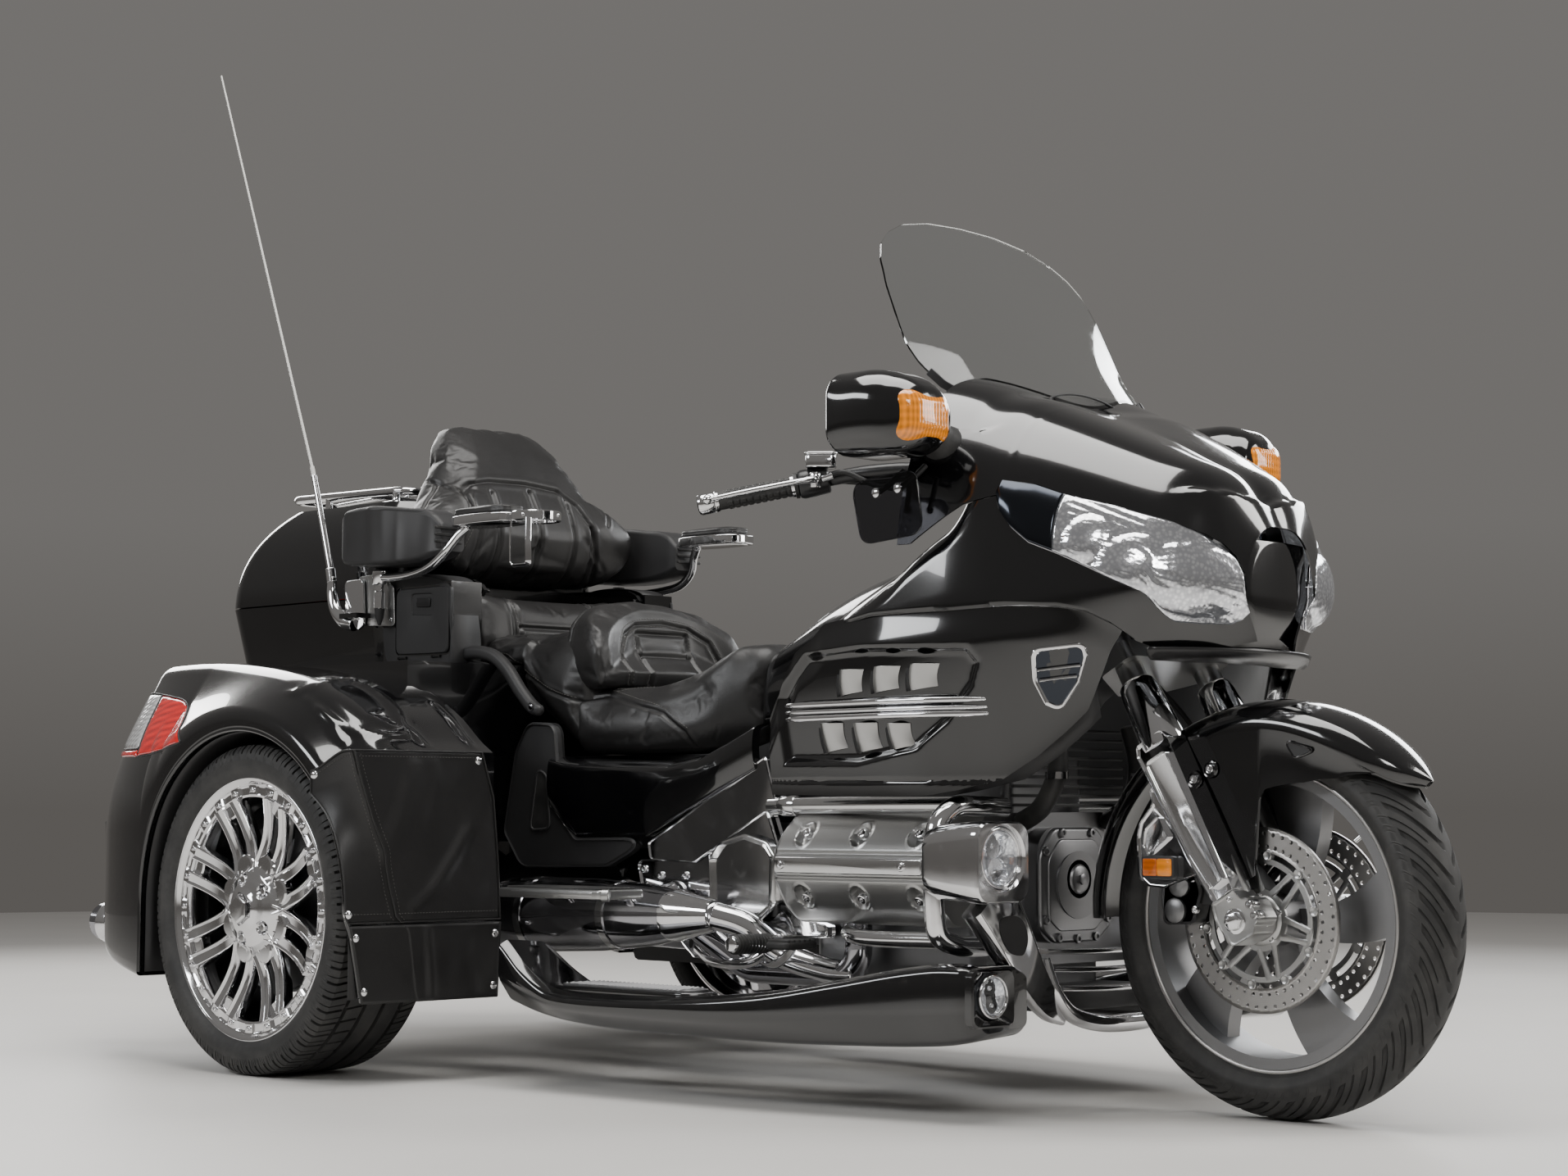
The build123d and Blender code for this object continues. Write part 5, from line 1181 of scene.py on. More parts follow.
@dataclass
class Fairing:
    """Nose, brow, side panels with their louvres and inlets, and both headlamps."""

    shell: float = 3.5
    step_under_crease: float = 9.0
    recess_depth: float = 13.0
    lamp_bulge: float = 5.0

    def build(self, bench: Bench) -> None:
        """Make every piece of the fairing."""
        self.upper(bench)
        self.cheeks(bench)
        self.brow(bench)
        self.lamps(bench)
        self.louvres(bench)
        self.inlets(bench)
        self.lining(bench)

    def upper(self, bench: Bench) -> None:
        """Panels from the nose back over the crease, rolled inwards along their rear edge."""
        x, z = patch_between(CREASE, SHOULDER, 1139.5, 1785, 124, 38)
        p = FORM.side(x, z)
        left = along(SHOULDER, x) - z
        roll = np.clip(1 - left / 64, 0, 1) * (1 - step_between(1405, 1470, x))
        p[..., 1] += 74 * (1 - np.sqrt(1 - np.minimum(roll, 0.995) ** 2))
        under = np.clip(1 - (z - along(CREASE, x)) / 7, 0, 1) * (x < 1672)
        p[..., 1] += 6 * under ** 2
        bench.piece("fairing_upper_panels", net(p).both(), GLOSS, wall=self.shell, bevel=0.9)

    def cheeks(self, bench: Bench) -> None:
        """Lower side panels, set in under the crease and sunk round the louvres."""
        top = [(x, z + 8) for x, z in CREASE]
        x, z = patch_between(LOWER_EDGE, top, 1030.5, 1669, 172, 90)
        p = FORM.side(x, z)
        depth = inside_by(RECESS, x, z)
        sink = self.recess_depth * step_between(2, 20, depth)
        belt = 3.0 * step_between(0, 5, 4 - np.abs(z - along(((1030, 543), (1400, 541), (1660, 541)), x)))
        gap = along(CREASE, x) - z
        p[..., 1] += self.step_under_crease * step_between(60, -4, gap) + sink + belt
        bench.piece("fairing_cheeks", net(p).both(), GLOSS, wall=self.shell, bevel=1.0,
                    replaces=["fairing_sides"])

    def brow(self, bench: Bench) -> None:
        """Brow from the lamps and the screen's foot to the nose bar, with the step over the nose."""
        s = (1 - np.cos(np.linspace(0, math.pi, 100))) / 2
        x = 1330 + s * (1784.5 - 1330)
        edge = np.where(x > 1491, along(LAMP_TOP, x) + 2.5, along(SHOULDER, np.maximum(x, 1355)) + 2)
        u = FORM.u_at(x)
        start = FORM.tau_at(u, edge)
        t = np.linspace(0, 1, 52)
        tau = start[:, None] + (3 - start[:, None]) * t
        uu = np.broadcast_to(u[:, None], tau.shape)
        p = FORM.point(uu, tau)
        n = FORM.normal(uu, tau)
        line = np.interp(np.abs(p[..., 1]), [0, 65, 114, 172, 200], [1766, 1759, 1745, 1714, 1690])
        fade = 1 - step_between(120, 185, np.abs(p[..., 1]))
        drop = 12 * step_between(-3, 4, p[..., 0] - line) * fade
        ridge = 5 * np.exp(-(p[..., 1] / 26) ** 2) * step_between(1500, 1700, p[..., 0])
        p = p - n * (drop - ridge)[..., None]
        foot = (p[..., 0] < 1470) & (p[..., 2] > 1120)
        p[..., 2] -= np.where(foot, 10 * step_between(1470, 1400, p[..., 0]), 0)
        bench.piece("fairing_brow", net(p).both(), GLOSS, wall=self.shell, bevel=0.9,
                    replaces=["fairing_cowl"])
        self.nose(bench)

    def nose(self, bench: Bench) -> None:
        """Bar between the lamps: the two flanks and the flat front run together by a soft minimum."""
        y = np.linspace(-104, 104, 61)
        z = np.linspace(752, 930, 60)
        yy, zz = np.meshgrid(y, z, indexing="ij")
        size = np.abs(yy).ravel()
        low, high = np.zeros(size.size), np.full(size.size, 1.5)
        for _ in range(24):
            mid = (low + high) / 2
            inner = -FORM.point(mid, FORM.tau_at(mid, zz.ravel()))[:, 1] < size
            low, high = np.where(inner, mid, low), np.where(inner, high, mid)
        flank = FORM.point(low, FORM.tau_at(low, zz.ravel()))[:, 0].reshape(yy.shape)
        front = 1792 - 26 * step_between(840, 740, zz) * 0.9 - 0.0011 * yy ** 2
        x = -9 * np.log(np.exp(-(flank - 1700) / 9) + np.exp(-(front - 1700) / 9)) + 1700
        p = np.stack([x - 1.5, yy, zz], 2)
        bench.piece("fairing_nose", net(p), GLOSS, wall=self.shell, bevel=1.2)
        chin = np.stack([np.full(41, 0.0), np.linspace(-1, 1, 41)], 1)
        width = 226 * chin[:, 1]
        front_x = 1782 - 0.00165 * width ** 2
        rings = np.stack([np.stack([np.maximum(front_x - back, 1694 - back * 0.02), width * (1 - back / 900),
                                    752.0 - fall + 0 * width], 1)
                          for back, fall in ((0, 0), (4, 7), (16, 14), (60, 20), (130, 18))])
        bench.piece("fairing_chin", net(rings), SATIN, wall=4)

    def lamps(self, bench: Bench) -> None:
        """Headlamps: clear cover, ribbed and faceted reflector, dark outer end, divider and bright rim."""
        x, z = patch_between(SHOULDER, LAMP_TOP, 1491.5, 1785.5, 110, 44)
        u = FORM.u_at(x)
        tau = FORM.tau_at(u, z)
        skin = FORM.point(u, tau)
        out = FORM.normal(u, tau)
        s = np.linspace(0, 1, x.shape[0])[:, None]
        t = np.linspace(0, 1, x.shape[1])[None, :]
        mid = np.clip(4 * t * (1 - t), 0, 1) * np.clip(6 * s * (1 - s), 0, 1)
        cover = skin + out * (self.lamp_bulge * mid - 1.0)[..., None]
        bench.piece("headlamp_covers", net(cover[::2, ::2]).both(), LAMP_GLASS, wall=2.2,
                    replaces=["headlamps"])
        ahead = 0.30 * np.array([1.0, 0, 0]) + 0.7 * out
        bowls = ((1745, 862, 60, 44), (1690, 880, 56, 40), (1630, 925, 42, 34))
        depth = 9 + 12 * mid
        ribs = np.zeros_like(depth)
        for bx, bz, reach, sunk in bowls:
            away = np.hypot((x - bx) * 1.15, z - bz) / reach
            depth = np.maximum(depth, sunk * np.sqrt(np.clip(1 - away ** 2, 0, 1)))
            ring = np.sin(away * 34) * (away < 1)
            facet = np.sin(np.arctan2(z - bz, x - bx) * 22) * (away < 1)
            ribs = np.where(away < 1, 1.3 * facet * away + 0.5 * ring, ribs)
        strips = 1.4 * np.sin(x * 0.62) * (x > 1738) + 1.2 * np.sin((z + 0.5 * x)
                                                                    * 0.5) * (x < 1700) * (x > 1600)
        ribs = np.where(np.abs(ribs) > 0, ribs, strips) * np.clip(depth / 20, 0, 1)
        inner = skin - ahead * (depth + ribs)[..., None]
        bright, dark = x[:, 0] >= 1583, x[:, 0] <= 1590
        bench.piece("headlamp_reflectors", net(inner[bright]).both(), REFLECTOR, wall=1.5, sharp=25)
        bench.piece("position_lamp_wells", net(inner[dark] - out[dark] * 2).both(), LAMP_DARK, wall=1.5)
        k = int(np.argmin(np.abs(x[:, 0] - 1587)))
        line = skin[k, 1:-1] - out[k, 1:-1] * 3.2
        rim_low, rim_high = skin[:, 0] + out[:, 0] * 0.6, skin[:, -1] + out[:, -1] * 0.6
        loop = np.vstack([rim_low, rim_high[::-1]])
        trim = carried(circle(2.3, 10), np.vstack([loop[::2], loop[:1]]), caps=False)
        bench.piece("headlamp_rims", (trim + carried(circle(2.6, 10), line)).both(), DARK_CHROME)
        bulbs = EMPTY
        for bx, bz, _, sunk in bowls:
            here = FORM.side(np.array([bx]), np.array([bz]))[0] - np.array([sunk * 0.92, 0, 0])
            bulbs += lathe([(0, 0), (0, 9), (15, 9), (22, 7), (26, 3), (27, 0)], here, (1, -0.35, 0), 24)
        bench.piece("headlamp_bulbs", bulbs.both(), CHROME)

    def louvres(self, bench: Bench) -> None:
        """Six scooped louvres a side over dark plates that stand for the shade in their openings, the double
        strip between them and the sunk lips.
        """
        scoops = opening_shades = EMPTY
        upper = [(1206, 729, 52, 44), (1284, 732, 54, 44), (1358, 734, 50, 44)]
        lower = [(1150, 642, 50, 50), (1226, 641, 52, 50), (1302, 639, 44, 44)]
        for x0, z0, width, height in upper + lower:
            a, b = np.meshgrid(np.linspace(0, 1, 19), np.linspace(0, 1, 15), indexing="ij")
            lean = 16 if (x0, z0, width, height) in upper else -14
            x = x0 + width * (a - 0.06 * np.sin(math.pi * b)) - lean * (1 - b) * 0.4
            z = z0 - height * (1 - b) * (1 - 0.18 * a) - 4
            base = FORM.side(x, z)
            lift = self.recess_depth - 1 - 17 * np.sin(math.pi * np.clip(a, 0, 1) ** 0.75) * (0.35 + 0.65 * b)
            base[..., 1] += lift
            scoops += net(base)
            # painted shade: a dark sheet behind each louvre stands for the shade in its opening
            dark = FORM.side(x - 7, z)
            dark[..., 1] += self.recess_depth - 1.6
            opening_shades += net(dark[::3, ::3])
        bench.piece("side_louvres", scoops.both(), SILVER, wall=1.6, bevel=0.5)
        bench.piece("louvre_shade_plates", opening_shades.both(), MATTE, wall=1.0)
        strips = EMPTY
        for z_rear, z_front, radius in ((669, 672, 5.2), (657, 659, 4.0), (646, 649, 5.4)):
            x = np.linspace(1078, 1478, 60)
            z = z_rear + (z_front - z_rear) * (x - 1078) / 400
            path = FORM.side(x, z)
            path[:, 1] -= 3.5 - 5 * (1 - np.clip(np.minimum(x - 1078, 1478 - x) / 26, 0, 1)) ** 2
            size = 0.25 + 0.75 * np.sqrt(np.clip(np.minimum(x - 1076, 1480 - x) / 40, 0, 1))
            oval = circle(1, 14) * [radius, 4.2]
            strips += carried(oval, path, size)
        bench.piece("side_strips", strips.both(), CHROME, replaces=["vent_trims"])

    def inlets(self, bench: Bench) -> None:
        """Small nose inlets: a dark dish standing for the shade in the opening, a bright rim and two bright
        vanes.
        """
        outline = rounded_outline([(1556, 748), (1621, 757), (1620, 738), (1604, 697), (1576, 654),
                                   (1560, 664), (1551, 700)], [14, 12, 10, 40, 10, 8, 30], 6)
        mid = outline.mean(0)

        def on_skin(points: Array, lift: float) -> Array:
            """Side-view points laid on the sunk cheek and lifted off it."""
            p = FORM.side(points[:, 0], points[:, 1])
            gap = along(CREASE, points[:, 0]) - points[:, 1]
            p[:, 1] += self.step_under_crease * step_between(60, -4, gap) - lift
            return p
        rings = np.stack([on_skin(mid + (outline - mid) * k, lift)
                          for k, lift in ((1.04, -1), (1.05, 3.2), (1.0, 4.6), (0.93, 3.4), (0.91, 0.2))])
        bench.piece("inlet_rims", net(rings, wrap_v=True).both(), CHROME)
        # painted shade: the dark dish stands for the shade inside the inlet
        dish = np.stack([on_skin(mid + (outline - mid) * k, lift)
                         for k, lift in ((0.94, 0.6), (0.7, 0.2), (0.4, 0.0), (0.02, 0.0))])
        bench.piece("inlet_shade_dishes", net(dish, wrap_v=True).both(), LAMP_DARK)
        vanes = EMPTY
        for z0, z1 in ((716, 724), (700, 707)):
            line = np.stack([np.linspace(1558, 1611 - (724 - z1) * 0.4, 24), np.linspace(z0, z1, 24)], 1)
            vanes += carried(circle(1, 10) * [3.2, 4.5], on_skin(line, 3.0))
        bench.piece("inlet_vanes", vanes.both(), CHROME)

    def lining(self, bench: Bench) -> None:
        """Dark inner walls behind the cheeks, closing the view between the panel and the fork."""
        x, z = np.meshgrid(np.linspace(1050, 1600, 40), np.linspace(0, 1, 16), indexing="ij")
        low, high = along(LOWER_EDGE, x), np.minimum(along(SHOULDER, x), 1000)
        p = FORM.side(x, low + (high - low) * z)
        p[..., 1] = p[..., 1] * 0.90 + 22
        bench.piece("fairing_lining", net(p).both(), MATTE, wall=2)


@dataclass
class Screen:
    """Clear windscreen: tightly bent at its foot and nearly flat at its rim, with a vent and its fixings."""

    thickness: float = 4.5
    # height, middle's x, how far the edges fall back at 290 from the middle
    heights: tuple[tuple[float, float, float], ...] = ((1120, 1459, 74), (1187, 1402, 80), (1268, 1336, 78),
                                                       (1350, 1269, 56), (1440, 1194, 26), (1550, 1104, 6))
    top: tuple[tuple[float, float], ...] = ((0, 1546), (90, 1542), (170, 1527), (222, 1504), (255, 1478),
                                            (277, 1444), (288, 1396), (293, 1320), (294, 1282))
    foot: tuple[tuple[float, float], ...] = (
        (0, 1146), (120, 1152), (200, 1165), (250, 1182), (280, 1212), (292, 1252), (294, 1282))

    def on_sheet(self, y: Array, z: Array) -> Array:
        """Points of the screen at (y, z): the middle's x less the fall times (y / 290) squared."""
        h = np.asarray(self.heights, float)
        mid, fall = blend_curve(h[:, 0], h[:, 1:], z).T.reshape(2, *z.shape)
        return np.stack([mid - fall * (y / 290) ** 2, y, z], -1)

    def build(self, bench: Bench) -> None:
        """Make the screen, the vent's outline and the fixing strip."""
        s = np.sin(np.linspace(-math.pi / 2, math.pi / 2, 97))
        y = s * 293.9
        top = np.interp(np.abs(y), *np.array(self.top).T)
        foot = np.interp(np.abs(y), *np.array(self.foot).T)
        t = np.linspace(0, 1, 60)
        z = foot[:, None] * (1 - t) + top[:, None] * t
        p = self.on_sheet(np.broadcast_to(y[:, None], z.shape), z)
        bench.piece("windscreen", net(p), CLEAR, wall=self.thickness, bevel=1.2, replaces=["windshield"])
        a = np.linspace(0.06, math.pi - 0.06, 40)
        arc = self.on_sheet(-128 * np.cos(a), 1160 + 52 * np.sin(a)) + [1.5, 0, 0]
        vent = carried(circle(2.0, 8), arc)
        bench.piece("vent_seal", vent, MATTE)
        k = np.linspace(-1, 1, 61)
        seat = self.on_sheet(k * 286, np.interp(np.abs(k * 286), *np.array(self.foot).T) + 4)
        band = carried(np.array([(-7.0, -4), (7, -4), (7, 4), (-7, 4)]), seat + [2, 0, -3], hint=UP)
        bench.piece("screen_seat", band, SATIN, bevel=1.5)
        scuttle_y, back = np.meshgrid(np.linspace(-250, 250, 49), np.linspace(0, 1, 20), indexing="ij")
        front = self.on_sheet(scuttle_y, 1150 + 0 * scuttle_y)
        deck = front + np.stack([18 - 66 * back, 0 * back, -14 + 8 * back - 30 * back ** 2], 2)
        bench.piece("screen_scuttle", net(deck), MATTE, wall=3)
        bolts = EMPTY
        for y0, z0 in ((-252, 1196), (-190, 1176), (190, 1176), (252, 1196)):
            at = self.on_sheet(np.array([y0]), np.array([z0]))[0]
            bolts += lathe([(0, 7), (3, 7), (4.4, 5), (4.8, 0)], at, (0.8, 0.25 * np.sign(y0), 0.55), 20)
        bench.piece("screen_bolts", bolts, CHROME)


@dataclass
class Mirrors:
    """Mirror housings on rubber boots, with amber lenses, mirror glass and the smoked deflectors."""

    def build(self, bench: Bench) -> None:
        """Make the mirrors and deflectors of both sides."""
        shell = stations([(1294, -546, -400, 1074, 1196, 34), (1302, -551, -396, 1066, 1203, 46),
                          (1350, -549, -394, 1062, 1205, 56), (1400, -536, -396, 1062, 1196, 54),
                          (1432, -519, -402, 1072, 1178, 46), (1446, -500, -414, 1088, 1160, 36),
                          (1450, -486, -430, 1102, 1146, 22)], 46, 56, power=1.5)
        bench.piece("mirror_housings", shell.both(), GLOSS, replaces=["mirrors"])
        lens = stations([(1418, -522, -412, 1080, 1166, 20), (1436, -517, -411, 1082, 1164, 22),
                         (1448, -504, -420, 1092, 1154, 20), (1452, -492, -430, 1102, 1146, 14)], 20, 48,
                        power=1.4)
        bench.piece("signal_lens_covers", lens.both(), AMBER, replaces=["signal_lenses"])
        glass = ring_section(132, 112, 40, 48) + [-474, 1134]
        plate = slab(glass, 1292.5, 1297, 1.2, seen_from_front)
        bench.piece("mirror_glasses", plate.both(), CHROME)
        boot = carried(circle(1, 28), smooth_path([(1362, -410, 1116), (1368, -384, 1108), (1372, -356, 1096),
                                                   (1374, -322, 1084)], 24),
                       np.interp(np.linspace(0, 1, 24), [0, 0.25, 0.35, 0.5, 0.6, 1],
                                 [27, 26, 31, 27, 33, 40]))
        bench.piece("mirror_boots", boot.both(), GRIP)
        sheet_points = rounded_outline([(1263, 1030), (1404, 1042), (1418, 938), (1286, 928)], 22, 8)
        plate = slab(sheet_points, -453, -448, 1.2)
        bench.piece("deflector_plates", plate.both(), SMOKED, replaces=["wind_deflectors"])
        arms = bolts = EMPTY
        for x, z in ((1320, 1010), (1368, 1014)):
            arms += tube([(x, -449, z), (x + 8, -428, z + 16), (x + 14, -402, z + 40)], 5, 14, 12)
            bolts += lathe([(0, 8), (-3, 8), (-5, 5), (-5.4, 0)], (x, -453, z), LEFT, 20)
        bench.piece("deflector_arms", arms.both(), SATIN)
        bench.piece("deflector_bolts", bolts.both(), CHROME)


# Wheels

def treaded(profile: Array, pitches: int, offsets: Sequence[float], skew: Array, depth: Array,
            centre: Sequence[float]) -> Shape:
    """Tyre whose grid rows follow the edges of its tread.

    Row j of pitch i stands at the angle (i + offset j + skew) 2 pi / pitches, and each point is sunk along
    the section's own outward normal.

    Args:
        profile: closed section of (along the axle, radius), running over the crown from negative to positive.
        pitches: repeats round the tyre.
        offsets: shares of a pitch at which rows stand.
        skew: turn of each point of the section, in pitches.
        depth: rows by section points, how far each point is sunk.
        centre: the wheel's centre.

    Returns:
        The closed shape.
    """
    p = np.asarray(profile, float)
    run = np.roll(p, -1, 0) - np.roll(p, 1, 0)
    run /= np.linalg.norm(run, axis=1)[:, None] + 1e-12
    out = np.stack([-run[:, 1], run[:, 0]], 1)
    sunk = p[None] - depth[:, :, None] * out[None]
    turn = (np.arange(pitches)[:, None, None] + np.asarray(offsets, float)[None, :, None]
            + np.asarray(skew, float)[None, None, :]) * 2 * math.pi / pitches
    radius = np.broadcast_to(sunk[None, :, :, 1], turn.shape)
    along_axle = np.broadcast_to(sunk[None, :, :, 0], turn.shape)
    c = np.asarray(centre, float)
    grid = np.stack([c[0] + radius * np.cos(turn), c[1] + along_axle, c[2] + radius * np.sin(turn)], -1)
    return net(grid.reshape(-1, len(p), 3), wrap_u=True, wrap_v=True)


def hexagon(radius: float) -> Array:
    """Anticlockwise hexagon with slightly blunted corners."""
    a = np.radians(np.arange(6) * 60)
    return rounded_outline(np.stack([radius * np.cos(a), radius * np.sin(a)], 1), radius * 0.12, 2)


def bolt(at: Sequence[float], axis: Sequence[float], radius: float, height: float, sides: int = 20) -> Shape:
    """Round bolt head with a rolled edge and a small socket, standing on a point along an axis."""
    r, h = radius, height
    return lathe([(-0.5, 0), (-0.5, r), (h * 0.7, r), (h * 0.93, r * 0.9), (h, r * 0.74), (h, r * 0.46),
                  (h * 0.55, r * 0.42), (h * 0.5, 0)], at, axis, sides)


def hex_bolt(at: Sequence[float], axis: Sequence[float], radius: float, height: float) -> Shape:
    """Hexagon bolt head on a round washer, standing on a point along an axis."""
    w = np.asarray(axis, float) / np.linalg.norm(axis)
    path = np.asarray(at, float) + np.outer([0, height * 0.25, height * 0.9, height], w)
    head = carried(hexagon(radius), path, np.array([1, 1, 1, 0.86]), hint=(0.3, 0.2, 1))
    return head + lathe([(-0.4, 0), (-0.4, radius * 1.35), (1.2, radius * 1.35), (1.6, radius * 1.2),
                         (1.6, 0)], at, axis, 24)


def on_wheel(centre: Sequence[float], radius: float, degrees: float, along_axle: float) -> Array:
    """Point of a wheel at a radius, an angle and a distance along the axle."""
    a = math.radians(degrees)
    return np.array([centre[0] + radius * math.cos(a), centre[1] + along_axle,
                     centre[2] + radius * math.sin(a)])


def drilled_ring(centre: Sequence[float], bands: Sequence[tuple[float, float]], half: float, count: int,
                 hole: float) -> Shape:
    """Flat ring drilled with a circle of holes in each band.

    Each cell runs 2 pi / count round the ring; sixteen points on the cell's edge are joined to sixteen on its
    hole, on both faces, and the hole and the ring's two edges are walled.
    """
    s = np.array([-1, -0.5, 0, 0.5])
    edge = np.vstack([np.stack([s, -np.ones(4)], 1), np.stack([np.ones(4), s], 1),
                      np.stack([-s, np.ones(4)], 1), np.stack([-np.ones(4), -s], 1)])
    made = EMPTY
    c = np.asarray(centre, float)
    for number, (low, high) in enumerate(bands):
        mid, reach = (low + high) / 2, (high - low) / 2
        middle = (np.arange(count) + 0.5 * (number % 2)) * 2 * math.pi / count
        angle = middle[:, None] + edge[None, :, 0] * math.pi / count
        radius = np.broadcast_to(mid + reach * edge[:, 1], angle.shape)
        square = np.stack([radius * np.cos(angle), radius * np.sin(angle)], -1)
        heading = np.arctan2(edge[:, 1] * reach, edge[:, 0] * mid * math.pi / count)
        u = np.stack([-np.sin(middle), np.cos(middle)], 1)
        v = np.stack([np.cos(middle), np.sin(middle)], 1)
        round_hole = (mid * v[:, None] + hole * (np.cos(heading)[None, :, None] * u[:, None]
                                                 + np.sin(heading)[None, :, None] * v[:, None]))
        rings = [(square, half), (round_hole, half), (round_hole, -half), (square, -half)]
        for k in range(count):
            grid = np.stack([np.stack([c[0] + flat[k, :, 0], c[1] + level + 0 * flat[k, :, 0],
                                       c[2] + flat[k, :, 1]], 1) for flat, level in rings])
            made += net(grid, wrap_v=True)
    rim_angle = np.arange(count * 8) * 2 * math.pi / (count * 8)
    for radius in (bands[0][0], bands[-1][1]):
        wall = np.stack([np.stack([c[0] + radius * np.cos(rim_angle), c[1] + level + 0 * rim_angle,
                                   c[2] + radius * np.sin(rim_angle)], 1) for level in (-half, half)])
        made += net(wall, wrap_v=True)
    return made


@dataclass
class FrontWheel:
    """Grooved tyre, bright rim edges and the two drilled discs with their carriers."""

    centre: tuple[float, float, float] = FRONT_AXLE
    radius: float = 319.5
    pitches: int = 36
    disc_plane: float = 68.0

    def build(self, bench: Bench) -> None:
        """Make the tyre, the rim edges and the discs."""
        self.tyre(bench)
        self.rim(bench)
        self.discs(bench)

    def tyre(self, bench: Bench) -> None:
        """Round-crowned tyre with curved cuts on both sides and a knurled shoulder."""
        half = smooth_path([(0, 319.5), (22, 316), (42, 305), (56, 290), (64, 275), (64.5, 262), (58, 250),
                            (50, 243)], 34)
        section = np.vstack([half[::-1] * [-1, 1], half[1:], [(44, 238), (-44, 238)]])
        across = section[:, 0]
        tread = section[:, 1] > 281
        size = np.abs(across)
        skew = 1.9 * (size / 60) ** 1.5 + np.where(across > 0, 0.5, 0)
        offsets = (0, 0.04, 0.10, 0.20, 0.26, 0.30, 0.55, 0.58, 0.64, 0.67)
        cut = np.array([0, 1, 1, 1, 1, 0, 0, 0, 0, 0], float)
        short = np.array([0, 0, 0, 0, 0, 0, 0, 1, 1, 0], float)
        reach = step_between(7, 9, size) * tread * step_between(58, 55, size)
        brief = step_between(32, 34, size) * tread * step_between(60, 58, size)
        depth = 4.2 * cut[:, None] * reach + 2.6 * short[:, None] * brief
        knurl = (section[:, 1] < 283) & (section[:, 1] > 270)
        depth = depth + 0.9 * (np.arange(10) % 2)[:, None] * knurl
        ring = np.exp(-((section[:, 1] - 264) / 1.6) ** 2) + np.exp(-((section[:, 1] - 249) / 1.8) ** 2)
        depth = depth - 0.9 * ring * (size > 45)
        bench.piece("front_tyre_tread", treaded(section, self.pitches, offsets, skew, depth, self.centre),
                    TYRE, "front_wheel", replaces=["front_tyre"], sharp=32)

    def rim(self, bench: Bench) -> None:
        """Bright machined edges, valve and hub flange rings."""
        lips = EMPTY
        for side in (-1, 1):
            section = circle(1, 14) * [3.4, 4.2] + [side * 49.5, 241]
            lips += lathe(section, self.centre, LEFT, 128, closed=True)
        bench.piece("front_rim_lips", lips, DISC, "front_wheel")
        a, b = on_wheel(self.centre, 226, 40, -20), on_wheel(self.centre, 196, 40, -26)
        bench.piece("front_valve", tube([a, (a + b) / 2, b], 4.0, 8, 14), CHROME, "front_wheel")
        hub = joined(lathe([(0, 17), (3, 17), (3, 34), (0, 40), (-8, 44), (-8, 17)],
                           np.array(self.centre) + [0, side * 72, 0], (0, side, 0), 64) for side in (-1, 1))
        bench.piece("front_hub_caps", hub, SILVER, "front_wheel")

    def discs(self, bench: Bench) -> None:
        """Two drilled rings, their cut-out carriers and the round buttons between."""
        rings = arms = buttons = EMPTY
        for side in (-1, 1):
            centre = np.array(self.centre) + [0, side * self.disc_plane, 0]
            rings += drilled_ring(centre, ((108, 127), (127, 148)), 2.3, 48, 3.3)
            arms += lathe([(-2.2, 18), (-2.2, 50), (2.2, 50), (2.2, 18)], centre, LEFT, 72, closed=True)
            arms += lathe([(-2.2, 90), (-2.2, 99), (2.2, 99), (2.2, 90)], centre, LEFT, 72, closed=True)
            for number in range(12):
                lean = 17 if number % 2 else -17
                root = on_wheel(centre, 46, number * 30 - lean * 0.2, 0)
                tip = on_wheel(centre, 95, number * 30 + lean * 0.55, 0)
                path = np.stack([root, (root + tip) / 2, tip])
                arms += carried(ring_section(9, 4.6, 1.4, 12), path, np.array([1.3, 1.0, 1.25]),
                                hint=np.cross(tip - root, [0, 1, 0]))
            for number in range(10):
                here = on_wheel(centre, 103.5, number * 36 + 9, 0)
                outward = here + [0, side * 2.2, 0]
                buttons += lathe([(-7, 0), (-7, 7.6), (0, 8.2), (2.4, 8.0), (3.2, 6.6), (2.2, 4.4), (2.0, 0)],
                                 outward, (0, side, 0), 22)
        bench.piece("disc_rings", rings, DISC, "front_wheel", replaces=["brake_discs"])
        bench.piece("disc_carriers", arms, SILVER, "front_wheel", sharp=35)
        bench.piece("disc_buttons", buttons, SILVER, "front_wheel")
        screws = EMPTY
        for side in (-1, 1):
            for number in range(5):
                at = on_wheel(self.centre, 38, number * 72 + 20, side * 70)
                screws += bolt(at, (0, side, 0), 5.5, 4)
        bench.piece("disc_screws", screws, CHROME, "front_wheel")


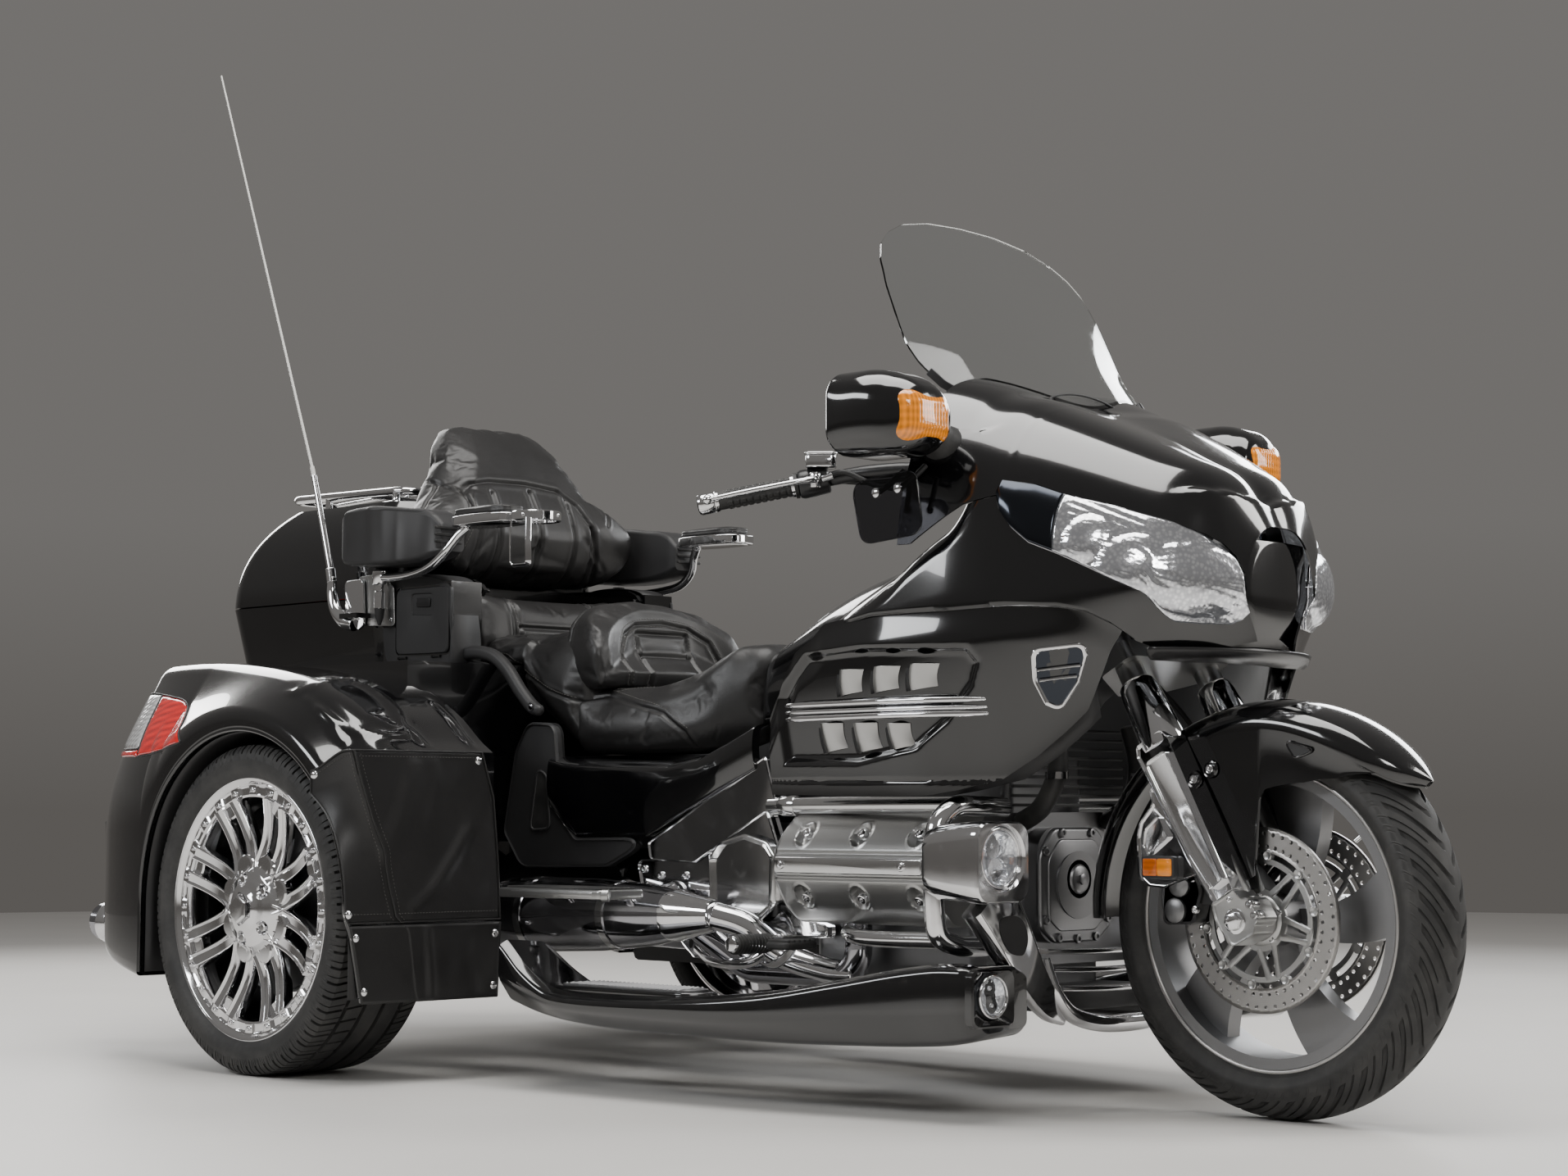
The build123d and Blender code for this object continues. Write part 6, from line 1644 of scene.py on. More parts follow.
@dataclass
class RearWheel:
    """Plated alloy wheel with eight twin-finger spokes, a bolted ring and a domed centre, and its tyre."""

    side: int = -1
    track: float = 657.0
    height: float = 309.0
    spokes: int = 8
    ring_bolts: int = 24
    lugs: int = 5

    @property
    def centre(self) -> Array:
        """Wheel centre."""
        return np.array([0.0, self.side * self.track, self.height])

    @property
    def word(self) -> str:
        """Which side the wheel is on, as used in names."""
        return "right" if self.side < 0 else "left"

    def build(self, bench: Bench) -> None:
        """Make the tyre and the wheel's parts."""
        body = f"rear_wheel_{self.word}"
        self.tyre(bench, body)
        self.barrel(bench, body)
        self.star(bench, body)
        self.dome(bench, body)

    def place(self, radius: float, degrees: float, out: float) -> Array:
        """Point at a radius and an angle, with its distance outwards from the wheel's middle plane."""
        return on_wheel(self.centre, radius, degrees, self.side * out)

    def tyre(self, bench: Bench, body: str) -> None:
        """Low tyre: four grooves round it, cut shoulder blocks, sipes, a knurled band and raised rings."""
        grooves = ((-62, 7), (-21, 8), (21, 8), (62, 7))
        crown = [-97.0, -92, -84, -76]
        for middle, width in grooves:
            crown += [middle - width / 2 - 0.7, middle - width / 2 + 0.5, middle + width / 2 - 0.5,
                      middle + width / 2 + 0.7]
        crown = sorted(crown + [-42, 0, 42, 76, 84, 92, 97])
        top = 309 - 3.2 * (np.abs(crown) / 97) ** 4
        side = smooth_path([(101, 302.5), (107, 296), (111, 286), (112.5, 274), (112, 264), (108, 254),
                            (103, 247)], 16)
        section = np.vstack([side[::-1] * [-1, 1], np.stack([crown, top], 1), side, [(94, 240), (-94, 240)]])
        size = np.abs(section[:, 0])
        outer = section[:, 1] > 245
        offsets = (0, 0.03, 0.16, 0.19, 0.48, 0.50, 0.55, 0.57, 0.78, 0.80)
        block = np.array([0, 1, 1, 0, 0, 0, 0, 0, 0, 0], float)
        sipe = np.array([0, 0, 0, 0, 0, 1, 1, 0, 0, 0], float)
        in_groove = np.zeros(len(section))
        for middle, width in grooves:
            in_groove = np.maximum(in_groove, (np.abs(section[:, 0] - middle) < width / 2) * 1.0)
        shoulder = ((size > 66) & (section[:, 1] > 290)) * 1.0
        inner = ((size > 24) & (size < 59) & (section[:, 1] > 300)) * 1.0
        depth = np.maximum(7.0 * in_groove[None], 6.0 * block[:, None] * shoulder)
        depth = np.maximum(depth, 4.0 * block[:, None] * inner * (section[:, 0] < 0))
        depth = depth + 3.0 * sipe[:, None] * shoulder
        depth = depth + 0.9 * (np.arange(10) % 2)[:, None] * ((section[:, 1] < 290) & (section[:, 1] > 281))
        for radius, lift in ((276, 0.9), (266, 0.8), (255, 1.4)):
            depth = depth - lift * np.exp(-((section[:, 1] - radius) / 1.5) ** 2) * (size > 100) * outer
        skew = 0.55 * np.clip((size - 20) / 80, 0, 1) ** 1.2 * np.sign(section[:, 0])
        bench.piece(f"rear_tyre_tread_{self.word}", treaded(section, 64, offsets, skew, depth, self.centre),
                    TYRE, body, replaces=[f"rear_tyre_{self.word}"], sharp=32)

    def barrel(self, bench: Bench, body: str) -> None:
        """Barrel with rolled lips and the outer ring with its pockets, then the ring's bolts."""
        axis = (0, self.side, 0)
        section = rounded_outline([(103, 246), (96, 247), (84, 235), (20, 216), (-60, 224), (-90, 236),
                                   (-99, 247), (-103, 246), (-102, 236), (-84, 224), (-60, 214), (20, 206),
                                   (80, 214), (94, 232), (101, 239)], 3, 3)
        shell = lathe(section, self.centre, axis, 120, closed=True)
        turns = self.ring_bolts * 16
        angle = np.arange(turns) * 2 * math.pi / turns
        radii = np.array([205, 207, 209, 213, 214.5, 229, 230.5, 234, 237, 240, 243.5, 243.5])
        level = np.array([70, 88, 93, 94.5, 94.5, 94.5, 94.5, 95, 97, 101, 102.5, 90])
        phase = (np.arange(turns) % 16) / 16
        in_pocket = step_between(0.22, 0.27, phase) * step_between(0.78, 0.73, phase)
        pit = np.array([0, 0, 0, 0, 1, 1, 0, 0, 0, 0, 0, 0], float)
        heights = level[None] - 4.5 * in_pocket[:, None] * pit[None]
        grid = np.stack([self.centre[0] + radii[None] * np.cos(angle)[:, None],
                         self.centre[1] + self.side * heights,
                         self.centre[2] + radii[None] * np.sin(angle)[:, None]], -1)
        bench.piece(f"rim_{self.word}", shell + net(grid, wrap_u=True), CHROME, body,
                    replaces=[f"rear_rim_{self.word}"], sharp=34)
        bolts = joined(bolt(self.place(221.5, number * 360 / self.ring_bolts, 94.6), axis, 4.6, 4.0, 14)
                       for number in range(self.ring_bolts))
        bench.piece(f"rim_bolts_{self.word}", bolts, CHROME, body)

    def star(self, bench: Bench, body: str) -> None:
        """Sixteen fingers in pairs: each dips below the ring and widens at both of its ends."""
        made = EMPTY
        t = np.linspace(0, 1, 22)
        bar = np.array([(-13, -12), (13, -12), (13, 8), (12.2, 9.6), (10.6, 10), (9, 8.6), (6.5, 5.2),
                        (-6.5, 5.2), (-9, 8.6), (-10.6, 10), (-12.2, 9.6), (-13, 8)]) * [1, -self.side]
        for number in range(self.spokes):
            middle = (number + 0.5) * 360 / self.spokes
            for sign in (-1, 1):
                radius = 62 + 150 * t
                offset = sign * (22.5 + 3.5 * t)
                dip = 88 - 15 * np.sin(math.pi * t ** 0.8) + 4 * t ** 4
                turn = middle + np.degrees(np.arcsin(offset / radius))
                path = np.stack([self.place(r, a, d) for r, a, d in zip(radius, turn, dip)])
                width = 0.92 + 0.12 * (1 - t) ** 2 + 0.12 * t ** 3
                made += carried(bar, path, width, hint=self.place(1, middle + 90, 0) - self.place(0, 0, 0))
            for radius, size, level in ((214, 32, 89), (82, 25, 88)):
                pad = lathe([(-18, 0), (-18, size), (-3, size), (0, size - 3), (0.6, 0)],
                            self.place(radius, middle, level), (0, self.side, 0), 30)
                made += pad
        bench.piece(f"rim_spokes_{self.word}", made, CHROME, body, sharp=30)
        drum = lathe([(-30, 24), (-30, 158), (34, 158), (34, 150), (40, 60), (40, 24)], self.centre,
                     (0, self.side, 0), 72, closed=True)
        bench.piece(f"brake_drum_{self.word}", drum, SATIN, body)

    def dome(self, bench: Bench, body: str) -> None:
        """Mirror dome sunk round five lug nuts, with a hexagonal cap on its middle."""
        turns, rows = 180, 44
        angle = np.arange(turns) * 2 * math.pi / turns
        radius = np.linspace(0, 1, rows) ** 0.8 * 86
        level = 116 - 5 * (radius / 34) ** 2
        level = np.where(radius > 30, np.interp(radius, [30, 38, 52, 70, 82, 85, 86],
                                                [111, 107, 104, 97, 86, 78, 66]), level)
        r, a = np.meshgrid(radius, angle)
        heights = np.broadcast_to(level, r.shape).copy()
        for number in range(self.lugs):
            turn = (number + 0.5) * 2 * math.pi / self.lugs
            away = np.hypot(r * np.cos(a) - 57 * math.cos(turn), r * np.sin(a) - 57 * math.sin(turn))
            heights -= 17 * step_between(13.5, 10.5, away)
        grid = np.stack([self.centre[0] + r * np.cos(a), self.centre[1] + self.side * heights,
                         self.centre[2] + r * np.sin(a)], -1)
        bench.piece(f"hub_dome_{self.word}", net(grid, wrap_u=True), CHROME, body, sharp=50)
        nuts = joined(hex_bolt(self.place(57, (number + 0.5) * 360 / self.lugs, 84), (0, self.side, 0), 8.5,
                               17) for number in range(self.lugs))
        cap_path = np.stack([self.place(0, 0, d) for d in (104, 116, 124, 127)])
        nuts += carried(hexagon(27), cap_path, np.array([1.12, 1.05, 1.0, 0.82]), hint=UP)
        bench.piece(f"lug_nuts_{self.word}", nuts, CHROME, body, bevel=0.8)


@dataclass
class RearWheels:
    """Both rear wheels."""

    def build(self, bench: Bench) -> None:
        """Make the right and the left wheel."""
        for side in (-1, 1):
            RearWheel(side).build(bench)


# Front end

RAKE = math.radians(29.25)
UP_THE_FORK = np.array([-math.sin(RAKE), 0.0, math.cos(RAKE)])
AHEAD_OF_FORK = np.array([math.cos(RAKE), 0.0, math.sin(RAKE)])


def on_fork(run: float, ahead: float = 0.0, y: float = 0.0) -> Array:
    """Point that far up the fork from the axle, that far ahead of it and across."""
    return np.array(FRONT_AXLE) + UP_THE_FORK * run + AHEAD_OF_FORK * ahead + [0, y, 0]


def beside_fork(uv: Array, level: Array) -> Array:
    """Outline (ahead, run) beside the fork at a level along Y."""
    p = np.array(FRONT_AXLE) + uv[:, :1] * AHEAD_OF_FORK + uv[:, 1:2] * UP_THE_FORK
    return p + np.stack([0 * level, level, 0 * level], 1)


def oval_patch(points: Array, count: int) -> Array:
    """Closed outline through points, evenly sampled."""
    return smooth_path(points, count, closed=True)


@dataclass
class FrontFender:
    """Wrap-around fender.

    A point is given by the angle round the axle and by a share of the section. The section is a rounded crown
    and a side that runs down to a lower limit, which follows the skirt and the two legs beside the fork.
    """

    radius: float = 353.5
    # angle from straight ahead in degrees, radius at which the side ends, half-width
    limits: tuple[tuple[float, float, float], ...] = ((38.5, 351, 6), (40, 349, 24), (42.5, 340, 44),
                                                      (48, 312, 66), (56, 270, 80), (66, 238, 88),
                                                      (76, 220, 90), (84, 208, 90), (86.5, 190, 90),
                                                      (87.5, 96, 90), (89, 70, 90), (100, 64, 90),
                                                      (118.5, 68, 90), (120.5, 80, 90), (123.5, 270, 90),
                                                      (125, 306, 90), (139, 328, 90), (169, 324, 88),
                                                      (181, 326, 84))

    def build(self, bench: Bench) -> None:
        """Make the shell, its vents and its bolts."""
        table = np.array(self.limits)
        angle = np.concatenate([np.linspace(38.5, 56, 30), np.linspace(57, 84, 22), np.linspace(84.6, 90, 16),
                                np.linspace(91, 118, 18), np.linspace(118.6, 126, 18),
                                np.linspace(127, 181, 34)])
        low = np.interp(angle, table[:, 0], table[:, 1])
        half = blend_curve(table[:, 0], table[:, 2], angle)[:, 0]
        crown = np.array([(0, 0), (14, 0.4), (30, 2.2), (46, 5.4), (60, 9.6), (70, 13.2), (76, 16.6),
                          (80, 21), (84.5, 26.4), (88, 33), (90, 41), (90, 48)], float)
        down = np.linspace(0, 1, 26)[1:] ** 1.15
        rows = []
        for r_low, w in zip(low, half):
            squeeze = w / 90
            arc = np.stack([crown[:, 0] * squeeze, self.radius - crown[:, 1] * (0.25 + 0.75 * squeeze)], 1)
            end = arc[-1]
            side = np.stack([end[0] - 5 * np.sin(math.pi * down) * 0.5 - 3 * down,
                             end[1] + (min(r_low, end[1] - 1) - end[1]) * down], 1)
            rows.append(np.vstack([arc, side]))
        half_section = np.stack(rows)
        whole = np.concatenate([half_section[:, :0:-1] * [-1, 1], half_section], 1)
        cos_a, sin_a = np.cos(np.radians(angle))[:, None], np.sin(np.radians(angle))[:, None]
        grid = np.stack([FRONT_AXLE[0] + whole[..., 1] * cos_a, whole[..., 0],
                         FRONT_AXLE[2] + whole[..., 1] * sin_a], -1)
        bench.piece("fender_shell", net(grid), GLOSS, "steering", wall=3.4, bevel=0.8, sharp=50,
                    replaces=["front_fender"])
        self.vents(bench)

    def vents(self, bench: Bench) -> None:
        """Triangular vents drawn as dark plates that stand for the shade in their openings, with a bright
        lower lip, and the four recessed bolts with plated cups.
        """
        ax, _, az = FRONT_AXLE
        corners = rounded_outline([(ax + 62, az + 286), (ax + 126, az + 268), (ax + 84, az + 256)], [7, 7, 7],
                                  5)
        lip = np.stack([corners[:, 0], np.full(len(corners), -91.2), corners[:, 1]], 1)
        rim = carried(circle(1.7, 8), np.vstack([lip, lip[:1]]), hint=LEFT, caps=False)
        # painted shade: dark matte plates stand for the shade inside the vent openings
        bench.piece("fender_vent_shade_plates", slab(corners, -91.4, -87, 1).both(), MATTE, "steering")
        bench.piece("fender_vent_lips", rim.both(), GLOSS, "steering")
        cups = bolts = EMPTY
        for x, z in ((1716, 560), (1752, 418)):
            at = (x, -90.6, z)
            cups += lathe([(0, 15), (1.6, 14), (2.2, 11.5), (-1, 10), (-1.4, 0)], at, RIGHT, 28)
            bolts += bolt((x, -89.6, z), RIGHT, 7.4, 5, 22)
        bench.piece("fender_bolt_cups", cups.both(), GLOSS, "steering")
        bench.piece("fender_bolts", bolts.both(), CHROME, "steering")


@dataclass
class ForkTrim:
    """Plated covers with their wings and reflectors, axle clamps, calipers and hoses."""

    outer: float = -142.0
    inner: float = -97.0

    def build(self, bench: Bench) -> None:
        """Make every piece of the fork's lower half."""
        self.covers(bench)
        self.reflectors(bench)
        self.foot(bench)
        self.calipers(bench)
        self.hoses(bench)

    def covers(self, bench: Bench) -> None:
        """Long plate with bevelled front edge, stepped wing with its sunk panel, and the round cap above."""
        plate = slab(rounded_outline([(-20, 40), (24, 44), (33, 318), (26, 334), (-30, 334), (-37, 318),
                                      (-31, 125)], [5, 5, 14, 8, 8, 14, 30], 5), self.inner, self.outer + 5,
                     5, beside_fork, 4)
        ridge = slab(rounded_outline([(-12, 62), (17, 66), (21, 300), (-24, 300), (-22, 130)],
                                     [4, 4, 8, 8, 20], 4), self.outer + 9, self.outer, 4.5, beside_fork, 4)
        wing = slab(rounded_outline([(-24, 96), (-20, 262), (-44, 262), (-52, 238), (-88, 226), (-104, 208),
                                     (-134, 152), (-124, 128), (-96, 110)], [6, 4, 8, 10, 12, 30, 12, 14, 24],
                                    5), self.inner - 10, self.outer + 9, 5, beside_fork, 4)
        sunk = slab(rounded_outline([(-48, 176), (-46, 218), (-84, 210), (-100, 188), (-98, 170)],
                                    [5, 8, 14, 8, 5], 4), self.outer + 13, self.outer + 5.5, 3.5, beside_fork,
                    3)
        caps = lathe([(318, 22), (318, 37.6), (326, 38.6), (420, 33.2), (434, 31.4), (440, 27), (441, 22.6)],
                     on_fork(0, 0, -106), UP_THE_FORK, 48, closed=True)
        made = plate + ridge + wing + sunk + caps
        bench.piece("fork_cover_plates", made.both(), CHROME, "steering", replaces=["fork_covers"], sharp=34)

    def reflectors(self, bench: Bench) -> None:
        """Two-tone amber reflector in its black rim."""
        outline = rounded_outline([(1616, 384), (1681, 384), (1681, 420), (1616, 420)], 6, 4)
        bench.piece("reflector_rims", slab(outline, -144.6, -132, 2).both(), MATTE, "steering")
        lens = slab(rounded_outline([(1648.6, 388), (1677, 388), (1677, 416), (1648.6, 416)], 3, 3),
                           -146.6, -140, 1)
        dark = slab(rounded_outline([(1620, 388), (1648, 388), (1648, 416), (1620, 416)], 3, 3),
                           -146.4, -140, 1)
        bench.piece("reflector_lenses", lens.both(), AMBER, "steering")
        bench.piece("reflector_dark_halves", dark.both(), AMBER_DARK, "steering")

    def foot(self, bench: Bench) -> None:
        """Clamp round the axle with its pinch bolts, and the axle's own hexagon."""
        block = slab(rounded_outline([(-26, -34), (24, -36), (32, -24), (44, -20), (44, 18), (30, 26),
                                      (24, 44), (-24, 44), (-30, 20)], [12, 10, 6, 8, 8, 8, 6, 6, 16], 5),
                     -96, -138, 5, beside_fork, 4)
        bench.piece("axle_clamps", block.both(), SILVER, "steering", sharp=34)
        bolts = hex_bolt((FRONT_AXLE[0], -138, FRONT_AXLE[2]), RIGHT, 15, 11)
        for run in (-10, 9):
            bolts += bolt(on_fork(run, 40, -124), RIGHT, 7.5, 22, 20)
        bolts += bolt(on_fork(34, 8, -138), RIGHT, 5, 4, 16)
        bench.piece("axle_bolts", bolts.both(), CHROME, "steering")
        spacer = lathe([(-98, 30), (-76, 34), (-74, 30), (-74, 16), (-98, 16)], np.array(FRONT_AXLE), LEFT,
                       48, closed=True)
        bench.piece("axle_spacers", spacer.both(), SILVER, "steering")

    def calipers(self, bench: Bench) -> None:
        """Grey bodies with two piston bosses, a bridge, pad pins and bleed screws."""
        p = on_fork(35)
        x, z = p[0] - 118, p[2] + 4
        body = slab(rounded_outline([(x - 32, z - 46), (x + 28, z - 44), (x + 45, z + 8), (x + 30, z + 52),
                                     (x - 24, z + 46), (x - 40, z + 6)], [14, 12, 20, 14, 16, 26], 5),
                    -102, -78, 5, None, 4)
        for dz in (-22, 20):
            body += lathe([(0, 21), (5, 20), (8, 16), (8.6, 0)], (x - 2 + dz * 0.2, -102, z + dz), RIGHT, 32)
        bench.piece("caliper_bodies", body.both(), CAST, "steering")
        pins = joined(bolt((x + dx, -102, z + dz), RIGHT, 6.5, 6)
                      for dx, dz in ((30, 30), (34, -20), (-30, 34)))
        pins += tube([(x - 34, -96, z + 26), (x - 48, -96, z + 34)], 4, 6, 12)
        bench.piece("caliper_pins", pins.both(), CHROME, "steering")

    def hoses(self, bench: Bench) -> None:
        """Brake hoses from the calipers up behind the fork to the lower clamp, with plated ends."""
        p = on_fork(35)
        x, z = p[0] - 118, p[2] + 4
        hose = tube([(x + 4, -94, z + 50), (x - 8, -98, z + 90), (x - 34, -90, z + 160),
                     on_fork(330, -52, -84), on_fork(400, -46, -60), on_fork(470, -52, -30)], 4.6, 60, 12)
        ends = tube([(x + 5, -94, z + 44), (x - 2, -96, z + 70)], 6.4, 6, 14)
        bench.piece("brake_hoses", hose.both(), GRIP, "steering")
        bench.piece("hose_ends", ends.both(), CHROME, "steering")
        clip = lathe([(-6, 9), (6, 9), (6, 6), (-6, 6)], on_fork(330, -52, -84), UP_THE_FORK, 20, closed=True)
        bench.piece("hose_clips", clip.both(), CHROME, "steering")


@dataclass
class Controls:
    """Bars, ribbed grips, bar ends, switch housings, fluid tanks, levers and their cables."""

    inner: tuple[float, float, float] = (1003, -285, 1066)
    outer: tuple[float, float, float] = (866, -408, 1030)
    bar_radius: float = 12.7

    def build(self, bench: Bench) -> None:
        """Make every piece of the handlebar."""
        a, b = np.array(self.inner), np.array(self.outer)
        out = (b - a) / np.linalg.norm(b - a)
        ahead = np.array([0.62, -0.72, 0]) / np.hypot(0.62, 0.72)
        root = on_fork(687) + [-52, -62, 6]
        bar = tube([root + [4, 0, -6], root, (1352, -74, 1014), (1290, -112, 1040), (1190, -190, 1080),
                    (1110, -232, 1082), a - out * 30, a], self.bar_radius, 70, 24)
        clamp = lathe([(-14, 0), (-14, 22), (-10, 25), (24, 25), (30, 22), (32, 0)], root, (-0.38, 0, 0.92),
                      32)
        bench.piece("bars", (bar + clamp).both(), SATIN, "steering", replaces=["handlebar"])
        self.grip(bench, a, out)
        housing = lathe([(-36, 0), (-36, 20), (-33, 24), (-8, 25.5), (12, 25.5), (18, 23), (20, 18), (20, 0)],
                        a, out, 36)
        switches = EMPTY
        for shift, rise, size in ((-18, 14, 9), (-2, 16, 7), (-20, -8, 7)):
            at = a + out * shift - ahead * 22 + np.array([0, 0, rise])
            switches += lathe([(0, 0), (0, size), (5, size * 0.9), (7, size * 0.6), (7.4, 0)], at, -ahead, 16)
        bench.piece("switch_housings", (housing + switches).both(), SATIN, "steering")
        self.tank(bench, a - out * 22 + ahead * 18 + [0, 0, 34], out)
        self.lever(bench, a, b, out, ahead)

    def grip(self, bench: Bench, a: Array, out: Array) -> None:
        """Rubber sleeve with raised pads in rows, its inner flange, plated rings and the bar-end weight."""
        start, length = a + out * 20, 164 - 20.0
        turns, rings = 48, 73
        along_grip = np.linspace(0, length - 2, rings)
        pads = (np.arange(rings) % 6 < 4)[:, None] * (np.arange(turns) % 6 < 4)[None]
        edge = (along_grip > 12) & (along_grip < length - 14)
        radius = 16.2 + 1.5 * pads * edge[:, None] + 6.5 * (along_grip < 6)[:, None]
        n, b = frames_along(start + np.outer([0, 1, 2], out))
        t = np.arange(turns) * 2 * math.pi / turns
        ring = np.cos(t)[:, None] * n[0] + np.sin(t)[:, None] * b[0]
        grid = start + along_grip[:, None, None] * out + radius[..., None] * ring[None]
        bench.piece("grip_sleeves", net(grid, wrap_v=True, cap_u=True).both(), GRIP, "steering",
                    replaces=["grips"], sharp=30)
        end = start + out * length
        weight = lathe([(-2, 0), (-2, 18), (3, 19), (5, 17.4), (7, 19), (30, 19), (34, 17), (36, 12),
                        (36.4, 0)], end, out, 36)
        collar = lathe([(-4, 18), (-4, 20.4), (3, 20.4), (3, 18)], start + out * 9, out, 32, closed=True)
        bench.piece("bar_ends", (weight + collar).both(), CHROME, "steering")

    def tank(self, bench: Bench, centre: Array, out: Array) -> None:
        """Fluid tank: a body, a flanged lid with two screws and a round window."""
        across_bar = np.array([out[0], out[1], 0]) / np.hypot(out[0], out[1])
        side = np.cross([0, 0, 1], across_bar)

        def put(uv: Array, level: Array) -> Array:
            """Outline in the tank's own plan at a height."""
            return centre + uv[:, :1] * across_bar + uv[:, 1:2] * side + np.stack([0 * level, 0 * level,
                                                                                   level], 1)
        body = slab(ring_section(54, 42, 10, 32), -14, 8, 3, put, 3)
        lid = slab(ring_section(58, 46, 11, 32), 8.4, 13, 2, put, 3)
        bench.piece("fluid_tanks", body.both(), CHROME, "steering")
        bench.piece("fluid_lids", lid.both(), CHROME, "steering")
        screws = joined(bolt(centre + across_bar * u + [0, 0, 12.6], UP, 4, 2.4, 14)
                        for u in (-20, 20))
        window = lathe([(0, 9), (3, 9), (4, 6), (4.2, 0)], centre - side * 20.6 - [0, 0, 3], -side, 24)
        bench.piece("tank_screws", (screws + window).both(), SATIN, "steering")

    def lever(self, bench: Bench, a: Array, b: Array, out: Array, ahead: Array) -> None:
        """Flattened lever blade with a ball end, its pivot and the cable that leaves the housing."""
        root = a + ahead * 44 - out * 6
        tip = b + ahead * 52 - out * 14
        mid = (root + tip) / 2 + ahead * 9
        path = smooth_path([a - out * 12 + ahead * 20, root, mid, tip], 40)
        size = np.interp(np.linspace(0, 1, 40), [0, 0.15, 0.3, 0.8, 0.97, 1],
                         [1.25, 1.2, 0.95, 0.85, 0.7, 0.6])
        blade = carried(circle(1, 18) * [6.2, 8.4], path, size)
        ball = lathe([(9 * math.cos(t), 9 * math.sin(t)) for t in np.linspace(0, math.pi, 15)], tip + out * 4,
                     out, 24)
        pivot = lathe([(-13, 0), (-13, 9), (-11, 10), (11, 10), (13, 9), (13, 0)], a - out * 12 + ahead * 26,
                      UP, 28)
        bench.piece("lever_blades", (blade + ball + pivot).both(), CHROME, "steering")
        cable = tube([a - out * 26 + ahead * 24, a - out * 60 + ahead * 30 + [0, 0, 4], (1120, -232, 1056),
                      (1226, -168, 1040), (1338, -84, 1000)], 5, 50, 12)
        wire = tube([a - out * 30 - ahead * 10, (1090, -232, 1064), (1190, -184, 1066), (1312, -100, 1028)],
                    4, 40, 10)
        bench.piece("control_cables", (cable + wire).both(), GRIP, "steering")
        ends = tube([a - out * 24 + ahead * 24, a - out * 44 + ahead * 27 + [0, 0, 2]], 6.4, 6, 14)
        bench.piece("cable_ends", ends.both(), CHROME, "steering")


# Power unit and what stands beside it

@dataclass
class CylinderHeads:
    """Satin head covers with sunk bolt wells, plated bands and the bars above them."""

    rear: float = 990.0
    front: float = 1352.0
    well_radius: float = 19.0
    well_depth: float = 15.0
    # outline in the front view, as (half-width, height)
    outline: tuple[tuple[float, float], ...] = (
        (222, 488), (296, 495), (334, 462), (352, 440), (362, 422), (363, 400), (362, 378), (352, 358),
        (334, 330), (300, 300), (222, 300))

    def build(self, bench: Bench) -> None:
        """Make the covers, bands, bars and bolts."""
        knots = rounded_open(self.outline, 12)
        gaps = np.concatenate([[0], np.cumsum(np.linalg.norm(np.diff(knots, axis=0), axis=1))])
        share = np.linspace(0, gaps[-1], 150)
        skin = np.stack([np.interp(share, gaps, knots[:, 0]), np.interp(share, gaps, knots[:, 1])], 1)
        out = np.gradient(skin, axis=0)
        out = np.stack([-out[:, 1], out[:, 0]], 1)
        out /= np.linalg.norm(out, axis=1)[:, None]
        x = np.linspace(self.rear, self.front, 150)
        xx = np.broadcast_to(x[:, None], (len(x), len(skin)))
        half = np.broadcast_to(skin[None, :, 0], xx.shape)
        level = np.broadcast_to(skin[None, :, 1], xx.shape)
        sink = 3.0 * step_between(9, 2, np.minimum(xx - self.rear, self.front - xx)) ** 2
        sink = sink + 2.2 * (step_between(417, 419, level) * step_between(425, 423, level)
                             + step_between(375, 377, level) * step_between(383, 381, level)) * (half > 330)
        wells = [(self.rear + 60 + 130 * n, z) for n in range(3) for z in (452, 347)]
        for wx, wz in wells:
            away = np.hypot(xx - wx, level - wz) + 90 * (half < 300)
            sink = (sink + self.well_depth * step_between(self.well_radius, self.well_radius - 3.5, away)
                    - 1.6 * np.exp(-((away - self.well_radius - 2) / 1.6) ** 2))
        sign = -1.0 if (out[75, 0] > 0) else 1.0
        points = np.stack([xx, -(half + sign * sink * out[None, :, 0]),
                           level + sign * sink * out[None, :, 1]], -1)
        ends = [points[0].mean(0), points[-1].mean(0)]
        grid = np.concatenate([np.broadcast_to(ends[0] + [6, 0, 0], points[:1].shape), points,
                               np.broadcast_to(ends[1] - [6, 0, 0], points[:1].shape)])
        bench.piece("head_covers", net(grid).both(), SILVER, replaces=["cylinder_heads"], sharp=44)
        bolts = EMPTY
        for wx, wz in wells:
            rise = 0.62 if wz > 400 else -0.62
            bolts += bolt((wx, -334, wz + rise * -2), (0, -1, rise), 9.5, 10, 24)
        band = slab(rounded_outline([(1000, 386), (1342, 386), (1342, 414), (1000, 414)], 6, 4), -372, -356,
                    3)
        bench.piece("head_bands", band.both(), DUSTY_CHROME)
        for bx in (1018, 1298):
            bolts += bolt((bx, -372, 400), RIGHT, 7.5, 3.4, 24)
        bench.piece("head_bolts", bolts.both(), CHROME)
        bars = tube([(925, -300, 486), (960, -304, 487), (1300, -318, 489), (1396, -318, 489)], 15, 40, 24)
        collar = lathe([(0, 0), (0, 17), (3, 18.5), (34, 18.5), (38, 17), (38, 0)], (958, -304, 487),
                       (1, -0.02, 0), 32)
        bench.piece("head_bars", (bars.moved(0, 0, 14) + collar.moved(0, 0, 14)).both(), DUSTY_CHROME)
        lower = tube([(1110, -300, 286), (1150, -318, 280), (1360, -318, 280)], 14, 24, 20)
        bench.piece("water_pipes", lower.both(), CHROME)


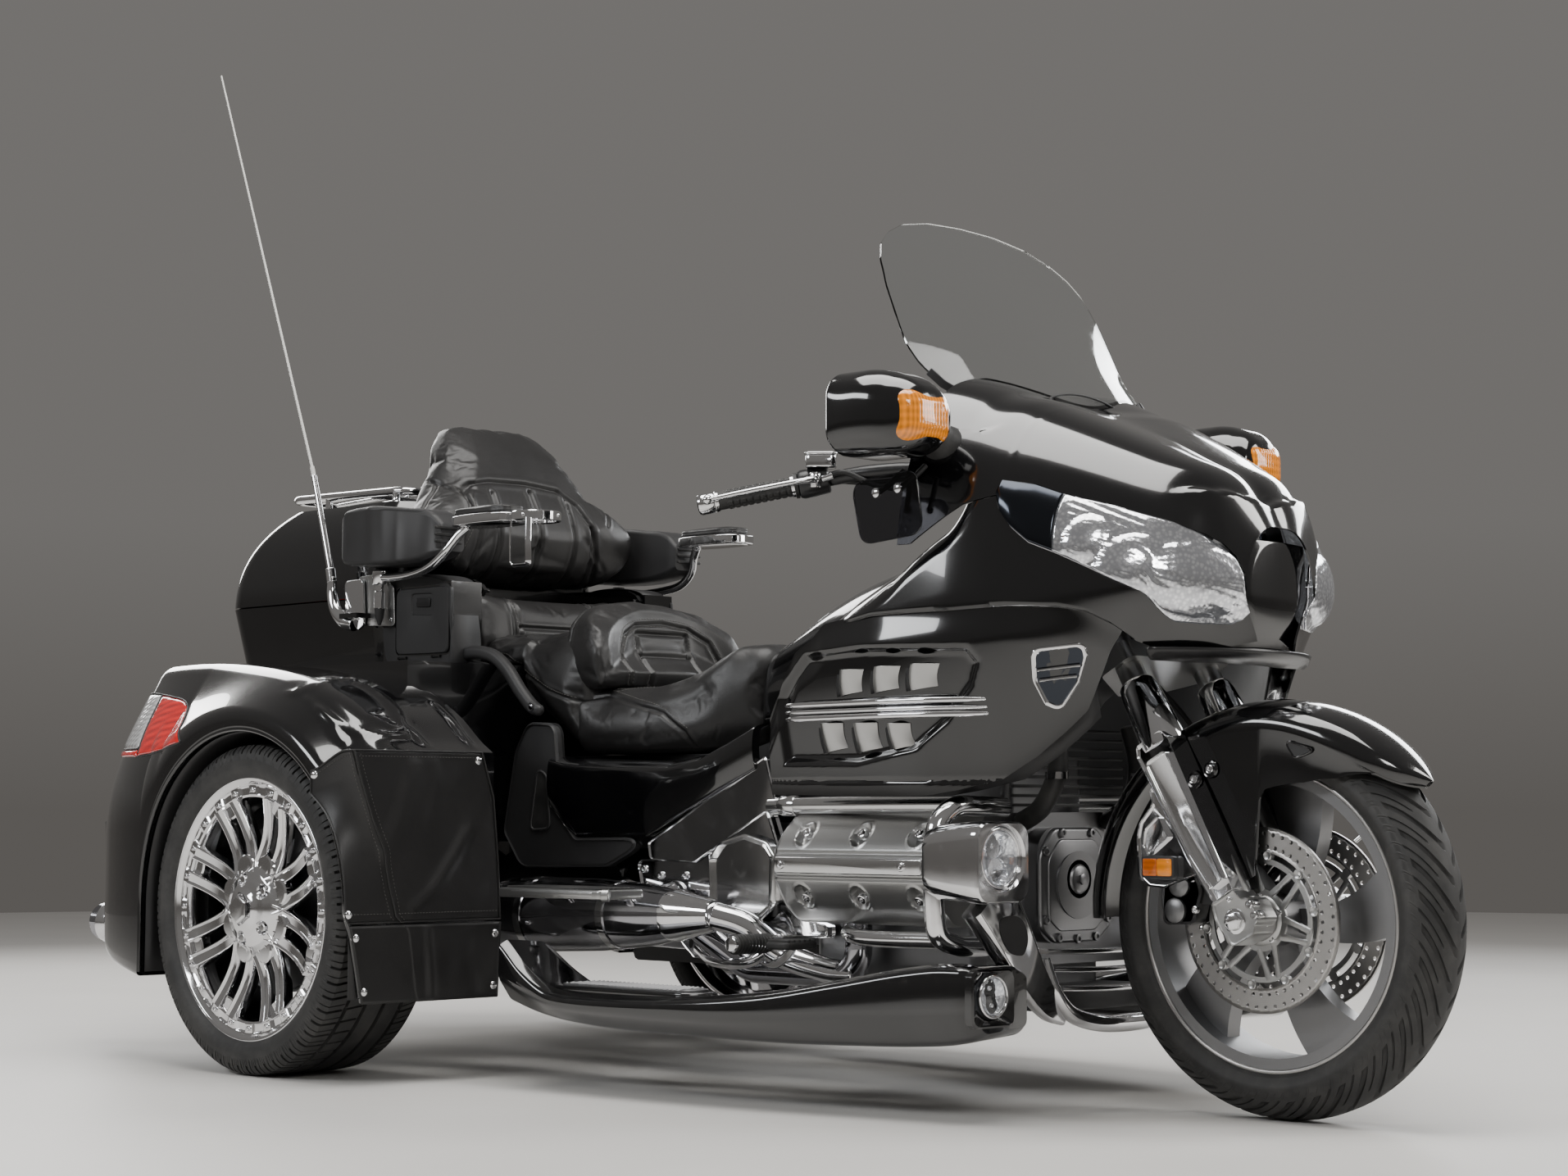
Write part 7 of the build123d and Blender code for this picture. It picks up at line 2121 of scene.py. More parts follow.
@dataclass
class Engine:
    """Front cover bolts, plug, side hoses and fins over the cast crankcase."""

    def build(self, bench: Bench) -> None:
        """Make the front cover's relief and the small parts round the crankcase."""
        points = rounded_outline([(-98, 296), (-60, 268), (60, 268), (98, 296), (98, 420), (60, 464),
                                  (-60, 464), (-98, 420)], [22, 26, 26, 22, 40, 26, 26, 40], 6)
        plate = slab(points, 1352, 1366, 6, seen_from_front, 4)
        inner = slab(points * 0.80 + np.array([0, 366]) * 0.20, 1360, 1369, 3, seen_from_front, 3)
        plug = lathe([(0, 0), (0, 36), (4, 36), (6, 33), (6, 26), (9, 24), (11, 20), (11, 0)], (1366, 0, 376),
                     AHEAD, 48)
        bench.piece("front_cover_relief", plate + inner + plug, CAST, sharp=34)
        bolts = joined(bolt((1366, y, z), AHEAD, 8, 5.5, 20) for y,
                       z in ((-84, 308), (-84, 424), (-40, 455), (40, 455), (84, 424), (84, 308), (50, 277),
                             (0, 274), (-50, 277)))
        bolts += hex_bolt((1376, 0, 376), AHEAD, 10, 6)
        bench.piece("front_cover_bolts", bolts, CAST)
        hoses = tube([(1330, -110, 470), (1390, -120, 500), (1420, -116, 560), (1410, -104, 640)], 17, 40, 20)
        hoses += tube([(1330, 120, 470), (1380, 126, 505), (1405, 120, 570), (1400, 104, 640)], 15, 40, 20)
        bench.piece("radiator_hoses", hoses, GRIP)
        clips = joined(lathe([(-6, 17.5), (-6, 20), (6, 20), (6, 17.5)], (1419, side * 117, 552), UP, 28,
                             closed=True) for side in (-1, 1))
        bench.piece("hose_clamps", clips, CHROME)
        fins = joined(slab(rounded_outline([(-150, 0), (150, 0), (150, 5), (-150, 5)], 1.5, 2)
                           + [0, 500 + number * 16], 1345, 1352, 1, seen_from_front, 2)
                      for number in range(9))
        bench.piece("radiator_fins", fins, MATTE)


@dataclass
class Guards:
    """Tip-over hoops, rounded lamp pods with their lamps, sloping arms and the ladder grille."""

    def build(self, bench: Bench) -> None:
        """Make the guards of both sides and the grille between them."""
        hoop = tube([(1400, -230, 498), (1404, -300, 500), (1403, -362, 497), (1398, -394, 470),
                     (1397, -401, 424), (1397, -401, 330), (1398, -392, 292), (1402, -356, 276),
                     (1404, -300, 272), (1404, -232, 272)], 17, 90, 28)
        pod = self.pod()
        arm = self.arm()
        bench.piece("guard_hoops", (hoop + pod + arm).both(), CHROME, replaces=["engine_guards"], sharp=38)
        # painted shade: a dark plate stands for the shade in the opening of each guard arm
        slot = slab(oval_patch([(-338, 316), (-300, 322), (-282, 312), (-272, 284), (-284, 262), (-312, 268),
                                (-334, 290)], 40), 1478.5, 1483, 1.5, seen_from_front)
        bench.piece("guard_opening_shades", slot.both(), MATTE)
        self.lamp(bench, "guard_lamps", (1522, -386, 418), 45, 30)
        self.grille(bench)

    def pod(self) -> Shape:
        """Rounded box from its rear to a flat face, then in to the round lamp seat."""
        rows = ((1392, 74, 96, 30), (1398, 92, 112, 34), (1420, 104, 120, 32), (1470, 118, 126, 30),
                (1516, 128, 130, 28), (1527, 126, 128, 26), (1530, 121, 123, 24))
        sides = 48
        rings = [at_level(ring_section(w, h, c, sides) + [-386, 411], x, seen_from_front)
                 for x, w, h, c in rows]
        t = np.arange(sides) * 2 * math.pi / sides
        for x, radius in ((1530, 54), (1526, 50.5), (1510, 49)):
            seat = np.stack([radius * np.cos(t) - 386, radius * np.sin(t) + 418], 1)
            rings.append(at_level(seat, x, seen_from_front))
        return net(np.stack(rings), wrap_v=True, cap_u=True)

    def arm(self) -> Shape:
        """Broad arm from the pod's foot inwards and down to the grille, thinning as it goes."""
        path = smooth_path([(1462, -352, 356), (1464, -316, 312), (1462, -274, 262), (1458, -230, 214),
                            (1454, -186, 176), (1450, -140, 158)], 36)
        width = np.interp(np.linspace(0, 1, 36), [0, 0.3, 0.6, 1], [1.15, 1.0, 0.74, 0.42])
        return carried(ring_section(34, 96, 13, 28), path, width, hint=AHEAD)

    def lamp(self, bench: Bench, name: str, centre: Sequence[float], radius: float, depth: float) -> None:
        """Round lamp: a dished reflector with two bowls, bulbs, a ribbed glass and a bright ring."""
        c = np.array(centre, float)
        turns, rows = 96, 20
        t = np.arange(turns) * 2 * math.pi / turns
        r = np.linspace(0.001, 1, rows) * radius
        y, z = r[None] * np.cos(t)[:, None], r[None] * np.sin(t)[:, None]
        sunk = depth * 0.35 * (1 - (r[None] / radius) ** 2) + 0 * y
        for by, bz, reach in ((-radius * 0.1, radius * 0.42, radius * 0.48),
                              (radius * 0.05, -radius * 0.45, radius * 0.46)):
            away = np.hypot(y - by, z - bz) / reach
            sunk = np.maximum(sunk, depth * np.sqrt(np.clip(1 - away ** 2, 0, 1)) + 0.8
                              * np.sin(12 * np.arctan2(z - bz, y - by)) * (away < 1))
        dish = np.stack([c[0] - sunk, c[1] + y, c[2] + z], -1)
        bench.piece(f"{name}_dishes", net(dish, wrap_u=True).both(), REFLECTOR)
        dome = lathe([(-3, radius), (0, radius * 0.99), (4, radius * 0.9), (7, radius * 0.6),
                      (8, radius * 0.3), (8.2, 0)], c, AHEAD, 64)
        bench.piece(f"{name}_glasses", dome.both(), LAMP_GLASS, wall=1.6,
                    replaces=["driving_lamps"] if name == "guard_lamps" else [])
        ring = lathe(circle(2.6, 12) + [0, radius + 1.5], c, AHEAD, 72, closed=True)
        bulbs = joined(lathe([(0, 0), (0, 5), (7, 5), (11, 3), (12, 0)], c + [-depth * 0.7, dy, dz], AHEAD,
                             18) for dy, dz in ((-radius * 0.1, radius * 0.42),
                                                (radius * 0.05, -radius * 0.45)))
        bench.piece(f"{name}_rings", (ring + bulbs).both(), CHROME)

    def grille(self, bench: Bench) -> None:
        """Bowed lip below and up both ends, and three flattened rungs."""
        lip = tube([(1446, -184, 250), (1456, -172, 196), (1462, -140, 160), (1468, -80, 142), (1470, 0, 138),
                    (1468, 80, 142), (1462, 140, 160), (1456, 172, 196), (1446, 184, 250)],
                   np.interp(np.linspace(0, 1, 90), [0, 0.12, 0.5, 0.88, 1], [9, 13, 16, 13, 9]), 90, 24)
        rungs = EMPTY
        for z, half, x in ((258, 172, 1432), (228, 166, 1442), (197, 154, 1450)):
            path = smooth_path([(x, -half, z + 3), (x + 8, -half / 2, z), (x + 10, 0, z - 1),
                                (x + 8, half / 2, z), (x, half, z + 3)], 30)
            rungs += carried(ring_section(9, 26, 4, 16), path, hint=UP)
        bench.piece("grille_bars", lip + rungs, CHROME, replaces=["lower_cowl"], sharp=36)
        pan = slab(rounded_outline([(1300, -140), (1420, -146), (1420, 146), (1300, 140)], 20, 5), 158, 196,
                   6, seen_from_above)
        bench.piece("grille_tray", pan, MATTE)


@dataclass
class SideBody:
    """Frame covers, kick plates, side covers, the matte rear panels, pegs, pedals and passenger boards."""

    def build(self, bench: Bench) -> None:
        """Make every piece between the engine and the rear fender."""
        self.frame_cover(bench)
        self.kick_plate(bench)
        self.bracket(bench)
        self.side_cover(bench)
        self.passenger_board(bench)

    def frame_cover(self, bench: Bench) -> None:
        """Plated panel in planes that meet at creases, with a D-shaped boss and a star-shaped vent over a
        dark disc that stands for the shade in its opening.
        """
        upper = slab(rounded_outline([(551, 432), (640, 476), (858, 588), (882, 512), (868, 496), (723, 424),
                                      (676, 400), (556, 404)], [5, 60, 6, 8, 20, 14, 8, 6], 5), -230, -249, 3)
        middle = slab(rounded_outline([(520, 398), (676, 401), (722, 424), (716, 340), (758, 292), (690, 262),
                                       (600, 300), (540, 318)], [8, 8, 14, 18, 14, 12, 12, 12], 5), -230,
                      -246, 4)
        lip = slab(rounded_outline([(714, 420), (862, 492), (892, 420), (936, 306), (1007, 290), (1007, 276),
                                    (884, 272), (756, 292), (718, 328)], [18, 14, 30, 22, 3, 3, 10, 20, 22],
                                   6), -228, -248, 4)
        boss = slab(rounded_outline([(736, 404), (760, 430), (818, 443), (872, 430), (891, 408), (888, 328),
                                     (853, 303), (766, 305), (739, 326)],
                                    [12, 12, 30, 16, 14, 16, 14, 14, 14], 6), -240, -262, 9, None, 6)
        made = upper + middle + lip
        bench.piece("frame_cover_plates", made.both(), CHROME, replaces=["frame_covers"], sharp=34)
        bench.piece("frame_cover_bosses", boss.both(), DUSTY_CHROME, sharp=60)
        t = np.linspace(0, 2 * math.pi, 60, endpoint=False)
        hole = np.stack([624 + 26 * np.cos(t), 335 + 26 * np.sin(t)], 1)
        star = np.stack([624 + (15 + 5.5 * np.cos(5 * t)) * np.cos(t),
                         335 + (15 + 5.5 * np.cos(5 * t)) * np.sin(t)], 1)
        # painted shade: the dark disc stands for the shade inside the vent
        bench.piece("vent_shade_discs", slab(hole, -246.6, -240, 1).both(), MATTE)
        rim = carried(circle(2.4, 10), np.stack([624 + 27 * np.cos(np.append(t, 0)), np.full(61, -247.0),
                                                 335 + 27 * np.sin(np.append(t, 0))], 1), hint=LEFT,
                      caps=False)
        bench.piece("vent_stars", (rim + slab(star, -249, -244, 1.5)).both(), CHROME)
        bolts = joined(bolt((x, -246, z), RIGHT, 7.2, 5, 20)
                       for x, z in ((582, 373), (648, 374), (551, 308), (536, 384)))
        bench.piece("frame_cover_bolts", bolts.both(), CHROME)

    def kick_plate(self, bench: Bench) -> None:
        """Bright heel plate with curved slots drawn as dark bars that stand for the shade in them."""
        plate = slab(rounded_outline([(593, 320), (622, 274), (682, 226), (732, 224), (752, 282), (682, 316)],
                                     [10, 20, 12, 12, 10, 12], 5), -246, -255, 3)
        slot_shade_bars = EMPTY
        for x0, z0, x1, z1 in ((625, 272, 664, 306), (647, 256, 684, 298), (671, 243, 703, 290),
                               (696, 236, 722, 284)):
            bow = (x0 + x1) / 2 - 9, (z0 + z1) / 2 + 7
            path = smooth_path([(x0, -255.2, z0), (bow[0], -255.2, bow[1]), (x1, -255.2, z1)], 20)
            size = np.interp(np.linspace(0, 1, 20), [0, 0.12, 0.88, 1], [0.4, 1, 1, 0.4])
            # painted shade: each dark bar stands for the shade inside a slot
            slot_shade_bars += carried(circle(1, 12) * [5.4, 1.6], path, size, hint=AHEAD)
        bench.piece("kick_plates", plate.both(), CHROME)
        bench.piece("kick_slot_shades", slot_shade_bars.both(), GRIP)
        bench.piece("kick_bolts", bolt((712, -255, 262), RIGHT, 6.5, 4, 20).both(), CHROME)

    def bracket(self, bench: Bench) -> None:
        """Cast foot bracket with three bores, the ribbed peg, the toe pedal and their rods."""
        plate = slab(rounded_outline([(758, 288), (815, 296), (900, 274), (906, 244), (872, 212), (790, 206),
                                      (756, 220)], [12, 20, 14, 14, 16, 14, 10], 6), -256, -272, 5)
        bench.piece("foot_brackets", plate.both(), SILVER, sharp=34)
        bores = joined(bolt((x, -271, z), RIGHT, 9, 5, 22)
                       for x, z in ((776, 262), (822, 272), (858, 266)))
        bench.piece("bracket_bolts", bores.both(), CHROME)
        peg = tube([(930, -286, 262), (926, -340, 262), (922, -398, 262)], 15, 16, 24, smooth=False)
        bench.piece("peg_cores", peg.both(), CHROME, replaces=["foot_controls"])
        n = 61
        along_peg = np.linspace(0, 86, n)
        radius = 17.5 - 3.2 * (np.arange(n) % 5 < 2) - 5 * step_between(82, 86, along_peg)
        rubber = lathe(np.stack([along_peg, radius], 1), (927, -308, 262), (-0.05, -1, 0), 36)
        bench.piece("peg_rubbers", rubber.both(), GRIP, sharp=30)
        pedal = tube([(872, -284, 236), (930, -300, 226), (1000, -330, 250), (1030, -352, 262)],
                     np.linspace(10, 8, 36), 36, 18)
        pad = slab(rounded_outline([(1004, -398), (1060, -398), (1060, -318), (1004, -318)], 12, 5), 257, 270,
                   4, seen_from_above)
        stay = tube([(700, -262, 244), (780, -296, 224), (900, -318, 232), (926, -300, 258)], 10, 30, 18)
        bench.piece("pedal_arms", (pedal + stay).both(), CHROME)
        ribs = EMPTY
        for number in range(6):
            y0 = -392 + number * 12.4
            ribs += slab(rounded_outline([(1007, y0), (1057, y0), (1057, y0 + 7), (1007, y0 + 7)], 3, 3), 269,
                         274, 1.5, seen_from_above)
        bench.piece("pedal_pads", (pad + ribs).both(), GRIP)

    def side_cover(self, bench: Bench) -> None:
        """Glossy cover whose top rolls inwards, and the matte panel whose tall three-cornered window is a
        dark plate standing for the shade behind it.
        """
        top = [(276, 600), (318, 594), (480, 588), (612, 584), (700, 596), (770, 622), (830, 650)]
        low = [(276, 500), (318, 462), (350, 447), (553, 445), (700, 508), (800, 552), (834, 566)]
        s = np.linspace(0, 1, 90)
        x = 276 + s * (834 - 276)
        z_top, z_low = along(top, x), along(low, x)
        t = np.linspace(0, 1, 40)
        z = z_low[:, None] + (z_top - z_low)[:, None] * t[None]
        y = -256 - 9 * np.sin(math.pi * np.clip(t, 0, 1)) ** 0.6 + 26 * np.clip((t - 0.86) / 0.14, 0, 1) ** 2
        grid = np.stack([np.broadcast_to(x[:, None], z.shape), np.broadcast_to(y[None], z.shape)
                         + 6 * step_between(740, 834, x)[:, None], z], -1)
        back = grid[:, ::-1] + [0, 18, 0]
        bench.piece("side_cover_panels", net(np.concatenate([grid, back], 1), wrap_v=True, cap_u=True).both(),
                    GLOSS, replaces=["side_covers"], sharp=60)
        outer = rounded_outline([(138, 452), (172, 610), (206, 660), (286, 656), (292, 600), (316, 470),
                                 (350, 436), (548, 438), (440, 392), (190, 386)],
                                [20, 50, 30, 20, 20, 40, 20, 30, 30, 30], 6)
        window = rounded_outline([(236, 574), (262, 560), (274, 458), (214, 454)], [14, 16, 14, 12], 6)
        bench.piece("rear_side_panels", slab(outer, -238, -253, 5, None, 4).both(), MATTE, sharp=50)
        # painted shade: the dark plate stands for the shade inside the window
        bench.piece("panel_window_shades", slab(window, -254.2, -250, 1.5).both(), GRIP)
        lip_line = np.stack([window[:, 0], np.full(len(window), -253.4), window[:, 1]], 1)
        lip = carried(circle(3.0, 10), np.vstack([lip_line, lip_line[:1]]), hint=LEFT, caps=False)
        bench.piece("window_lips", lip.both(), MATTE)

    def passenger_board(self, bench: Bench) -> None:
        """Folding boards: a channel section with a rubber mat and its pivot."""
        frame = slab(rounded_outline([(430, -512), (708, -512), (716, -500), (716, -410), (430, -410)],
                                     [8, 10, 10, 8, 8], 4), 336, 353, 4, seen_from_above, 3)
        step = slab(rounded_outline([(470, -514), (690, -514), (690, -506), (470, -506)], 3, 3), 340, 349,
                    1.5, seen_from_above)
        pivot = tube([(712, -508, 344), (724, -500, 344)], 11, 8, 18)
        bench.piece("board_frames", (frame + step + pivot).both(), SILVER, replaces=["passenger_boards"],
                    sharp=34)
        ribs = EMPTY
        for number in range(8):
            y0 = -500 + number * 11
            ribs += slab(rounded_outline([(442, y0), (700, y0), (700, y0 + 6), (442, y0 + 6)], 2.5, 3), 352,
                         356.5, 1.4, seen_from_above)
        bench.piece("board_mats", ribs.both(), GRIP)
        arms = (tube([(650, -420, 344), (640, -340, 340), (632, -262, 350)], 12, 20, 18)
                + tube([(500, -420, 344), (505, -340, 342), (512, -262, 356)], 12, 20, 18))
        bench.piece("board_arms", arms.both(), CHROME)


@dataclass
class RunningBoards:
    """Glossy boards with a crisp upper edge, the mesh step and the lamp in its square recess."""

    # x, outer and inner half-width, underside, the widest line's height, the upper edge's height
    rows: tuple[tuple[float, ...], ...] = (
        (500, 566, 440, 150, 196, 262), (560, 566, 420, 136, 172, 214), (640, 564, 400, 124, 150, 180),
        (760, 562, 380, 116, 146, 176), (960, 548, 350, 112, 146, 182), (1120, 526, 320, 110, 152, 196),
        (1260, 500, 304, 112, 162, 220), (1390, 472, 296, 116, 170, 244), (1470, 462, 300, 124, 176, 252),
        (1500, 456, 306, 132, 178, 252), (1514, 448, 312, 142, 182, 246))

    def build(self, bench: Bench) -> None:
        """Make the boards, steps and lamps."""
        r = np.array(self.rows)
        x = np.linspace(r[0, 0], r[-1, 0], 130)
        v = blend_curve(r[:, 0], r[:, 1:], x)
        rings = []
        for level, (outer, inner, low, wide, top) in zip(x, v):
            outline = rounded_outline([(-inner, low + 8), (-inner, top - 16), (-inner - 24, top - 6),
                                       (-outer + 22, top), (-outer + 2, top - 9), (-outer, wide),
                                       (-outer + 34, low)], [12, 10, 12, 3.5, 12, 26, 20], 5)
            rings.append(at_level(outline, level, seen_from_front))
        bench.piece("board_shells", net(np.stack(rings)[:, ::-1], wrap_v=True, cap_u=True).both(), GLOSS,
                    replaces=["running_boards"], sharp=40)
        tray = slab(rounded_outline([(610, -540), (940, -530), (980, -470), (900, -430), (620, -436)],
                                    [20, 30, 30, 40, 20], 6), 172, 186, 4, seen_from_above, 3)
        bench.piece("step_trays", tray.both(), GLOSS)
        self.mesh(bench)
        Guards().lamp(bench, "nose_lamps", (1520, -401, 201), 31, 20)
        frame = ring_section(104, 92, 16, 32)
        t = np.arange(32) * 2 * math.pi / 32
        seat = np.stack([34 * np.cos(t), 34 * np.sin(t)], 1)
        outlines = [(frame + [-401, 198], 1506), (frame + [-401, 198], 1519),
                    (frame * 0.93 + [-401, 198], 1522), (seat + [-401, 201], 1514),
                    (seat * 0.99 + [-401, 201], 1506)]
        rings = [at_level(outline, x, seen_from_front) for outline, x in outlines]
        bench.piece("nose_lamp_seats", net(np.stack(rings), wrap_v=True).both(), GLOSS, sharp=40)

    def mesh(self, bench: Bench) -> None:
        """Expanded-metal step: rows of small raised diamonds on a plate."""
        plate = slab(rounded_outline([(628, -532), (926, -522), (956, -472), (892, -438), (636, -444)],
                                     [14, 24, 24, 34, 14], 5), 185, 190, 1.5, seen_from_above, 2)
        step_x, step_y = 11.0, 8.0
        ix, iy = np.meshgrid(np.arange(27), np.arange(10))
        cx = 640 + ix.ravel() * step_x + (iy.ravel() % 2) * step_x / 2
        cy = -524 + iy.ravel() * step_y
        keep = (cx < 930 - (cy + 524) * 0.25) & (cy < -448)
        cx, cy = cx[keep], cy[keep]
        diamond = np.array([(-4.2, 0, 0), (0, -2.6, 0), (4.2, 0, 0), (0, 2.6, 0), (0, 0, 3.0)])
        points = (diamond[None] + np.stack([cx, cy, np.full(len(cx), 189.6)], 1)[:, None]).reshape(-1, 3)
        faces = []
        for base in range(0, len(points), 5):
            faces += [(base, base + 1, base + 4), (base + 1, base + 2, base + 4),
                      (base + 2, base + 3, base + 4), (base + 3, base, base + 4),
                      (base + 3, base + 2, base + 1, base)]
        bench.piece("step_meshes", (plate + Shape(points, faces)).both(), CAST, merge=False)


@dataclass
class Exhausts:
    """Dark plated silencers in two cones, their collars and tips, and the pipes in front."""

    def build(self, bench: Bench) -> None:
        """Make the silencers and the tail tips."""
        axis = np.array([-490.0, 0, -10.0])
        axis /= np.linalg.norm(axis)
        shell = lathe([(0, 0), (0, 36), (6, 44), (60, 54), (200, 66), (360, 70), (460, 68), (490, 62),
                       (530, 38), (534, 0)], (740, -346, 306), axis, 72)
        bench.piece("silencer_shells", shell.both(), DARK_CHROME)
        cone = lathe([(-96, 0), (-96, 27), (-90, 29), (-10, 44), (0, 47), (8, 47), (10, 44), (10, 0)],
                     (736, -346, 306), axis, 64)
        neck = tube([(826, -344, 308), (880, -318, 290), (930, -290, 246), (1040, -268, 214),
                     (1100, -264, 212)], 25, 50, 28)
        bench.piece("silencer_cones", (cone + neck).both(), CHROME)
        tip_axis = np.array([-160.0, -50, 12])
        tip_axis /= np.linalg.norm(tip_axis)
        tip = lathe([(0, 33), (8, 35), (150, 41.5), (168, 42.5), (172, 41), (170, 38.5), (150, 37), (20, 33)],
                    (-653, -499.6, 244.2), tip_axis, 64, closed=True)
        bench.piece("tail_tips", tip.both(), CHROME)
        bands = EMPTY
        for run in (150, 372):
            at = np.array([740, -346, 306]) + axis * run
            size = float(np.interp(run, [60, 200, 360, 460], [54, 66, 70, 68]))
            bands += lathe([(-9, size - 2), (-9, size + 2), (9, size + 2), (9, size - 2)], at, axis, 64,
                           closed=True)
        bench.piece("silencer_bands", bands.both(), CHROME)


@dataclass
class TopShelter:
    """Shell over the filler between the seat and the fairing, with its two seams."""

    def build(self, bench: Bench) -> None:
        """Make the shell and its seams."""
        rows = np.array(((706, 104, 652, 792), (780, 122, 656, 826), (880, 150, 668, 868),
                         (980, 178, 688, 900), (1080, 204, 706, 922), (1170, 220, 732, 938),
                         (1244, 232, 760, 944)), float)
        x = np.linspace(706, 1244, 70)
        v = blend_curve(rows[:, 0], rows[:, 1:], x)
        t = np.linspace(-1, 1, 61)
        rings = []
        for level, (half, low, high) in zip(x, v):
            side = np.sign(t) * half * np.abs(np.sin(t * math.pi / 2)) ** 0.62
            rise = low + (high - low) * np.clip(1 - np.abs(t) ** 2.6, 0, 1) ** 0.75
            outline = np.stack([side, rise + 5 * np.exp(-(side / 30) ** 2)], 1)
            rings.append(at_level(outline, level, seen_from_front))
        bench.piece("filler_shell", net(np.stack(rings)), GLOSS, wall=4, replaces=["top_shelter"], sharp=60)
        seams = EMPTY
        for y0 in (-64, 64):
            path = np.stack([x[4:-4], y0 + 0 * x[4:-4],
                             np.interp(x[4:-4], x, v[:, 2]) - 3.1], 1)
            seams += carried(circle(1.6, 8), path)
        bench.piece("filler_seams", seams, MATTE)


# Padded leather

@dataclass
class Cushion:
    """One padded piece: where it starts, what holds it and how its seams are drawn in.

    The groove function takes points in millimetres and gives how far each is sunk along its normal.
    """

    name: str
    shape: Shape
    body: str
    held: Callable[[Array], Array]
    groove: Callable[[Array], Array]
    replaces: tuple[str, ...] = ()
    limit: float = 13.0
    voxel: float = 5.5
    fill: float = 0.6


def groove_along(points: Array, line: Sequence[Sequence[float]], axes: tuple[int, int], width: float,
                 depth: float) -> Array:
    """Depth of a sewn channel below points, from their distance to a path in one view.

    The channel's section is depth times exp of minus (distance / width) squared, with a soft swelling at
    twice that distance on both sides.
    """
    path = np.asarray(line, float)
    flat = points[:, list(axes)]
    best = np.full(len(flat), 1e9)
    for a, b in zip(path[:-1], path[1:]):
        d = b - a
        t = np.clip(((flat - a) @ d) / (d @ d + 1e-9), 0, 1)
        best = np.minimum(best, np.linalg.norm(flat - a - t[:, None] * d, axis=1))
    return depth * np.exp(-(best / width) ** 2) - 0.22 * depth * np.exp(-((best - 2.6 * width)
                                                                          / (1.5 * width)) ** 2)


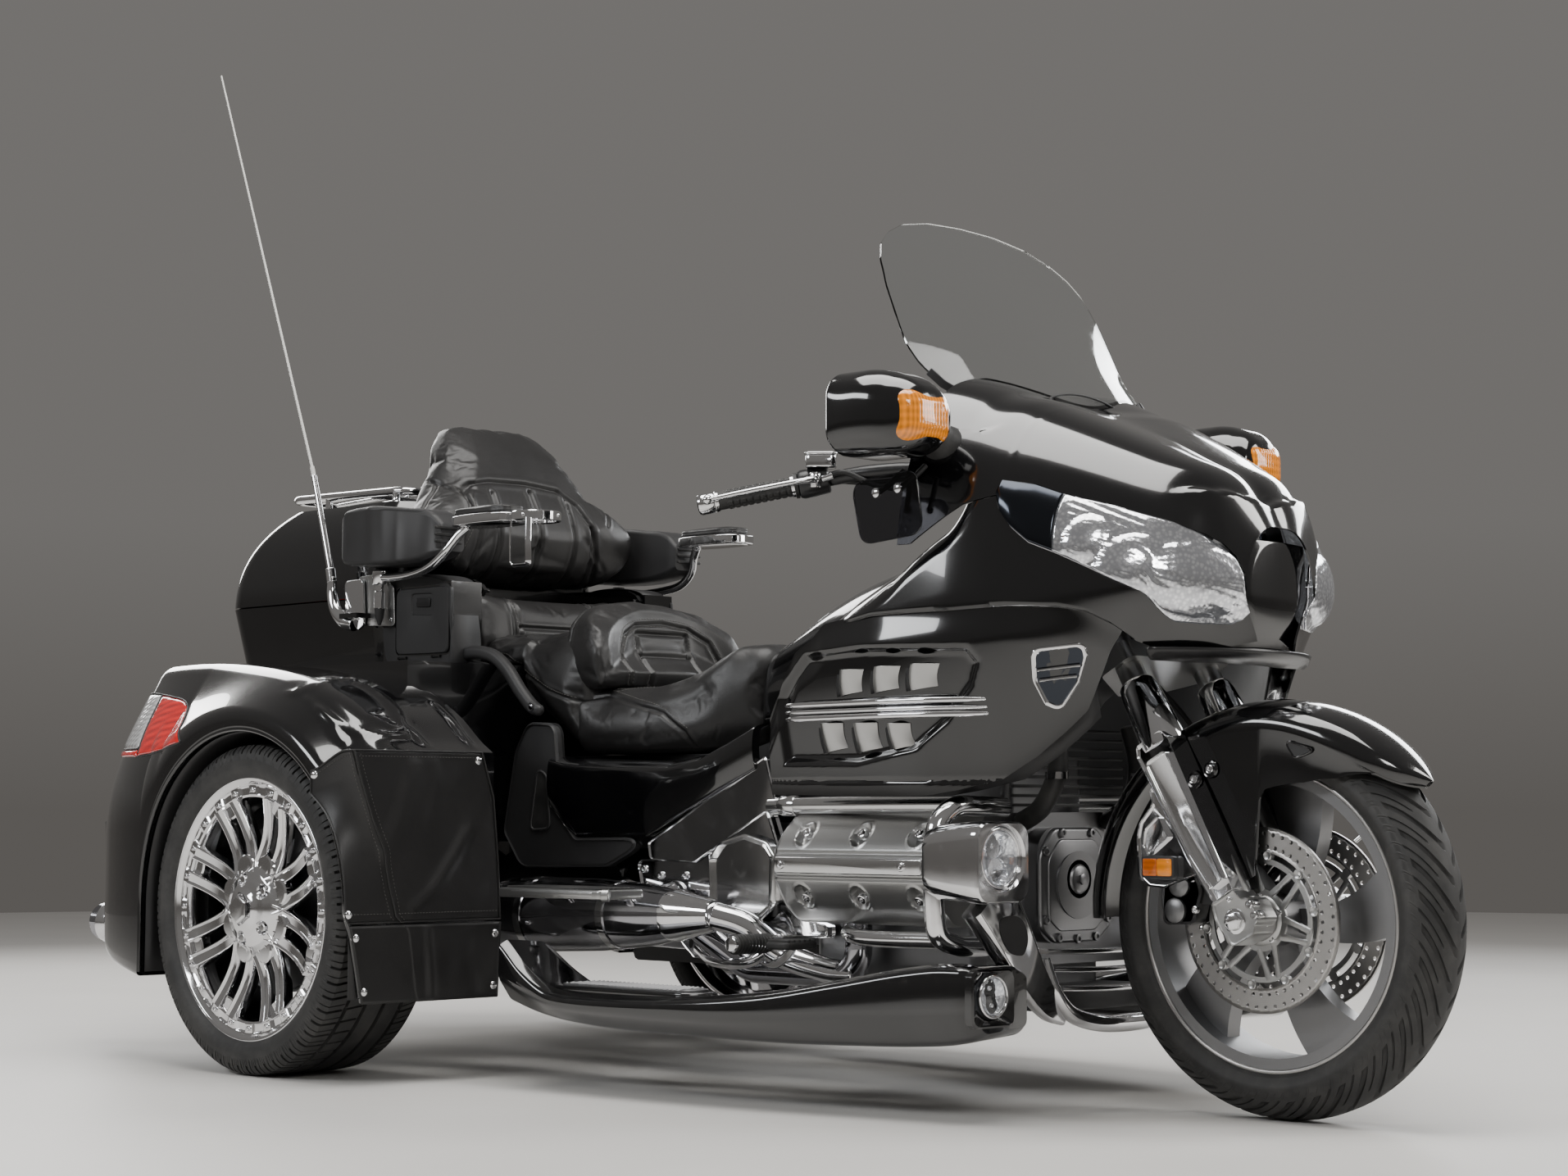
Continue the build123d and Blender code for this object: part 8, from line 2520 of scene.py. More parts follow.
@dataclass
class Upholstery:
    """Seat, lumbar roll, backrest and armrest pads, swollen together by one pressure simulation."""

    frames: int = 20
    pressure: float = 4.0

    def build(self, bench: Bench) -> None:
        """Make the start shapes, swell them, draw in the seams and add the stitches."""
        cushions = [self.rider(), self.flanks(), self.bolster(), self.lumbar(), self.backrest(), *self.pads()]
        made = [bench.piece(c.name, c.shape, LEATHER, c.body, replaces=c.replaces, sharp=180)
                for c in cushions]
        for cushion, piece in zip(cushions, made):
            self.remesh(piece, cushion.voxel)
        self.swell(cushions, made)
        for cushion, piece in zip(cushions, made):
            self.finish(cushion, piece)
        self.stitches(bench, dict(zip((c.name for c in cushions), made)))

    def rider(self) -> Cushion:
        """Rider's bucket: a broad nose, a dip and a wide base."""
        shape = stations([(704, -80, 80, 640, 776, 30), (694, -92, 92, 626, 794, 40),
                          (668, -106, 106, 612, 806, 48), (640, -122, 122, 606, 806, 50),
                          (600, -146, 146, 603, 780, 50), (560, -162, 162, 602, 748, 48),
                          (500, -180, 180, 602, 728, 46), (430, -194, 194, 602, 717, 44),
                          (360, -199, 199, 602, 716, 44), (300, -200, 200, 602, 722, 40),
                          (286, -199, 199, 604, 724, 38)], 70, 64)
        shape = bent_top(shape, 640, 800, dish=9, half=150, x_low=330, x_high=620)

        def groove(p: Array) -> Array:
            """Side panel seam and the curved seam in front of the bolster."""
            side = groove_along(p, [(286, 706), (340, 716), (416, 699), (502, 677), (553, 640), (566, 604)],
                                (0, 2), 3.0, 3.6) * (np.abs(p[:, 1]) > 110)
            bow = groove_along(p, [(352, -150), (402, -120), (424, -60), (430, 0), (424, 60), (402, 120),
                                   (352, 150)], (0, 1), 3.2, 3.8) * (p[:, 2] > 690)
            return side + bow
        return Cushion("seat_rider", shape, "chassis", lambda p: p[:, 2] < 612, groove, ("seat",), 14.0)

    def flanks(self) -> Cushion:
        """Passenger's seat, whose flanks run down to the side covers."""
        shape = stations([(306, -196, 196, 606, 760, 40), (290, -199, 199, 610, 812, 46),
                          (262, -200, 200, 622, 834, 50), (220, -200, 200, 646, 840, 52),
                          (180, -199, 199, 670, 838, 52), (140, -198, 198, 693, 836, 50),
                          (127, -198, 198, 704, 836, 50), (120, -198, 198, 782, 836, 27),
                          (60, -197, 197, 783, 836, 27), (4, -196, 196, 784, 838, 26),
                          (-8, -192, 192, 788, 832, 22)], 80, 64)

        def groove(p: Array) -> Array:
            """Long seam that drops along the flank, and the seat top's two seams."""
            drop = groove_along(p, [(-8, 806), (60, 800), (114, 772), (207, 728), (289, 704), (306, 700)],
                                (0, 2), 3.0, 3.8) * (np.abs(p[:, 1]) > 120)
            side = groove_along(p, [(-8, 158), (140, 162), (240, 150), (306, 120)], (0, 1), 3.0, 2.4)
            other = groove_along(p, [(-8, -158), (140, -162), (240, -150), (306, -120)], (0, 1), 3.0, 2.4)
            return drop + (side + other) * (p[:, 2] > 815)
        return Cushion("seat_passenger", shape, "chassis",
                       lambda p: (p[:, 2] < 612) | ((p[:, 0] < 122) & (p[:, 2] < 790)), groove, (), 10.0)

    def bolster(self) -> Cushion:
        """Rider's backrest: crowned, leaning back and wrapping forwards at both sides."""
        outline = rounded_outline([(-201, 728), (-206, 800), (-188, 862), (-142, 897), (-60, 911), (60, 911),
                                   (142, 897), (188, 862), (206, 800), (201, 728)],
                                  [14, 60, 50, 60, 90, 90, 60, 50, 60, 14], 7)[::-1]

        def put(uv: Array, level: Array) -> Array:
            """Depth from the rear (0) to the front (100), leaning back and bowed round the rider."""
            lean = -0.20 * (uv[:, 1] - 728)
            bow = 62 * (np.abs(uv[:, 0]) / 205) ** 2.6 * step_between(930, 820, uv[:, 1])
            narrow = 0.88 + 0.12 * level / 100
            return np.stack([216 + lean * 0.30 + (level / 100) * (96 + lean * 0.45) + bow * level / 100,
                             uv[:, 0] * narrow, uv[:, 1]], 1)
        shape = filled_slab(outline, 0, 100, 24, put)

        def groove(p: Array) -> Array:
            """Oval panel with a double seam, its two pads and the side seams."""
            front = (p[:, 0] > 262) * 1.0
            oval = [(-106, 726), (-108, 800), (-88, 838), (-50, 858), (20, 864), (84, 856), (128, 830),
                    (146, 790), (150, 726)]
            oval = [(y + (-14 if y < 0 else -10), z) for y, z in oval]
            d = groove_along(p, oval, (1, 2), 3.0, 4.4)
            d = d + groove_along(p, [(-68, 726), (-66, 842), (66, 842), (68, 726)], (1, 2), 3.4, 5.2)
            d = d + groove_along(p, [(-66, 797), (66, 797)], (1, 2), 3.4, 5.2)
            swell = -4.0 * np.exp(-((p[:, 1] / 50) ** 4)) * (np.exp(-((p[:, 2] - 768) / 26) ** 4)
                                                          + np.exp(-((p[:, 2] - 820) / 18) ** 4))
            rear = groove_along(p, [(238, 728), (244, 800), (240, 870), (228, 912)], (0, 2), 3.0, 4.0)
            return (d + swell) * front + rear * (np.abs(p[:, 1]) > 60)
        return Cushion("seat_bolster", shape, "chassis", lambda p: p[:, 2] < 738, groove, (), 13.0)

    def lumbar(self) -> Cushion:
        """Roll behind the passenger in three parts."""
        outline = rounded_outline([(-8, 788), (-6, 850), (-24, 922), (-44, 938), (-70, 936), (-84, 900),
                                   (-84, 788)], [10, 40, 20, 18, 18, 20, 8], 6)
        shape = filled_slab(outline, -200, 200, 26, seen_from_side)

        def groove(p: Array) -> Array:
            """Seams round the middle pad and beside it."""
            d = 0 * p[:, 0]
            for y in (-198, -118, -104, 104, 118):
                d = d + groove_along(p, [(y, 780), (y, 960)], (1, 2), 3.2, 5.0 if abs(y) < 150 else 2.5)
            low = groove_along(p, [(-104, 866), (104, 866)], (1, 2), 3.2, 5.0) * (p[:, 0] > -50)
            return d + low
        return Cushion("seat_lumbar_roll", shape, "chassis", lambda p: p[:, 2] < 796, groove, (), 11.0)

    def backrest(self) -> Cushion:
        """Winged backrest: its depth is blended between rear and front lines up the height."""
        half = [(80, 1312), (122, 1304), (150, 1264), (166, 1222), (194, 1176), (238, 1128), (268, 1092),
                (272, 1050), (258, 1012), (204, 974)]
        outline = rounded_outline(half + [(-y, z) for y, z in reversed(half)], 40, 4)
        rear = np.array([(960, -196), (1120, -196), (1160, -228), (1300, -282), (1330, -286)], float)
        front = np.array([(960, -74), (1060, -58), (1110, -76), (1160, -112), (1240, -164), (1310, -232),
                          (1330, -244)], float)

        def put(uv: Array, level: Array) -> Array:
            """Depth from the rear line (0) to the front line (100), dished in its middle."""
            back = blend_curve(rear[:, 0], rear[:, 1], uv[:, 1])[:, 0]
            face = blend_curve(front[:, 0], front[:, 1], uv[:, 1])[:, 0]
            dish = 20 * (1 - np.clip(np.abs(uv[:, 0]) / 190, 0, 1) ** 2) * step_between(1200, 1060, uv[:, 1])
            return np.stack([back + (face - back - dish) * level / 100, uv[:, 0], uv[:, 1]], 1)
        shape = filled_slab(outline, 0, 100, 24, put)

        def groove(p: Array) -> Array:
            """Vertical channels, the arched head panel's edge, the wings' seams and the side seam."""
            front = (p[:, 0] > -190) * 1.0
            d = 0 * p[:, 0]
            for y_low, y_high, top in ((-176, -160, 1092), (-116, -106, 1150), (0, 0, 1160), (96, 92, 1150),
                                       (150, 140, 1092)):
                d = d + groove_along(p, [(y_low, 968), ((y_low + y_high) / 2, 1030), (y_high, top)], (1, 2),
                                     3.8, 6.5)
            arch = [(-182, 1100), (-178, 1146), (-150, 1168), (-100, 1176), (0, 1178), (80, 1170),
                    (118, 1140), (140, 1092), (158, 1020), (172, 968)]
            d = d + groove_along(p, arch, (1, 2), 3.8, 6.5)
            sides = groove_along(p, [(-230, 972), (-196, 1064), (-178, 1120), (-206, 1210), (-190, 1262),
                                     (-112, 1308)], (1, 2), 3.0, 3.6)
            sides = sides + groove_along(p, [(184, 1100), (214, 1150), (206, 1204)], (1, 2), 3.0, 3.4)
            rim = groove_along(p, [(-118, 1064), (-150, 1150), (-200, 1240), (-262, 1316)], (0, 2), 3.0, 3.4)
            return (d + sides) * front + rim * (np.abs(p[:, 1]) > 190)
        return Cushion("backrest_pad", shape, "trunk_lid", lambda p: (p[:, 0] < -190) & (p[:, 2] < 1110),
                       groove, ("passenger_backrest",), 15.0)

    def pads(self) -> list[Cushion]:
        """Armrest pads."""
        outline = rounded_outline([(70, -342), (196, -344), (230, -330), (230, -284), (196, -270),
                                   (70, -272)], [14, 30, 20, 20, 30, 14], 6)
        right = filled_slab(outline, 1070, 1086, 7, seen_from_above)

        def groove(p: Array) -> Array:
            """Seam round the pad's rim."""
            return 1.6 * np.exp(-((p[:, 2] - 1079) / 2.4) ** 2)

        def held(p: Array) -> Array:
            """Underside on its plate."""
            return p[:, 2] < 1072.5
        return [Cushion("armrest_pad_right", right, "armrest_right", held, groove, (), 5.0, 4.0),
                Cushion("armrest_pad_left", right.mirrored(), "armrest_left", held, groove, (), 5.0, 4.0)]

    def remesh(self, piece: bpy.types.Object, voxel: float) -> None:
        """Replace the mesh by an even one."""
        even = piece.modifiers.new("even", "REMESH")
        even.mode, even.voxel_size, even.use_smooth_shade = "VOXEL", voxel / 1000, True
        self.settle(piece)

    def settle(self, piece: bpy.types.Object) -> None:
        """Apply every modifier of a piece."""
        graph = bpy.context.evaluated_depsgraph_get()
        mesh = bpy.data.meshes.new_from_object(piece.evaluated_get(graph))
        piece.modifiers.clear()
        old = piece.data
        piece.data = mesh
        bpy.data.meshes.remove(old)

    def swell(self, cushions: Sequence[Cushion], made: Sequence[bpy.types.Object]) -> None:
        """Blow all pads up together over twenty frames, cap how far each point moved and keep the result."""
        starts = []
        for cushion, piece in zip(cushions, made):
            start = np.empty(len(piece.data.vertices) * 3)
            piece.data.vertices.foreach_get("co", start)
            starts.append(start.reshape(-1, 3))
            inside = starts[-1] * 1000 + [MID_X, 0, 0]
            group = piece.vertex_groups.new(name="held")
            group.add(np.flatnonzero(cushion.held(inside)).tolist(), 1.0, "REPLACE")
            cloth = piece.modifiers.new("swell", "CLOTH")
            setup = cloth.settings
            setup.quality, setup.mass = 5, 0.3
            setup.tension_stiffness = setup.compression_stiffness = 15
            setup.shear_stiffness, setup.bending_stiffness = 5, 0.5
            setup.use_pressure, setup.uniform_pressure_force = True, self.pressure
            setup.vertex_group_mass = "held"
            setup.effector_weights.gravity = 0
            cloth.collision_settings.use_collision = False
            cloth.point_cache.frame_start, cloth.point_cache.frame_end = 1, self.frames
        scene = bpy.context.scene
        for frame in range(1, self.frames + 1):
            scene.frame_set(frame)
        for cushion, piece, start in zip(cushions, made, starts):
            self.settle(piece)
            end = np.empty(len(piece.data.vertices) * 3)
            piece.data.vertices.foreach_get("co", end)
            move = end.reshape(-1, 3) - start
            far = np.linalg.norm(move, axis=1)[:, None] + 1e-12
            move *= np.minimum(1, cushion.limit / 1000 / far)
            piece.data.vertices.foreach_set("co", (start + move).ravel())
            piece.vertex_groups.clear()
            log.info("%s: moved up to %.0f mm", piece.name, far.max() * 1000)
        scene.frame_set(1)

    def finish(self, cushion: Cushion, piece: bpy.types.Object) -> None:
        """Add one subdivision, then draw the seams in along the normals."""
        smooth = piece.modifiers.new("smooth", "SUBSURF")
        smooth.levels = smooth.render_levels = 1
        self.settle(piece)
        mesh = piece.data
        co, normal = np.empty(len(mesh.vertices) * 3), np.empty(len(mesh.vertices) * 3)
        mesh.vertices.foreach_get("co", co)
        mesh.vertices.foreach_get("normal", normal)
        co, normal = co.reshape(-1, 3), normal.reshape(-1, 3)
        points = co * 1000 + [MID_X, 0, 0]
        free = 1.0 - cushion.held(points) * 1.0
        co -= normal * (cushion.groove(points) * free / 1000)[:, None]
        mesh.vertices.foreach_set("co", co.ravel())
        mesh.polygons.foreach_set("use_smooth", np.ones(len(mesh.polygons), bool))
        mesh.update()

    def stitches(self, bench: Bench, pieces: dict[str, bpy.types.Object]) -> None:
        """Thread laid along the seams: each path is dropped on its pad along a direction."""
        lines = {"seat_rider": [([(340, -260, 726), (416, -260, 709), (502, -260, 687), (560, -260, 648)],
                                 (0, 1, 0)), ([(346, -146, 900), (396, -120, 900), (418, -60, 900),
                                               (424, 0, 900), (418, 60, 900), (396, 120, 900),
                                               (346, 146, 900)], (0, 0, -1)),
                                ([(358, -154, 900), (408, -124, 900), (432, -62, 900), (438, 0, 900),
                                  (432, 62, 900), (408, 124, 900), (358, 154, 900)], (0, 0, -1))],
                 "seat_passenger": [([(0, -260, 811), (60, -260, 806), (114, -260, 779), (207, -260, 735),
                                      (285, -260, 711)], (0, 1, 0))],
                 "seat_bolster": [([(500, -126, 740), (500, -127, 800), (500, -108, 846), (500, -66, 868),
                                    (500, 14, 873), (500, 78, 865), (500, 124, 836), (500, 144, 790),
                                    (500, 148, 740)], (-1, 0, 0)),
                                  ([(500, -114, 740), (500, -115, 798), (500, -96, 834), (500, -60, 852),
                                    (500, 12, 858), (500, 70, 850), (500, 112, 824), (500, 132, 788),
                                    (500, 136, 740)], (-1, 0, 0)),
                                  ([(500, -74, 740), (500, -73, 838)], (-1, 0, 0)),
                                  ([(500, 74, 740), (500, 73, 838)], (-1, 0, 0))],
                 "seat_lumbar_roll": [([(300, -111, 800), (300, -111, 925)], (-1, 0, 0)),
                                      ([(300, 111, 800), (300, 111, 925)], (-1, 0, 0))],
                 "backrest_pad": [([(300, -236, 990), (300, -204, 1064), (300, -186, 1120), (300, -212, 1206),
                                    (300, -196, 1256)], (-1, 0, 0)),
                                  ([(300, -222, 990), (300, -189, 1064), (300, -170, 1124), (300, -196, 1200),
                                    (300, -182, 1250)], (-1, 0, 0))],}
        for name, paths in lines.items():
            thread = joined(self.row_of_stitches(pieces[name], path, heading) for path, heading in paths)
            body = "trunk_lid" if name == "backrest_pad" else "chassis"
            bench.piece(f"{name}_stitches", thread, THREAD, body, merge=False, sharp=180)

    def row_of_stitches(self, piece: bpy.types.Object, path: Sequence[Sequence[float]],
                        heading: Sequence[float]) -> Shape:
        """Six-sided stitches 4.4 mm long every 6.5 mm where the dropped path meets the pad."""
        p = np.asarray(path, float)
        length = np.linalg.norm(np.diff(p, axis=0), axis=1).sum()
        dense = smooth_path(p, max(8, int(length / 3.25)))
        hits = []
        direction = Vector(heading)
        for point in dense:
            start = Vector(((point[0] - MID_X) / 1000, point[1] / 1000, point[2] / 1000))
            found, where, _, _ = piece.ray_cast(start, direction)
            hits.append(np.array(where) * 1000 + [MID_X, 0, 0] if found else None)
        made = EMPTY
        for a, b in zip(hits[::2], hits[1::2]):
            if a is None or b is None or np.linalg.norm(a - b) > 9:
                continue
            mid, half = (a + b) / 2 - np.array(heading) * 0.25, (b - a) * 0.62
            made += carried(circle(0.62, 6), np.stack([mid - half, mid - half * 0.7, mid + half * 0.7,
                                                       mid + half]), np.array([0.4, 1, 1, 0.4]))
        return made


def filled_slab(outline: Array, low: float, high: float, edge: float,
                place: Callable[[Array, Array], Array]) -> Shape:
    """Slab whose faces are filled by rings towards the outline's middle, so that a bent face stays smooth."""
    middle = outline.mean(0)
    after, before = np.roll(outline, -1, 0), np.roll(outline, 1, 0)
    tangent = after - before
    tangent /= np.linalg.norm(tangent, axis=1)[:, None] + 1e-12
    inward = np.stack([-tangent[:, 1], tangent[:, 0]], 1)
    area = 0.5 * np.sum(outline[:, 0] * after[:, 1] - outline[:, 1] * after[:, 0])
    inward = inward * np.sign(area)
    soft = edge if high - low > 2 * edge else (high - low) / 2 - 0.5
    rings, levels = [], []
    for a in np.linspace(0, math.pi / 2, 6):
        rings.append(outline + inward * edge * (1 - math.sin(a)))
        levels.append(low + soft * (1 - math.cos(a)))
    rings, levels = rings + rings[::-1], levels + [high - (v - low) for v in levels[::-1]]
    inner = [middle + (rings[0] - middle) * k for k in np.linspace(0.02, 0.94, 12)]
    rings = inner + rings + inner[::-1]
    levels = [low] * 12 + levels + [high] * 12
    grid = np.stack([at_level(ring, level, place) for ring, level in zip(rings, levels)])
    return net(grid, wrap_v=True, cap_u=True)


def bent_top(shape: Shape, z_low: float, z_high: float, dish: float, half: float, x_low: float,
             x_high: float) -> Shape:
    """The shape with its top dished across between two places along the machine."""
    p = shape.points.copy()
    share = np.clip((p[:, 2] - z_low) / (z_high - z_low) * 2, 0, 1)
    there = step_between(x_low - 60, x_low, p[:, 0]) * step_between(x_high + 60, x_high, p[:, 0])
    p[:, 2] -= dish * share * there * np.clip(1 - (p[:, 1] / half) ** 2, 0, 1)
    return Shape(p, shape.faces)


# Rear body

ARCH_RADIUS = 334.0
ARCH_HEIGHT = 309.0
FENDER_FRONT = 346.0
FENDER_ROWS = ((-690, 640, 560, 470), (-500, 744, 624, 566), (-230, 790, 660, 584), (60, 790, 690, 566),
               (250, 788, 696, 548), (346, 786, 700, 530))
FENDER_TOP = ((-690, 470), (-687, 500), (-677, 572), (-664, 618), (-600, 688), (-545, 746), (-508, 776),
              (-480, 785), (-230, 780), (60, 746), (160, 716), (250, 668), (310, 622), (346, 600))
FENDER_FOOT = ((-690, 466), (-676, 400), (-648, 330), (-600, 258), (-540, 214), (-470, 194), (-334, 172))
FENDER_RIDGES = (((92, -724, 704), (114, -693, 716), (118, -658, 726), (112, -609, 735), (141, -602, 723),
                  (179, -597, 707), (214, -600, 689), (240, -603, 674), (266, -612, 656)),
                 ((176, -727, 673), (214, -724, 653), (250, -714, 636), (282, -698, 628), (300, -670, 626),
                  (300, -627, 632)), ((252, -672, 659), (273, -648, 649), (286, -607, 641), (328, -600, 611)),
                 ((200, -484, 697), (236, -486, 676), (273, -488, 650), (333, -493, 607)),
                 ((130, -722, 694), (176, -727, 673), (214, -731, 650), (246, -736, 626), (290, -742, 606)))
FENDER_RIDGE_HEIGHTS = (8.0, 6.0, 5.0, 5.0, 3.0)
FRONT_CORNER = ((150, 632), (168, 637), (279, 655), (304, 684), (348, 696), (422, 713), (516, 752),
                (604, 782))


def arch_edge(z: Array) -> Array:
    """Position of the fender's edge ahead of the wheel at a height: the arch plus a margin, within limits."""
    return np.clip(np.sqrt(np.maximum(ARCH_RADIUS ** 2 - np.maximum(z - ARCH_HEIGHT, 0) ** 2, 0)) + 8, 236,
                   342)


def fender_reach(x: Array, z: Array) -> Array:
    """Greatest distance of the fender from the middle: its plan, drawn in towards its lower front corner.

    Ahead of the arch the plan's width goes to the front corner's own line in height, by the power 1.3 of the
    way; low down the plan itself is drawn in by up to 38 ahead of x = 250.
    """
    x, z = np.broadcast_arrays(np.asarray(x, float), np.asarray(z, float))
    rows = np.asarray(FENDER_ROWS, float)
    plan = blend_curve(rows[:, 0], rows[:, 1], x).reshape(x.shape)
    low = np.interp(z, [150, 280, 330], [748, 774, 800])
    plan = plan + (np.minimum(plan, low) - plan) * step_between(250, 334, x)
    line = np.asarray(FRONT_CORNER, float)
    corner = np.minimum(np.interp(z, line[:, 0], line[:, 1]), plan)
    edge = arch_edge(z)
    share = np.clip((x - edge) / (FENDER_FRONT - edge), 0, 1) ** 1.3
    return plan + (corner - plan) * share


def rounded_rings(corners: Array, radii: Array, steps: int, between: Sequence[int]) -> Array:
    """Closed rings from corner points, with each corner rounded by a quadratic arc.

    Args:
        corners: rings by corners by 2.
        radii: rings by corners.
        steps: segments in each arc.
        between: points added on the straight run after each corner.

    Returns:
        Rings by points by 2.
    """
    a, b = np.roll(corners, 1, 1) - corners, np.roll(corners, -1, 1) - corners
    la, lb = np.linalg.norm(a, axis=2) + 1e-9, np.linalg.norm(b, axis=2) + 1e-9
    cut = np.minimum(radii, np.minimum(la, lb) * 0.46)[..., None]
    start, end = corners + a / la[..., None] * cut, corners + b / lb[..., None] * cut
    t = np.linspace(0, 1, steps + 1)[:, None]
    parts = []
    for k, extra in enumerate(between):
        s, m, e = start[:, k, None], corners[:, k, None], end[:, k, None]
        parts.append((1 - t) ** 2 * s + 2 * t * (1 - t) * m + t ** 2 * e)
        following = start[:, (k + 1) % len(between), None]
        w = np.linspace(0, 1, extra + 2)[1:-1, None]
        parts.append(e + (following - e) * w)
    return np.concatenate(parts, 1)


def near_lines(points: Array, lines: Sequence[Array], heights: Sequence[float], width: float) -> Array:
    """Height of rounded ridges along paths: height times exp of minus (distance / width) squared."""
    out = np.zeros(len(points))
    for line, height in zip(lines, heights):
        best = np.full(len(points), 1e9)
        for a, b in zip(line[:-1], line[1:]):
            d = b - a
            t = np.clip(((points - a) @ d) / (d @ d + 1e-9), 0, 1)
            best = np.minimum(best, np.linalg.norm(points - a - t[:, None] * d, axis=1))
        out = out + height * np.exp(-(best / width) ** 2)
    return out


STITCH_PITCH = 7.0
STITCH_LENGTH = 4.6


def stitched(path: Array, out: Sequence[float], size: float) -> Shape:
    """Row of stitches along a path: each is a flattened lozenge, raised towards out.

    Args:
        path: points of the seam by 3.
        out: direction that the stitches stand up in.
        size: half of a stitch's width, and its height.

    Returns:
        The stitches.
    """
    run = np.concatenate([[0], np.cumsum(np.linalg.norm(np.diff(path, axis=0), axis=1))])
    at = np.arange(STITCH_PITCH, run[-1] - STITCH_PITCH / 2, STITCH_PITCH)
    middle = np.stack([np.interp(at, run, path[:, k]) for k in range(3)], 1)
    ahead = np.stack([np.interp(at + 1, run, path[:, k]) for k in range(3)], 1) - middle
    ahead /= np.linalg.norm(ahead, axis=1)[:, None] + 1e-9
    up = np.asarray(out, float) / np.linalg.norm(out)
    across = np.cross(ahead, up)
    across /= np.linalg.norm(across, axis=1)[:, None] + 1e-9
    corner = np.array([(-1, 0, 0), (0, -1, 0), (1, 0, 0), (0, 1, 0), (0, 0, 1.3), (0, 0, -0.6)])
    points = (middle[:, None] + corner[None, :, :1] * ahead[:, None] * STITCH_LENGTH / 2
              + corner[None, :, 1:2] * across[:, None] * size + corner[None, :, 2:] * up * size)
    faces = np.array([(0, 1, 4), (1, 2, 4), (2, 3, 4), (3, 0, 4), (1, 0, 5), (2, 1, 5), (3, 2, 5), (0, 3, 5)])
    every = (np.arange(len(at))[:, None, None] * 6 + faces[None]).reshape(-1, 3)
    return Shape(points.reshape(-1, 3), [tuple(f) for f in every.tolist()])


